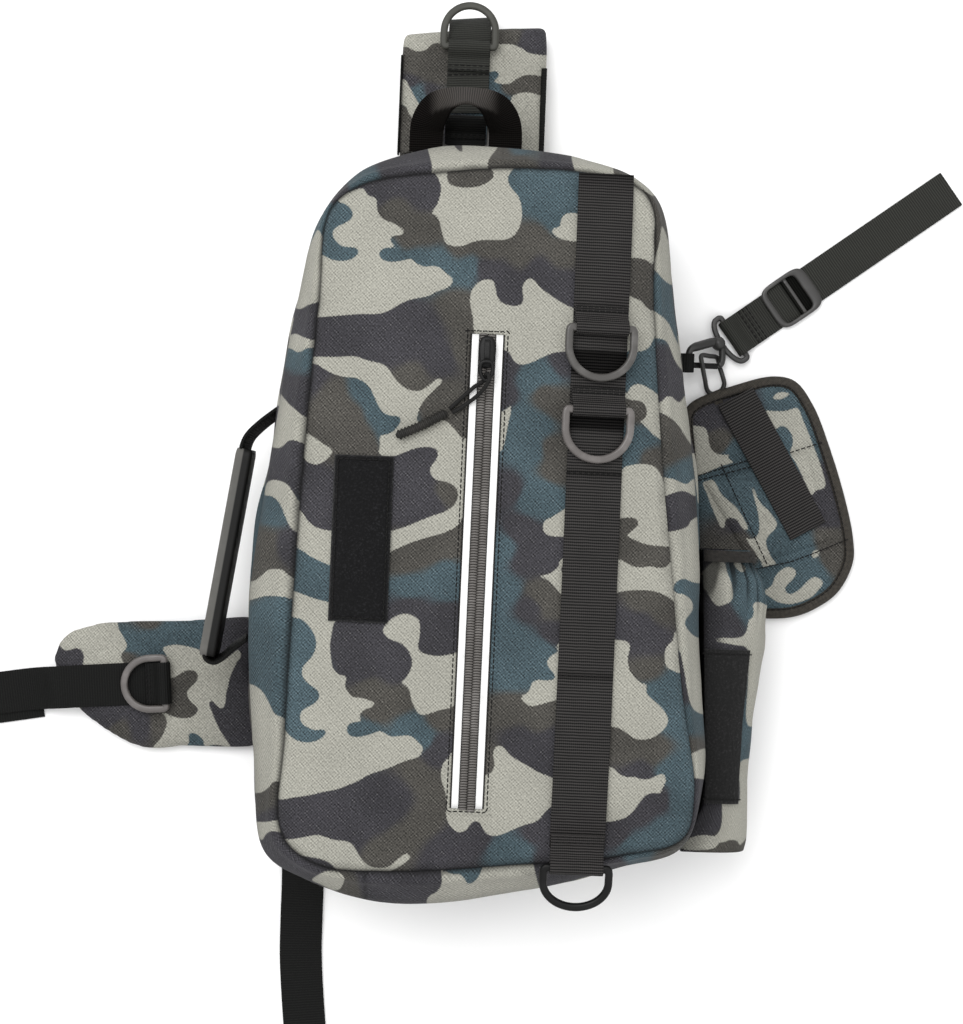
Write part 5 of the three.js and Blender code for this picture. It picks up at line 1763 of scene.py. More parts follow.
@dataclass
class FrontZip:
    """The front zip in its slot: tape, reflective strips, teeth, slider, and a pull on a cord.

    Attributes:
        lift: the chain's underside, from the front's dome.
        tooth_pitch: from tooth to tooth.
        end_gap: how far the tape and teeth stop short of the slot's ends.
        welt_rows: the folded cloth's section: distance from the zip's middle, and height over the cloth.
        seam: the stitched box's distance from the zip's middle.
        slider_outline: half widths along the slider, from its front.
        slider_rows: heights up the slider, and the outline's share there.
        bridge_rows: the slider's bridge, along it and up.
        cord_rows: the pull cord's route: x, y and lift off the front.
        sleeve_rows: the route of the ribbed sleeve at the cord's end.
    """

    shape: BagShape
    slot: ZipSlot
    finishes: Finishes
    stitching: Stitching
    lift: float = -0.7
    tape_width: float = 18.4
    tape_thickness: float = 1.1
    tape_lift: float = -2.1
    end_gap: float = 0.3
    chain_half: float = 4.3
    strip_offset: float = 6.5
    strip_width: float = 3.8
    strip_thickness: float = 0.6
    tooth_pitch: float = 1.45
    tooth_radius: float = 0.62
    bed_thickness: float = 0.9
    welt_rows: Table = (
        (9.4, -2.6), (9.2, -0.6), (9.5, 0.2), (10.4, 0.5), (11.6, 0.4), (13, 0.1), (14, -0.7), (11, -2.6),
    )
    seam: float = 10.9
    slider_place: tuple[float, float] = (4.6, 93.0)
    slider_lift: float = 2.1
    slider_height: float = 4.0
    slider_outline: Table = ((8, 2.6), (3, 4.6), (-4, 4.2), (-8, 3.2))
    slider_rows: Table = ((0.0, 0.9), (0.4, 1.0), (1.5, 1.0), (2.0, 0.9), (2.3, 0.72))
    bridge_rows: Table = ((6.4, 1.6), (5.4, 3.0), (1.0, 3.4), (-4.0, 3.1), (-5.6, 1.6))
    eye_rod: float = 1.1
    eye_rows: Table = ((-2.6, -6, 0), (2.6, -6, 0), (3, -12, -0.6), (0, -15.5, -1), (-3, -12, -0.6))
    cord_radius: float = 1.1
    cord_rows: Table = (
        (-14.5, 61.6, 1.6), (-8, 68, 1.8), (-1, 74.4, 3.2), (3.2, 77.4, 3.2), (4.8, 81.4, 6.2),
        (6.3, 78.2, 9.2), (2.4, 71.5, 5.6), (-5.5, 64.6, 2.2), (-13, 59.6, 1.8),
    )
    sleeve_radius: float = 2.9
    sleeve_ribs: int = 15
    rib_depth: float = 0.14
    sleeve_rows: Table = ((-15.6, 59.8, 3.1), (-28, 52.6, 3), (-42.5, 45.9, 3))

    def line(self, offset: float, lift: float, count: int = 72) -> Points:
        """A line down the zip.

        Args:
            offset: sideways from the zip's middle.
            lift: height over the front's dome.
            count: how many spans it gets.

        Returns:
            The line's points.
        """
        y = np.linspace(self.slot.top - self.end_gap, self.slot.bottom + self.end_gap, count + 1)
        return self.shape.on_front(self.slot.middle(y) + offset, y, lift)

    def strip(self, name: str, offset: float, width: float, thickness: float, lift: float) -> Mesh:
        """A flat strip down the zip, at a sideways offset and a height over the dome."""
        section = rounded_section(width, thickness, 0.4 * thickness)
        return bar(name, self.line(offset, lift + thickness / 2), section)

    def welt(self) -> None:
        """The panel's cloth folded in all round the slot, and the box of stitches that holds it."""
        rows = np.vstack([self.frame(distance, lift) for distance, lift in self.welt_rows])
        points = rows.reshape(len(self.welt_rows), -1, 3)
        weave = np.concatenate([points, points[:1]])
        weave = np.concatenate([weave, weave[:, :1]], axis=1)[..., :2]
        mesh = Lattice(points, wrap_rows=True, weave=weave).mesh("zip_welt")
        FRONT_PRINT.paint(mesh)
        piece("zip_welt", mesh, self.finishes.camo)
        box = self.frame(self.seam, 0.5)
        self.stitching.sew("zip_box_stitches", [np.vstack([box, box[:1]])], self.finishes.thread)

    def frame(self, distance: float, lift: float, side: int = 90, end: int = 12) -> Points:
        """A rectangle round the zip.

        Args:
            distance: how far out it lies from the zip's middle.
            lift: its height over the front's cloth.
            side: spans down each side.
            end: spans along each end.

        Returns:
            The rectangle's points, without repeating the first.
        """
        more = distance - self.slot.half
        top, bottom = self.slot.top + more, self.slot.bottom - more
        down, over = np.arange(side) / side, np.arange(end) / end * 2 - 1
        left, right = top + (bottom - top) * down, bottom + (top - bottom) * down
        y = np.concatenate([left, np.full(end, bottom), right, np.full(end, top)])
        sideways = np.concatenate([np.full(side, -1.0), over, np.full(side, 1.0), -over]) * distance
        x = self.slot.middle(y) + sideways
        return np.column_stack([x, y, self.shape.cloth_top(x, y) + lift])

    def teeth(self) -> None:
        """Two rows of teeth on a dark bed."""
        where = np.linspace(-0.9, 0.9, 5)
        row = self.chain_half / 2
        path = np.stack([0.25 * np.abs(where), where * row, 0.5 - 0.5 * where**2], axis=1)
        for name, side, shift in (("zip_teeth_left", -1, 0.0), ("zip_teeth_right", 1, self.tooth_pitch / 2)):
            line = self.line(side * row, self.lift + self.bed_thickness)
            line[:, 1] -= shift
            values = {"Pitch": self.tooth_pitch * MM, "Finish": self.finishes.coil}
            unit_mesh = bar("tooth", path, round_section(self.tooth_radius, 8))
            mesh = run_tree(name, line_mesh([line]), self.stitching.tree, unit_mesh, values)
            piece(name, mesh, self.finishes.coil)
        bed = self.strip("zip_bed", 0.0, 2 * self.chain_half, self.bed_thickness, self.lift)
        piece("zip_bed", bed, self.finishes.coil_bed, ["zip_chain"])

    def slider(self) -> None:
        """The slider's body with a raised bridge, and the wire eye that hangs on it."""
        x, y = self.slider_place
        base = float(self.shape.front(np.array(x), np.array(y))) + self.slider_lift
        right = np.asarray(self.slider_outline, float)[:, ::-1]
        outline = smooth_line(np.vstack([right, (right * (-1, 1))[::-1]]), 40, closed=True)
        layers = []
        for z, share in self.slider_rows:
            layers.append(np.column_stack([outline * share + (x, y), np.full(40, base + z)]))
        arch = np.array([(x, y + along, base + rise) for along, rise in self.bridge_rows])
        bridge = bar("bridge", smooth_line(arch, 20), rounded_section(3.0, 1.0, 0.4))
        mesh = merged("zip_slider_body", [Lattice(np.stack(layers)).mesh("slider"), bridge])
        piece("zip_slider_body", mesh, self.finishes.dark_plastic, ["zip_slider"])
        top = base + self.slider_height + 0.3 + self.eye_rod
        eye = smooth_line(np.asarray(self.eye_rows) + (x, y, top), 48, closed=True)
        wire = bar("zip_eye_wire", eye, round_section(self.eye_rod, 10), closed=True)
        piece("zip_eye_wire", wire, self.finishes.dark_plastic, ["zip_pull_eye"])

    def pull(self) -> None:
        """The pull: a cord looped through the eye, with both ends in a ribbed sleeve."""
        rows = np.asarray(self.sleeve_rows, float)
        route = even_line(smooth_line(self.shape.on_front(rows[:, 0], rows[:, 1], rows[:, 2]), 60), 90)
        where = np.linspace(0, 1, len(route))
        ribs = 1 - self.rib_depth + self.rib_depth * np.cos(2 * np.pi * where * self.sleeve_ribs)
        ends = np.sqrt(np.clip(np.minimum(where, 1 - where) / 0.05, 0.12, 1))
        sleeve = bar("zip_pull_sleeve", route, round_section(self.sleeve_radius, 14), swell=ribs * ends)
        end = piece("zip_pull_sleeve", sleeve, self.finishes.sleeve, ["zip_pull_end"])
        rows = np.asarray(self.cord_rows, float)
        path = smooth_line(self.shape.on_front(rows[:, 0], rows[:, 1], rows[:, 2]), 40)
        mesh = bar("zip_pull_line", path, round_section(self.cord_radius, 10))
        line = piece("zip_pull_line", mesh, self.finishes.cord, ["zip_pull_cord"])

    def build(self) -> None:
        """Builds the zip's pieces."""
        tape = self.strip("zip_tape_cloth", 0.0, self.tape_width, self.tape_thickness, self.tape_lift)
        piece("zip_tape_cloth", tape, self.finishes.tape, ["zip_tape"])
        for side, offset in (("left", -self.strip_offset), ("right", self.strip_offset)):
            name = f"reflective_tape_{side}"
            mesh = self.strip(name, offset, self.strip_width, self.strip_thickness, self.lift)
            piece(name, mesh, self.finishes.reflective, [f"reflective_strip_{side}"])
        self.welt()
        self.teeth()
        self.slider()
        self.pull()


@dataclass(frozen=True)
class RingSeat:
    """Where a ring's straight bar lies: a point under it, its direction, and the way to the ring's arc."""

    point: Sequence[float]
    across: Sequence[float]
    to_arc: Sequence[float]
    bar_height: float = 3.95

    def axes(self) -> tuple[Points, Points, Points]:
        """The seat's three axes: along the bar, to the arc, and up."""
        across = unit(np.asarray(self.across, float))
        up = unit(np.cross(across, np.asarray(self.to_arc, float)))
        return across, np.cross(up, across), up

    def world(self, local: Points) -> Points:
        """Points from the seat's own axes, which start at the bar's middle."""
        across, arc, up = self.axes()
        start = np.asarray(self.point, float) + up * self.bar_height
        return start + local[:, :1] * across + local[:, 1:2] * arc + local[:, 2:] * up


@dataclass(frozen=True)
class DRing:
    """A D-ring on its straight bar, in a fold of webbing.

    Attributes:
        width: between the rod's middles at the shoulders.
        reach: from the bar to the arc's far side.
        fold: the webbing's width.
        tail: how far the fold's ends run from the bar.
        rod: the rod's radius.
        shoulder: where the arc starts, as a share of the reach.
        droop: how far the ring leans down at rest, in radians.
        tail_side: 1 where the fold's ends lie under the ring, -1 where they lie behind the bar.
        fold_radius: the fold's radius at the webbing's middle.
        corner: how far the straight bar stops short of the shoulders.
    """

    width: float = 35.6
    reach: float = 26.5
    fold: float = 29.0
    tail: float = 12.0
    rod: float = 2.1
    shoulder: float = 0.36
    droop: float = 0.045
    tail_side: int = -1
    fold_radius: float = 3.05
    fold_thickness: float = 1.2
    corner: float = 0.7

    @property
    def stitch_height(self) -> float:
        """The top of the fold's two layers, from the bar's middle."""
        return -self.fold_radius + 1.5 * self.fold_thickness + 0.35

    def ring_mesh(self, name: str, seat: RingSeat) -> Mesh:
        """The ring, as a rounded bar bent into a D."""
        half, start = self.width / 2, self.reach * self.shoulder
        angles = np.linspace(0, np.pi, 33)
        rise = start + (self.reach - start) * np.sin(angles)
        arc = np.column_stack([half * np.cos(angles), rise, 0 * angles])
        along = np.linspace(-1, 1, 13) * (half - self.corner)
        straight = np.column_stack([along, 0 * along, 0 * along])
        leg = np.array([(half, start / 3, 0), (half, 2 * start / 3, 0)])
        loop = smooth_line(np.vstack([arc, leg[::-1] * (-1, 1, 1), straight, leg]), 144, closed=True)
        cos, sin = math.cos(-self.droop), math.sin(-self.droop)
        loop = np.column_stack([loop[:, 0], loop[:, 1] * cos, loop[:, 1] * sin])
        section = rounded_section(2 * self.rod, 1.84 * self.rod, 0.62 * self.rod, 3, 4)
        return bar(name, seat.world(loop), section, closed=True, up=seat.axes()[2])

    def fold_path(self, run: Table = ()) -> Points:
        """The fold's middle line in the seat's axes, after a longer strap's run if there is one."""
        radius, side = self.fold_radius, self.tail_side
        upper = -radius + self.fold_thickness + 0.25
        angles = np.linspace(0, np.pi, 9)
        bend = [(0, -side * radius * math.sin(a), -radius * math.cos(a)) for a in angles]
        start = [*run, (0, side * self.tail, -radius)]
        back = [(0.8 * radius, 0.72 * radius), (2.1 * radius, upper + 0.5)]
        back += [(3 * radius, upper), (self.tail, upper)]
        return np.array([*start, *bend, *((0, side * y, z) for y, z in back)], float)

    def fold_mesh(self, name: str, seat: RingSeat, run: Table = (), spans: int = 64) -> Mesh:
        """The fold of webbing round the bar.

        Args:
            name: the mesh's name.
            seat: where the bar lies.
            run: the rest of a longer strap that ends in the fold.
            spans: how many spans the fold gets along its length.

        Returns:
            The closed mesh.
        """
        path = even_line(smooth_line(self.fold_path(run), 4 * spans), spans)
        section = rounded_section(self.fold, self.fold_thickness, 0.45, 10)
        return bar(name, seat.world(path), section, across=seat.axes()[0])


@dataclass
class FrontTrim:
    """What is sewn on the front: a hook-and-loop patch, and a webbing band with three D-rings.

    Attributes:
        band_rows: the band's middle x and y at its top and bottom.
        tacks: where the band is sewn down across, from the top.
        tack_share: how far those seams reach to each side, as a share of the band's width.
        ring_rows: each front ring's name and its bar's y.
        hollows: where the band lies in a front ring's shade, as its lowest and highest y.
        hollow_depth: how dark that shade is.
        hollow_edge: how far its edges fade.
        end_shade: how dark the band's ends are, and how far that fades.
        tack_shade: the same at its tacks.
    """

    shape: BagShape
    finishes: Finishes
    stitching: Stitching
    band_rows: Table = ((65.5, 193.0), (64.0, -173.0))
    band_width: float = 30.0
    band_thickness: float = 1.4
    band_lift: float = 0.4
    tacks: Sequence[float] = (193.0, 116.0, 72.0, 30.0, -79.0, -173.0)
    bulge: float = 1.1
    tack_share: float = 0.46
    ring_rows: Sequence[tuple[str, float]] = (("front_upper", 108.0), ("front_lower", 64.0))
    hollows: Table = ((84.0, 95.5), (54.0, 60.5))
    hollow_depth: float = 0.8
    hollow_edge: float = 2.0
    end_shade: tuple[float, float] = (0.6, 5.0)
    tack_shade: tuple[float, float] = (0.55, 1.6)
    bottom_y: float = -183.25
    bottom_lift: float = 0.2
    bottom_ring: DRing = DRing(reach=22.0, tail=18.0)
    slope_reach: float = 12.0
    patch_x: float = -59.5
    patch_width: float = 32.3
    patch_top: float = 35.0
    patch_bottom: float = -55.0
    patch_thickness: float = 2.0
    patch_lift: float = 0.3
    patch_seam: float = 2.2

    def band_x(self, y: Points) -> Points:
        """The band's middle at a height of the bag."""
        (top_x, top), (bottom_x, bottom) = self.band_rows
        return top_x + (bottom_x - top_x) * (top - y) / (top - bottom)

    def sewn(self, y: Points) -> Points:
        """How far the band stands off between its tacks, from 0 to 1."""
        edges = np.asarray(self.tacks)[::-1]
        index = np.clip(np.searchsorted(edges, y) - 1, 0, len(edges) - 2)
        share = np.clip((y - edges[index]) / (edges[index + 1] - edges[index]), 0, 1)
        return np.sin(np.pi * share) ** 0.6

    def band(self) -> None:
        """The webbing band, sewn down at its tacks, and those stitches."""
        (_, top), (_, bottom) = self.band_rows
        y = np.linspace(top, bottom, 181)
        lift = self.band_lift + self.band_thickness / 2 + self.bulge * self.sewn(y)
        path = self.shape.on_front(self.band_x(y), y, lift)
        section = rounded_section(self.band_width, self.band_thickness, 0.5, 14)
        points = swept(path, section)
        front = self.shape.front
        points[..., 2] += front(points[..., 0], points[..., 1]) - front(path[:, 0], path[:, 1])[:, None]
        mesh = Lattice(points).mesh("front_band")
        ends = np.minimum(top - y, y - bottom)
        marks = np.min(np.abs(y[:, None] - np.asarray(self.tacks)[None, 1:-1]), axis=1)
        (dark, reach), (mark, width), fade = self.end_shade, self.tack_shade, self.hollow_edge
        crease = dark * np.exp(-ends / reach) + mark * np.exp(-((marks / width) ** 2))
        for low, high in self.hollows:
            hollow = ease(y, low - fade, low) * (1 - ease(y, high, high + fade))
            crease = np.maximum(crease, self.hollow_depth * hollow)
        shade(mesh, np.repeat(crease[:, None], points.shape[1], axis=1))
        piece("front_band", mesh, self.finishes.webbing, ["front_webbing"])
        lines = []
        height = self.band_lift + self.band_thickness
        for tack in self.tacks[1:-1]:
            sideways = np.linspace(-self.tack_share, self.tack_share, 12) * self.band_width
            x = self.band_x(np.array(tack)) + sideways
            lines.append(self.shape.on_front(x, np.full(12, tack), height))
        self.stitching.sew("front_band_stitches", lines, self.finishes.thread)

    def seat(self, y: float) -> RingSeat:
        """A ring's seat on the band at a height of the bag."""
        x, reach, front = float(self.band_x(np.array(y))), self.slope_reach, self.shape.front
        z = float(front(np.array(x), np.array(y))) + self.band_lift + self.band_thickness
        tilt = float(front(np.array(x + reach), np.array(y)) - front(np.array(x - reach), np.array(y)))
        fall = float(front(np.array(x), np.array(y - reach)) - front(np.array(x), np.array(y + reach)))
        return RingSeat((x, y, z), (-2 * reach, 0, -tilt), (0, -2 * reach, fall))

    def rings(self) -> None:
        """The three rings, each on its own body, in their folds."""
        bottom = self.seat(self.bottom_y)
        x, y, z = bottom.point
        bottom = RingSeat((x, y, z + self.bottom_lift), bottom.across, bottom.to_arc)
        rows = [(name, DRing(), self.seat(place)) for name, place in self.ring_rows]
        for name, ring, seat in [*rows, ("front_bottom", self.bottom_ring, bottom)]:
            HeldRing(name, ring, seat, self.finishes.webbing).build(self.finishes, self.stitching)

    def patch(self) -> None:
        """The hook-and-loop patch: a felted block with a rough top and a stitched border."""
        middle = (self.patch_top + self.patch_bottom) / 2
        half_w, half_h = self.patch_width / 2, (self.patch_top - self.patch_bottom) / 2
        made = felt_patch("front_patch", (half_w, half_h), self.patch_thickness)
        points = spots(made)
        x, y = points[:, 0] + self.patch_x, points[:, 1] + middle
        move_spots(made, np.column_stack([x, y, self.shape.front(x, y) + self.patch_lift + points[:, 2]]))
        piece("front_patch", made, self.finishes.felt, ["hook_loop_patch_front"])
        box = np.array([(-1, -1), (1, -1), (1, 1), (-1, 1), (-1, -1)])
        inner = box * (half_w - self.patch_seam, half_h - self.patch_seam)
        ring = even_line(np.column_stack([inner + (self.patch_x, middle), np.zeros(5)]), 120)
        line = self.shape.on_front(ring[:, 0], ring[:, 1], self.patch_lift + self.patch_thickness + 0.1)
        self.stitching.sew("front_patch_stitches", [line], self.finishes.thread)

    def build(self) -> None:
        """Builds the front's trim."""
        self.band()
        self.rings()
        self.patch()


@dataclass(frozen=True)
class HeldRing:
    """A D-ring at its place, and its fold of webbing with rows of stitches.

    Attributes:
        name: the ring's name in the solids.
        ring: its sizes.
        seat: where its bar lies.
        band: the fold's finish.
        swings: whether the ring has a body of its own.
        run: the rest of a longer strap that ends in the fold.
        seams: the fold's sewn rows, as shares of its tail.
    """

    name: str
    ring: DRing
    seat: RingSeat
    band: Material
    swings: bool = True
    run: Table = ()
    seams: Sequence[float] = (0.78, 0.95)

    def build(self, finishes: Finishes, stitching: Stitching) -> None:
        """Builds the ring, the fold and its stitches."""
        name, ring, seat = self.name, self.ring, self.seat
        mesh = ring.ring_mesh(f"ring_{name}_rod", seat)
        body = f"ring_{name}" if self.swings else ROOT_BODY
        piece(f"ring_{name}_rod", mesh, finishes.ring(name), [f"d_ring_{name}"], body)
        fold = ring.fold_mesh(f"ring_{name}_webbing", seat, self.run)
        piece(f"ring_{name}_webbing", fold, self.band, [f"ring_fold_{name}"])
        x = np.linspace(-0.45, 0.45, 14) * ring.fold
        rows = [ring.tail_side * ring.tail * share for share in self.seams]
        lines = [seat.world(line) for line in lines_across(x, rows, ring.stitch_height)]
        stitching.sew(f"ring_{name}_stitches", lines, finishes.thread)


def lines_across(x: Points, rows: Iterable[float], height: float) -> list[Points]:
    """Straight lines across a band at places along it, all at one height."""
    return [np.column_stack([x, np.full(len(x), y), np.full(len(x), height)]) for y in rows]


def felt_patch(name: str, half: tuple[float, float], thickness: float, cells: float = 1.3) -> Mesh:
    """A flat felted block with a rough top and a lower sewn border, centred on the origin.

    Args:
        name: the mesh's name.
        half: half its width and height.
        thickness: how thick it is.
        cells: the grid's cell.

    Returns:
        The closed mesh, standing on z = 0.
    """
    counts = [max(8, int(2 * h / cells)) for h in half]
    x, y = np.meshgrid(*(np.linspace(-h, h, n + 1) for h, n in zip(half, counts)))
    edge = np.minimum(half[0] - np.abs(x), half[1] - np.abs(y))
    rough = 0.32 * ripple(x, y, 2.6, Seed.FELT) + 0.2 * ripple(x, y, 9.0, Seed.FELT_CLOUD)
    seam = 0.55 * np.exp(-(((edge - 2.2) / 0.9) ** 2))
    top = thickness * (0.35 + 0.65 * np.sqrt(np.clip(edge / 1.4, 0, 1))) - seam + rough * ease(edge, 0, 2)
    upper = np.stack([x, y, np.clip(top, 0.2, thickness + 0.4)], axis=2)
    lower = np.stack([x, y, 0 * x], axis=2)[:, ::-1]
    return Lattice(np.concatenate([upper, lower], axis=1)).mesh(name)


@dataclass
class ShoulderStrap:
    """The shoulder strap's pad, folded over at the top, with a webbing and a D-ring on it.

    Attributes:
        thin: how much thinner than the solid the pad starts, before it swells.
        slant: how far the fold leans, as a rise for each step across.
        band_start: where the webbing starts on the pad.
        band_stand: how far the webbing's loop stands off the pad's fold.
        band_rows: where the webbing is sewn across.
        ring_bar: the ring's bar.
        bindings: each edge binding's middle from the strap's edge, its width, and where it ends.
    """

    finishes: Finishes
    stitching: Stitching
    left: float = -53.0
    right: float = 33.0
    hem: float = 214.6
    fold: float = 292.0
    thickness: float = 11.0
    slack: float = 1.0
    thin: float = 2.6
    slant: float = 0.09
    band_x: float = -13.0
    band_width: float = 24.6
    band_thickness: float = 1.6
    band_start: float = 240.0
    band_stand: float = 4.2
    band_rows: Sequence[float] = (262.5, 265.2, 267.9)
    ring_bar: float = 278.0
    gap: float = 0.3
    bindings: Table = ((0.6, 1.0, 276.0), (1.6, 3.4, 266.0))
    padding: Padding = Padding(voxel=2.0, cap=1.4, floor=0.3)
    ring: DRing = DRing(30.0, 24.0, 24.0, 14.0)

    @property
    def lower(self) -> float:
        """The height of the lower layer's middle."""
        return self.gap + self.thickness / 2

    @property
    def bend(self) -> float:
        """The fold's radius at the pad's middle."""
        return (self.thickness + self.slack) / 2

    def slanted(self, points: Points) -> Points:
        """Points moved along the strap, more at its right, as the fold slants."""
        share = np.maximum((points[..., 1] - self.hem) / (self.fold - self.hem), 0)
        moved = points.copy()
        moved[..., 1] += self.slant * (points[..., 0] - (self.left + self.right) / 2) * share
        return moved

    def around(self, radius: float, start: float, end: float, count: int) -> list[tuple[float, float, float]]:
        """Points round the fold, from one angle to another."""
        turn = self.fold - self.bend - self.thickness / 2
        angles = np.linspace(start, end, count + 1)
        middle = self.lower + self.bend
        return [(0, turn + radius * math.cos(a), middle + radius * math.sin(a)) for a in angles]

    def pad_path(self) -> Points:
        """The pad's middle line, from the bag, round the fold and back."""
        turned = self.around(self.bend, -math.pi / 2, math.pi / 2, 16)
        upper = self.lower + 2 * self.bend
        path = [(0, self.hem - 0.8, self.lower), *turned, (0, self.hem + 0.5, upper)]
        return even_line(np.array(path, float), 60)

    def pad(self) -> None:
        """The padded cloth and the binding along its edges."""
        width = self.right - self.left
        middle = np.array([(self.left + self.right) / 2, 0, 0])
        path = self.pad_path()
        section = rounded_section(width - 2, self.thickness - self.thin, 3.2, 20)
        points = self.slanted(swept(path + middle, section, across=RIGHT))
        mesh = Lattice(points).mesh("strap_padding")
        mesh = self.padding.puffed(mesh)
        STRAP_PRINT.paint(mesh)
        made = piece("strap_padding", mesh, self.finishes.camo_pad, ["shoulder_strap"])
        edges = []
        height = self.lower + 2 * self.bend
        for start, side, (inset, wide, end) in zip((self.left, self.right), (1, -1), self.bindings):
            band = rounded_section(wide, self.thickness - self.thin - 0.6, 0.45 * wide, 3)
            x = start + side * inset
            line = even_line(np.array([(x, self.hem + 0.5, height), (x, end, height)], float), 40)
            edge = swept(line, band, across=RIGHT)
            edges.append(Lattice(self.slanted(edge)).mesh("edge"))
        piece("strap_binding", merged("strap_binding", edges), self.finishes.dark_strap)

    def band(self) -> None:
        """The webbing over the pad and its fold, with a stitched band, and the D-ring."""
        top = self.lower + 2 * self.bend + self.thickness / 2 + self.gap + self.band_thickness / 2
        radius = top - self.lower - self.bend
        turned = np.array(self.around(radius, math.pi / 2, -0.1, 14))
        turned[:, 1] += self.band_stand * np.cos(np.linspace(math.pi / 2, 0, len(turned)))
        path = np.vstack([(0, self.band_start, top), turned])
        line = even_line(path, 70) + (self.band_x, 0, 0)
        section = rounded_section(self.band_width, self.band_thickness, 0.6, 10)
        mesh = Lattice(self.slanted(swept(line, section, across=RIGHT))).mesh("strap_band")
        piece("strap_band", mesh, self.finishes.strap, ["strap_webbing"])
        seat = RingSeat((self.band_x, self.ring_bar, top + self.band_thickness / 2), (1, 0, 0), (0, 1, 0))
        HeldRing("strap", self.ring, seat, self.finishes.strap).build(self.finishes, self.stitching)
        x = self.band_x + np.linspace(-0.44, 0.44, 12) * self.band_width
        height = top + self.band_thickness / 2 + 0.2
        lines = [self.slanted(line) for line in lines_across(x, self.band_rows, height)]
        self.stitching.sew("strap_band_stitches", lines, self.finishes.thread)

    def build(self) -> None:
        """Builds the strap's pieces."""
        self.pad()
        self.band()


@dataclass
class GrabHandle:
    """The webbing handle at the top, and the ring at the shoulder strap's base.

    Attributes:
        shadow: the dark inside of the arch in image pixels: its middle, and its half width and height.
        crescent: how far from that middle the lit top of the arch starts and ends to darken.
    """

    finishes: Finishes
    stitching: Stitching
    x: float = -12.5
    base: float = 214.8
    z: float = 62.0
    rise: float = 9.0
    radius: float = 22.5
    reach: float = 20.2
    width: float = 19.0
    thickness: float = 2.2
    lean: float = 1.4
    leg: float = 7.0
    tuck: float = 4.0
    shadow: Table = ((464.0, 147.0), (57.0, 41.0))
    crescent: tuple[float, float] = (22.0, 37.0)
    shadow_depth: float = 0.9
    ring_x: float = -13.0
    ring_bar: float = 231.0
    ring_z: float = 44.0
    ring_run: float = 15.6
    ring: DRing = DRing(28.8, 17.4, 23.6, 9.6, shoulder=0.75, droop=0.0, tail_side=1)

    def build(self) -> None:
        """Builds the arched band and the base ring."""
        angles = np.linspace(0, np.pi, 15)
        arch = np.column_stack([
            self.x + self.radius * np.cos(angles),
            self.base + self.leg + self.reach * np.sin(angles),
            self.z + self.rise * np.sin(angles),
        ])
        ends = [(self.x + side * self.radius, self.base - self.tuck, self.z - 1) for side in (1, -1)]
        path = even_line(smooth_line(np.vstack([ends[0], arch, ends[1]]), 90), 90)
        out = unit((path - (self.x, self.base, self.z)) * (1, 1, 0))
        share = np.clip((path[:, 1] - self.base) / (self.reach + self.leg), 0, 1)
        up = UP + out * (self.lean * share**6)[:, None]
        section = rounded_section(self.width, self.thickness, 0.8, 10)
        mesh = bar("handle_band", path, section, up=up)
        middle, half = np.asarray(self.shadow, float)
        away = PHOTO.pixels(spots(mesh)) - middle
        inside = np.linalg.norm(away / half, axis=1)
        beside = ease(np.abs(away[:, 0]), *self.crescent)
        shade(mesh, self.shadow_depth * np.maximum(1 - ease(inside, 0.97, 1.06), beside))
        piece("handle_band", mesh, self.finishes.handle, ["grab_handle"])
        seat = RingSeat((self.ring_x, self.ring_bar, self.ring_z), (-1, 0, 0), (0, -1, 0))
        run = [(0, self.ring_run, -self.ring.fold_radius)]
        held = HeldRing("strap_base", self.ring, seat, self.finishes.dark_strap, swings=False, run=run)
        held.build(self.finishes, self.stitching)


@dataclass
class SideHandle:
    """The stiff handle at the left: a rubber grip on webbing ends.

    Attributes:
        lit: the share of the grip's width, from its outer side, that is left lit; the rest gets painted
            shade.
        tilt: how far the webbing ends lean over, in radians.
    """

    finishes: Finishes
    z: float = 53.0
    width: float = 9.6
    depth: float = 26.0
    upper: tuple[float, float] = (-130.9, 37.5)
    lower: tuple[float, float] = (-147.7, -81.0)
    lit: float = 0.46
    tilt: float = 0.12
    webbing_depth: float = 24.0
    webbing_thickness: float = 2.2
    upper_rows: Table = ((-112.5, 60.2), (-122.8, 51.8), (-129.3, 44.7), (-131.6, 38.9), (-132.2, 33))
    lower_rows: Table = (
        (-148.4, -76), (-147.6, -82), (-144, -83.6), (-140.4, -82), (-134.9, -76.7), (-126.5, -70),
    )

    def build(self) -> None:
        """Builds the grip and its two webbing ends."""
        share = np.linspace(0, 1, 61)[:, None]
        flat = np.array(self.upper) * (1 - share) + np.array(self.lower) * share
        path = np.column_stack([flat, np.full(61, self.z)])
        ends = 0.9 + 0.1 * np.clip(np.minimum(share, 1 - share)[:, 0] / 0.03, 0, 1) ** 0.5
        grip = bar("side_grip_rubber", path, rounded_section(self.width, self.depth, 2.0, 20, 5), swell=ends)
        away = np.array(self.lower) - np.array(self.upper)
        sideways = np.array([-away[1], away[0]]) / np.linalg.norm(away)
        # Painted light and shade: the pale grey stays on the lit side, and the rest of the grip is darkened
        # as painted shade.
        across = (spots(grip)[:, :2] - np.array(self.upper)) @ sideways / self.width + 0.5
        shade(grip, ease(across, self.lit - 0.04, self.lit + 0.04))
        piece("side_grip_rubber", grip, self.finishes.grip, ["side_handle_grip"])
        for name, rows in (("upper", self.upper_rows), ("lower", self.lower_rows)):
            table = np.column_stack([np.asarray(rows, float), np.full(len(rows), self.z)])
            line = even_line(smooth_line(table, 40), 40)
            section = rounded_section(self.webbing_thickness, self.webbing_depth, 0.8, 3)
            along = unit(np.gradient(line, axis=0))
            lean = UP * math.cos(self.tilt) + np.cross(along, UP) * math.sin(self.tilt)
            mesh = bar(f"side_band_{name}", line, section, up=lean)
            node = f"side_handle_webbing_{name}"
            piece(f"side_band_{name}", mesh, self.finishes.dark_strap, [node])


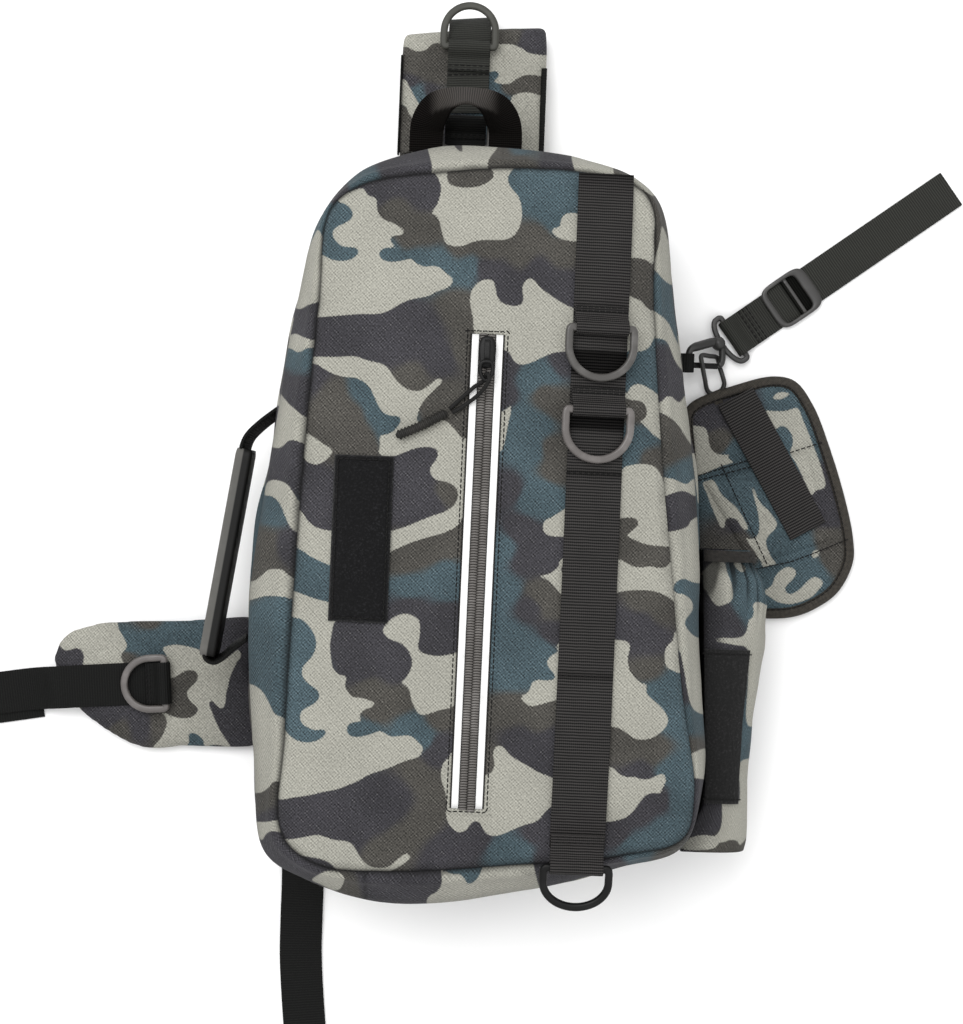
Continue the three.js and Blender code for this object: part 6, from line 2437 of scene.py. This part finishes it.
def flat_loop(rows: Table, count: int) -> Points:
    """A smooth closed outline at z = 0."""
    table = np.asarray(rows, float)
    return smooth_line(np.column_stack([table, np.zeros(len(table))]), count, closed=True)


def moved_in(loop: Points, inset: float) -> Points:
    """A closed outline moved in by an inset, whichever way it runs."""
    along = unit(np.roll(loop, -1, axis=0) - np.roll(loop, 1, axis=0))
    x, y = loop[:, 0], loop[:, 1]
    turn = np.sign(np.sum(x * np.roll(y, -1) - np.roll(x, -1) * y))
    inwards = np.column_stack([-along[:, 1], along[:, 0], 0 * x]) * turn
    return loop + inwards * inset


@dataclass
class StrapWing:
    """The padded wing at the left with its strap and D-ring, and the strap that leaves below the bag.

    Attributes:
        rows: the pad's layers: height, and how far in from its outline.
        strap_rows: the wing strap's route.
        under_rows: the route of its second layer.
        lower_rows: the lower strap's route.
        slope: how far the wing's strap leans, as a rise for each step along it.
    """

    finishes: Finishes
    stitching: Stitching
    outline: Table = (
        (-124.3, -62), (-127, -59.4), (-165, -61.5), (-201, -63.9), (-223.3, -67.2), (-239.5, -75.5),
        (-245.5, -89), (-240.5, -106), (-230, -119.4), (-199.8, -138.9), (-184.9, -142.4), (-167.2, -141.1),
        (-121, -137.6),
        (-117.9, -134), (-119.9, -112), (-123, -86),
    )
    rows: Table = ((1.3, 6), (3.4, 1), (8.6, 1), (11, 7))
    strap_rows: Table = (
        (-174.6, -100.8, 13.2), (-200, -102.8, 13.2), (-232, -105.6, 13.2), (-242, -106.6, 12),
        (-250, -107.6, 6.4), (-259, -108.9, 3), (-275, -111.6, 2.6), (-306, -116.6, 2.6),
    )
    under_rows: Table = ((-252, -112.8, 0.9), (-266, -115.4, 0.9), (-284, -118.6, 0.9), (-306, -122.4, 0.9))
    lower_rows: Table = (
        (-93, -204.2, 6), (-92.6, -208.6, 2.4), (-92.4, -217, 1.1), (-92.3, -240, 1.1), (-91.8, -262, 1.1),
        (-88.1, -301, 1.1), (-85, -325, 1.1),
    )
    strap_width: float = 25.0
    strap_thickness: float = 1.6
    slope: float = 0.083
    ring_place: tuple[float, float, float] = (-177.0, -101.0, 14.0)
    ring: DRing = DRing(30.0, 24.0, 24.6, 11.4, tail_side=1)
    padding: Padding = Padding(voxel=2.6, cap=1.4, floor=0.3)

    def strap(self, name: str, rows: Table, nodes: Sequence[str]) -> None:
        """A free strap along a given route, in place of some nodes."""
        line = even_line(smooth_line(rows, 120), 110)
        mesh = bar(name, line, rounded_section(self.strap_width, self.strap_thickness, 0.6, 10))
        piece(name, mesh, self.finishes.dark_strap, nodes)

    def build(self) -> None:
        """Builds the pad, both straps and the ring."""
        loop = flat_loop(self.outline, 200)
        layers = [moved_in(loop, inset) + UP * z for z, inset in self.rows]
        mesh = self.padding.puffed(Lattice(np.stack(layers)).mesh("wing_padding"))
        WING_PRINT.paint(mesh)
        made = piece("wing_padding", mesh, self.finishes.camo_pad, ["wing_pad"])
        self.strap("wing_band", self.strap_rows, ["wing_webbing"])
        self.strap("wing_under_band", self.under_rows, [])
        self.strap("lower_band", self.lower_rows, ["lower_strap"])
        seat = RingSeat(self.ring_place, (-self.slope, 1, 0), (-1, -self.slope, 0))
        HeldRing("wing", self.ring, seat, self.finishes.dark_strap).build(self.finishes, self.stitching)


@dataclass
class SidePocket:
    """The open pocket at the right: gathered into an elastic binding, with a hook-and-loop patch.

    Attributes:
        rows: y, inner x and outer x down the pocket.
        gather: how deep the elastic's gathers are.
        gathers: how many of them there are round the mouth.
        slack: the height and length of the loose cloth's folds.
        places: points round the outer wall.
        trim_lift: how far the binding and the patch stand off the cloth.
    """

    finishes: Finishes
    stitching: Stitching
    rows: Table = (
        (-9, 131, 159), (-16, 131.5, 160.5), (-26, 132, 167), (-40, 132.6, 170), (-65, 133.7, 170),
        (-105, 135.6, 165), (-140, 137.3, 163), (-154, 137.0, 163.4), (-166, 130, 163.8),
        (-175, 125.5, 164), (-180, 125, 163.2),
    )
    low: float = 18.0
    high: float = 74.0
    squareness: float = 0.6
    wall: float = 1.8
    gather: float = 2.4
    gathers: int = 10
    slack: tuple[float, float] = (0.6, 30.0)
    places: int = 161
    binding_rows: tuple[float, float] = (-9.3, -15.7)
    patch_rows: tuple[float, float] = (-65.0, -152.0)
    patch_span: tuple[float, float] = (9 / 11, 1.0)
    patch_seam: float = 2.5
    trim_thickness: float = 1.8
    trim_lift: float = 0.9

    def section(self, y: float, where: Points, wall: float = 0.0) -> Points:
        """Points of the pocket's section at a height of the bag.

        Args:
            y: the height.
            where: places round the section, from 0 at its lower edge to 1 at its upper edge.
            wall: how far inside the outer face they lie.

        Returns:
            n x 3 points.
        """
        table = np.asarray(self.rows, float)[::-1]
        inner = np.interp(y, table[:, 0], table[:, 1])
        outer = np.interp(y, table[:, 0], table[:, 2]) - wall
        angle = np.pi * (where - 0.5)
        half = (self.high - self.low) / 2 - wall
        x = inner + (outer - inner) * np.abs(np.cos(angle)) ** self.squareness
        rise = pressed(np.sin(angle), self.squareness)
        return np.column_stack([x, np.full(len(where), y), (self.low + self.high) / 2 + half * rise])

    def folds(self, y: float, where: Points) -> Points:
        """How far the cloth stands out round a section: gathers below the mouth, slack further down."""
        depth = self.gather * ease(y, -58, -17) * (1 - 0.6 * ease(y, -15, -11))
        high, wave = self.slack
        slack = high * ripple(where * 90, np.full(len(where), y), wave, Seed.POCKET_SLACK)
        return depth * np.cos(2 * np.pi * self.gathers * where + 0.1 * y) + slack * ease(-y, 14, 40)

    def ring(self, y: float, wall: float) -> Points:
        """The section as a closed loop, gathered below the mouth."""
        where = np.linspace(0, 1, self.places)
        arc = self.section(y, where, wall)
        out = unit(arc - (arc[:, 0].min() - 4, y, (self.low + self.high) / 2))
        fold = np.minimum(self.folds(y, where), 0.9) * np.sin(np.pi * where) ** 0.4
        arc = arc + out * fold[:, None]
        back = np.linspace(arc[-1], arc[0], 22)[1:-1]
        return np.vstack([arc, back])

    def painted_shades(self, y: float) -> Points:
        """How much painted shade each point of a ring gets: in the gathers, below the binding and at the
        bag's side.
        """
        where = np.linspace(0, 1, self.places)
        deep = 0.75 * ease(-self.folds(y, where), 0.3, 2.0) * ease(y, -60, -22)
        under = 0.75 * np.exp(-(((y + 18) / 3.5) ** 2)) + 0.5 * ease(where, 0.93, 1.0)
        return np.concatenate([deep + under, np.zeros(20)])

    def shell(self) -> None:
        """The pocket's cloth: outside, floor and inside in one closed shell."""
        mouth, floor = self.rows[0][0], self.rows[-1][0]
        heights = np.linspace(mouth, floor, 90)
        outside = [self.ring(y, 0.0) for y in heights]
        inside = [self.ring(y, self.wall) for y in np.linspace(mouth, floor + self.wall, 24)]
        rings = list(outside)
        for ring in (outside[-1], inside[-1]):
            shrink = (0.9, 0.5, 0.02) if ring is outside[-1] else (0.02, 0.5, 0.9)
            rings.extend(ring.mean(axis=0) + (ring - ring.mean(axis=0)) * share for share in shrink)
        rings.extend(inside[::-1])
        mesh = Lattice(np.stack(rings), wrap_rows=True).mesh("pocket_cloth")
        # Painted shade: the pocket's floor and inside are darkened evenly.
        dark = np.full((len(rings), len(outside[0])), 0.8)
        dark[: len(heights)] = [self.painted_shades(y) for y in heights]
        shade(mesh, dark)
        POCKET_PRINT.paint(mesh)
        piece("pocket_cloth", mesh, self.finishes.camo, ["side_pocket"])

    def wall_at(self, y: float, where: Points) -> tuple[Points, Points]:
        """Points of the section at a height of the bag, and the way out of the cloth at each."""
        arc = self.section(y, where)
        along = unit(np.gradient(arc, axis=0))
        return arc, np.column_stack([along[:, 2], 0 * where, -along[:, 0]])

    def sheet(self, name: str, ends: Sequence[float], span: Sequence[float], rough: float) -> Mesh:
        """A thin block over part of the pocket's wall.

        Args:
            name: the mesh's name.
            ends: its first and last y.
            span: its first and last place round the section.
            rough: how rough its face is.

        Returns:
            The closed mesh.
        """
        where = np.linspace(*span, 61)
        strips = []
        for y in np.linspace(*ends, 40):
            arc, out = self.wall_at(y, where)
            uneven = rough * ripple(where * 160, np.full(61, y), 3.0, Seed.POCKET_TRIM)
            inner = arc + out * self.trim_lift
            outer = arc + out * (self.trim_lift + self.trim_thickness + uneven)[:, None]
            strips.append(np.vstack([inner, outer[::-1]]))
        return Lattice(np.stack(strips)).mesh(name)

    def build(self) -> None:
        """Builds the pocket, its binding and its patch."""
        self.shell()
        binding = self.sheet("pocket_elastic", self.binding_rows, (0.0, 1.0), 0.35)
        piece("pocket_elastic", binding, self.finishes.binding, ["pocket_binding"])
        patch = self.sheet("pocket_patch", self.patch_rows, self.patch_span, 0.12)
        piece("pocket_patch", patch, self.finishes.pale_felt, ["hook_loop_patch_pocket"])
        top, bottom = self.patch_rows
        lines = [self.border(y) for y in (top - self.patch_seam, bottom + self.patch_seam)]
        self.stitching.sew("pocket_patch_stitches", lines, self.finishes.thread)

    def border(self, y: float) -> Points:
        """A sewn line across the patch at a height of the bag."""
        arc, out = self.wall_at(y, np.linspace(*self.patch_span, 30))
        return arc + out * (self.trim_lift + self.trim_thickness + 0.1)


@dataclass
class ClipPouch:
    """The flat pouch clipped on at the right: a bound panel with a flat pocket, webbing and a wire ring.

    Attributes:
        rows: the panel's layers: height, and how far in from its outline.
        gap: what lies free under the binding and under the webbing.
        pocket: the flat pocket's corners.
        band: the webbing's two ends.
        tab_across: the way across the ring's tab.
        seam_pixels: the pocket's sewn lines, in image pixels.
    """

    finishes: Finishes
    stitching: Stitching
    outline: Table = (
        (122.5, 70), (127.5, 77.5), (151.9, 88.1), (174.8, 94.4), (187.9, 92), (199.1, 78.2), (209.6, 54.3),
        (220.3, 23.3), (226, -0.1), (226.5, -13.7), (218.4, -31.8), (204, -43.1), (189.4, -48.4), (160, -49),
        (138, -46), (131.5, -40), (128.5, 0), (124.5, 45),
    )
    rows: Table = ((1.0, 5), (2.2, 3.3), (3.6, 3.3), (4.8, 5))
    binding_width: float = 6.2
    binding_height: float = 6.4
    gap: float = 0.3
    padding: Padding = Padding(voxel=1.9, cap=0.8, floor=0.3)
    top: float = 5.4
    pocket: Table = ((134, 30), (198, 53), (215, -2), (166, -20))
    pocket_thickness: float = 1.5
    band: Table = ((152.4, 81.2), (198.6, 3.5))
    band_width: float = 23.5
    band_thickness: float = 1.6
    seam_pixels: Sequence[Table] = (
        ((700, 475), (746, 461)), ((700, 480), (750, 467)), ((792, 452), (820, 443)),
        ((722, 466), (766, 562)), ((756, 569), (790, 562), (812, 554), (846, 540)),
    )
    ring_rod: float = 1.4
    ring_rows: Table = (
        (130.5, 103.8, 17), (131.3, 98.6, 17), (133.5, 91, 12), (136.2, 84.2, 5.2), (139, 82.6, 3.6),
        (144, 84.6, 3.6), (145.8, 88.4, 5), (144.6, 93, 6.4), (142.6, 99, 4.6), (141.2, 103.8, 4.8),
        (136, 104.4, 11),
    )
    tab_width: float = 5.4
    tab_thickness: float = 1.2
    tab_across: tuple[float, float, float] = (0.9, 0.42, 0.0)
    tab_rows: Table = (
        (144.3, 74, 2.2), (142.2, 79.6, 2.2), (141.2, 83.8, 2.6), (141.1, 83.6, 4.8), (142.4, 79.2, 5.2),
        (144.3, 74, 4.4),
    )

    def panel(self) -> None:
        """The padded panel and the binding round its edge."""
        loop = flat_loop(self.outline, 240)
        layers = [moved_in(loop, inset) + UP * z for z, inset in self.rows]
        mesh = self.padding.puffed(Lattice(np.stack(layers)).mesh("pouch_padding"))
        POUCH_PRINT.paint(mesh)
        made = piece("pouch_padding", mesh, self.finishes.camo_pad, ["pouch_panel"])
        edge = moved_in(loop, self.binding_width / 2) + UP * (self.gap + self.binding_height / 2)
        section = rounded_section(self.binding_width, self.binding_height, 2.2, 3, 5)
        binding = bar("pouch_edge", edge, section, closed=True)
        piece("pouch_edge", binding, self.finishes.pouch_binding, ["pouch_binding"])
        inner = moved_in(loop, self.binding_width - 0.9) + UP * (self.gap + self.binding_height * 0.98)
        self.stitching.sew("pouch_edge_stitches", [np.vstack([inner, inner[:1]])], self.finishes.thread)

    def flat_pocket(self) -> None:
        """The flat pocket on the panel, its sewn lines and the webbing across it."""
        ends = np.asarray(self.pocket, float)
        s, t = np.meshgrid(np.linspace(0, 1, 61), np.linspace(0, 1, 61))
        weights = [(1 - s) * (1 - t), s * (1 - t), s * t, (1 - s) * t]
        flat = sum(w[..., None] * c for w, c in zip(weights, ends))
        edge = np.minimum(np.minimum(s, 1 - s), np.minimum(t, 1 - t))
        swell = self.pocket_thickness * ease(edge, 0, 0.08)
        uneven = 0.25 * ripple(flat[..., 0], flat[..., 1], 14.0, Seed.POUCH_POCKET)
        bulge = (swell + 1.0) * ease(edge, 0, 0.03)
        upper = np.dstack([flat, self.top - 0.7 + bulge + uneven * ease(edge, 0, 0.05)])
        lower = np.dstack([flat, np.full(s.shape, self.top - 1.2)])[:, ::-1]
        mesh = Lattice(np.concatenate([upper, lower], axis=1)).mesh("pouch_flat_pocket")
        POUCH_PRINT.paint(mesh)
        piece("pouch_flat_pocket", mesh, self.finishes.camo_pad, ["pouch_pocket"])
        height = self.top + self.pocket_thickness + 0.4
        lines = [even_line(PHOTO.place(line, height), 40) for line in self.seam_pixels]
        self.stitching.sew("pouch_stitches", lines, self.finishes.thread)
        middle = height + self.gap + self.band_thickness / 2
        line = np.column_stack([np.asarray(self.band, float), np.full(2, middle)])
        section = rounded_section(self.band_width, self.band_thickness, 0.6, 10)
        band = bar("pouch_band", even_line(line, 60), section)
        piece("pouch_band", band, self.finishes.webbing, ["pouch_webbing"])

    def ring(self) -> None:
        """The wire ring and the webbing tab that holds it."""
        loop = smooth_line(self.ring_rows, 110, closed=True)
        wire = bar("pouch_wire", loop, round_section(self.ring_rod, 12), closed=True)
        piece("pouch_wire", wire, self.finishes.hook_plastic, ["pouch_ring"])
        line = even_line(smooth_line(self.tab_rows, 60), 44)
        section = rounded_section(self.tab_width, self.tab_thickness, 0.45, 4)
        tab = bar("pouch_tab_band", line, section, across=np.array(self.tab_across))
        piece("pouch_tab_band", tab, self.finishes.pouch_binding, ["pouch_tab"])

    def build(self) -> None:
        """Builds the pouch's pieces."""
        self.panel()
        self.flat_pocket()
        self.ring()


@dataclass
class SnapHook:
    """The snap hook at the right on its tab, with a swivel eye, a strap and a tri-glide.

    Attributes:
        arm: where the hook's thick upper arm starts and ends along it, and how thick it is there.
        ball: the swivel's middle and radius.
        gate_section: the gate's width, thickness and edge radius.
        heading: the strap's direction, in radians.
        eye_ring: the swivel eye, and the strap's fold through it.
        run: the strap's distance from the eye, and its height.
        glide_outer: the tri-glide frame's near and far edges from the eye, and its half width.
        glide_inner: the same for its window.
        glide_middle: the middle bar's place and width.
    """

    finishes: Finishes
    stitching: Stitching
    rod: float = 2.0
    tab_y: float = 99.5
    tab_width: float = 11.0
    tab_thickness: float = 1.2
    tab_rows: Table = (
        (114.6, 18.3), (118.5, 18.6), (123.4, 18.9), (126, 16.2), (123.4, 13.6), (118.5, 13.9), (114.2, 14.2),
    )
    body_rows: Table = (
        (141.6, 98.9, 8.4), (143.4, 101, 7.4), (143.7, 106, 7.2), (142.6, 111.4, 7.8), (139.5, 112.9, 9.2),
        (131, 110.6, 13), (124.6, 107.8, 16), (123.4, 105.6, 16.2), (123.4, 99.6, 16.2), (125, 98.5, 15.6),
    )
    arm: tuple[float, float, float] = (0.3, 0.74, 1.35)
    ball: tuple[float, float, float, float] = (141.0, 112.2, 8.8, 4.2)
    gate_rows: Table = ((126, 98.5, 15.2), (133, 98.5, 12.2), (140.6, 98.7, 8.9))
    gate_section: tuple[float, float, float] = (3.4, 2.4, 0.9)
    heading: float = 0.64
    eye: tuple[float, float] = (150.6, 116.6)
    eye_ring: DRing = DRing(29.0, 8.4, 23.2, 18.0, rod=1.6, droop=0.0)
    run: Table = ((157, 1), (100, 1), (60, 1), (28, 1), (24, 1.2))
    glide_outer: tuple[float, float, float] = (26.1, 57.1, 14.1)
    glide_inner: tuple[float, float, float] = (30.2, 50.2, 11.6)
    glide_middle: tuple[float, float] = (43.7, 2.2)
    glide_z: float = 3.0
    glide_half: float = 1.3
    tacks: Sequence[float] = (-11.0, -13.6, -16.2)

    def hook(self) -> None:
        """The hook with its swivel ball, its gate and the webbing tab that carries it."""
        line = even_line(smooth_line(self.body_rows, 120), 80)
        share = np.linspace(0, 1, 81)
        start, end, thick = self.arm
        arm = ease(share, start - 0.06, start + 0.06) * (1 - ease(share, end - 0.06, end + 0.06))
        swell = np.clip(np.minimum(share, 1 - share) / 0.02, 0.5, 1) ** 0.5 * (1 + (thick - 1) * arm)
        x, y, z, radius = self.ball
        turn = np.linspace(-0.999, 0.999, 15)
        axis = np.column_stack([np.full(15, x), np.full(15, y), z + radius * turn])
        ball = bar("ball", axis, round_section(radius, 16), across=RIGHT, swell=np.sqrt(1 - turn**2))
        body = merged("hook_rod", [bar("rod", line, round_section(self.rod, 12), swell=swell), ball])
        piece("hook_rod", body, self.finishes.hook_plastic, ["hook_body"])
        lever = even_line(smooth_line(self.gate_rows, 20), 20)
        gate = bar("hook_lever", lever, rounded_section(*self.gate_section, 3))
        piece("hook_lever", gate, self.finishes.dark_plastic, ["hook_gate"])
        rows = np.asarray(self.tab_rows, float)
        tab = np.column_stack([rows[:, 0], np.full(len(rows), self.tab_y), rows[:, 1]])
        section = rounded_section(self.tab_width, self.tab_thickness, 0.45, 4)
        line = even_line(smooth_line(tab, 60), 50)
        band = bar("side_tab_band", line, section, across=np.array([0.0, 1, 0]))
        piece("side_tab_band", band, self.finishes.dark_strap, ["side_tab"])

    def strap(self) -> None:
        """The swivel eye and the strap through it, dark where the tri-glide shades it."""
        to_arc = np.array([-math.cos(self.heading), -math.sin(self.heading), 0])
        seat = RingSeat((*self.eye, 0), (to_arc[1], -to_arc[0], 0), to_arc)
        ring = self.eye_ring
        wire = ring.ring_mesh("eye_rod", seat)
        piece("eye_rod", wire, self.finishes.hook_plastic, ["swivel_eye"])
        run = [(0, -distance, z - seat.bar_height) for distance, z in self.run]
        mesh = ring.fold_mesh("clip_band", seat, run, 260)
        away = (spots(mesh)[:, :2] - np.array(self.eye)) @ -to_arc[:2]
        middle, end = self.glide_middle[0], self.glide_inner[1]
        second = ease(away, middle, middle + 0.8) * (1 - ease(away, end, end + 3))
        shade(mesh, 0.85 * second + np.exp(-(((away - middle + 2.2) / 1.0) ** 2)))
        piece("clip_band", mesh, self.finishes.strap, ["clip_strap"])
        x = np.linspace(-0.44, 0.44, 14) * ring.fold
        rows = lines_across(x, self.tacks, ring.stitch_height)
        lines = [seat.world(row) for row in rows]
        self.stitching.sew("clip_stitches", lines, self.finishes.thread)

    def glide(self) -> None:
        """The tri-glide on the strap: a rounded frame, slightly barrel-shaped, with a middle bar."""
        angles = np.linspace(0, 2 * np.pi, 96, endpoint=False)
        loops = []
        for (near, far, half), power in ((self.glide_outer, 2 / 4.5), (self.glide_inner, 2 / 7)):
            x = pressed(np.cos(angles), power) * (far - near) / 2 + (near + far) / 2
            y = pressed(np.sin(angles), power) * half
            loops.append(np.column_stack([x, y]))
        rows = []
        for turn in np.linspace(0, 2 * np.pi, 16, endpoint=False):
            share = 0.5 + 0.5 * pressed(np.cos(turn), 0.7)
            height = self.glide_half * pressed(np.sin(turn), 0.7)
            flat = loops[0] + (loops[1] - loops[0]) * share
            rows.append(self.turned(np.column_stack([flat, np.full(len(flat), height)])))
        place, width = self.glide_middle
        half = self.glide_inner[2] + 0.6
        middle = even_line(np.array([(place, -half, 0), (place, half, 0)], float), 8)
        section = rounded_section(width, 1.8, 0.6, 3)
        frame = Lattice(np.stack(rows), wrap_rows=True).mesh("frame")
        mesh = merged("glide_frame", [frame, bar("middle", self.turned(middle), section)])
        piece("glide_frame", mesh, self.finishes.glide_plastic, ["tri_glide"])

    def turned(self, local: Points) -> Points:
        """Points along the strap's heading, from the eye."""
        cos, sin = math.cos(self.heading), math.sin(self.heading)
        x = self.eye[0] + local[:, 0] * cos - local[:, 1] * sin
        y = self.eye[1] + local[:, 0] * sin + local[:, 1] * cos
        return np.column_stack([x, y, self.glide_z + local[:, 2]])

    def build(self) -> None:
        """Builds the hook's pieces."""
        self.hook()
        self.strap()
        self.glide()


@dataclass(frozen=True)
class Studio:
    """A pale floor and plain soft light round the bag.

    Attributes:
        floor_size: the floor's side in metres.
        floor_drop: how far the floor lies below the bag's back.
        tones: the floor's two tones, and the size in metres of the clouds between them.
        world: the strength of the even light.
        lights: each light's name, place and side in metres, and power in watts.
    """

    floor_size: float = 12.0
    floor_drop: float = 0.0006
    tones: tuple[Colour, Colour, float] = ((250, 250, 250), (247, 247, 247), 0.4)
    world: float = 0.85
    lights: Sequence[tuple[str, tuple[float, float, float], float, float]] = (
        ("key_light", (-0.5, 0.7, 1.9), 1.4, 34.0),
        ("fill_light", (0.9, -0.7, 1.7), 1.6, 8.0),
    )

    def floor(self) -> None:
        """The floor, with a faint cloudy tone."""
        half = self.floor_size / 2
        mesh = bpy.data.meshes.new("floor")
        corners = [(-half, -half), (half, -half), (half, half), (-half, half)]
        mesh.from_pydata([(x, y, -self.floor_drop) for x, y in corners], [], [(0, 1, 2, 3)])
        board = NodeBoard("floor")
        plain, cloudy, size = self.tones
        cloud = board.noise(board.place(False), size)
        board.set(Base_Color=board.blend(cloud, linear(plain), linear(cloudy)))
        board.set(Roughness=0.9, Specular_IOR_Level=0.0)
        mesh.materials.append(board.material)
        linked("floor", mesh)

    def area(self, name: str, place: Sequence[float], size: float, power: float) -> None:
        """A square light that faces the bag.

        Args:
            name: the light's name.
            place: where it stands, in metres.
            size: its side in metres.
            power: its power in watts.
        """
        data = bpy.data.lights.new(name, "AREA")
        data.size = size
        data.energy = power
        lamp = bpy.data.objects.new(name, data)
        lamp.location = place
        lamp.rotation_euler = lamp.location.to_track_quat("Z", "Y").to_euler()
        bpy.context.scene.collection.objects.link(lamp)

    def build(self) -> None:
        """Builds the floor and lights."""
        self.floor()
        world = bpy.data.worlds.new("studio")
        world.use_nodes = True
        ground = world.node_tree.nodes["Background"]
        ground.inputs["Color"].default_value = (1.0, 1.0, 1.0, 1.0)
        ground.inputs["Strength"].default_value = self.world
        bpy.context.scene.world = world
        bpy.context.scene.view_settings.view_transform = "Standard"
        for row in self.lights:
            self.area(*row)


def corners(box: tuple[Sequence[float], Sequence[float]]) -> list[list[float]]:
    """A box's two corners as plain lists."""
    return [[float(x) for x in corner] for corner in box]


def main() -> None:
    """Builds the whole scene, piece by piece."""
    logging.basicConfig(level=logging.INFO, format="%(message)s")
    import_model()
    PHOTO.build()
    Studio().build()
    finishes = Finishes()
    shape = BagShape()
    stitching = Stitching()
    slot = ZipSlot()
    BagBody(shape, slot, finishes).build()
    FrontZip(shape, slot, finishes, stitching).build()
    FrontTrim(shape, finishes, stitching).build()
    ShoulderStrap(finishes, stitching).build()
    GrabHandle(finishes, stitching).build()
    SideHandle(finishes).build()
    StrapWing(finishes, stitching).build()
    SidePocket(finishes, stitching).build()
    ClipPouch(finishes, stitching).build()
    SnapHook(finishes, stitching).build()


if __name__ == "__main__":
    main()
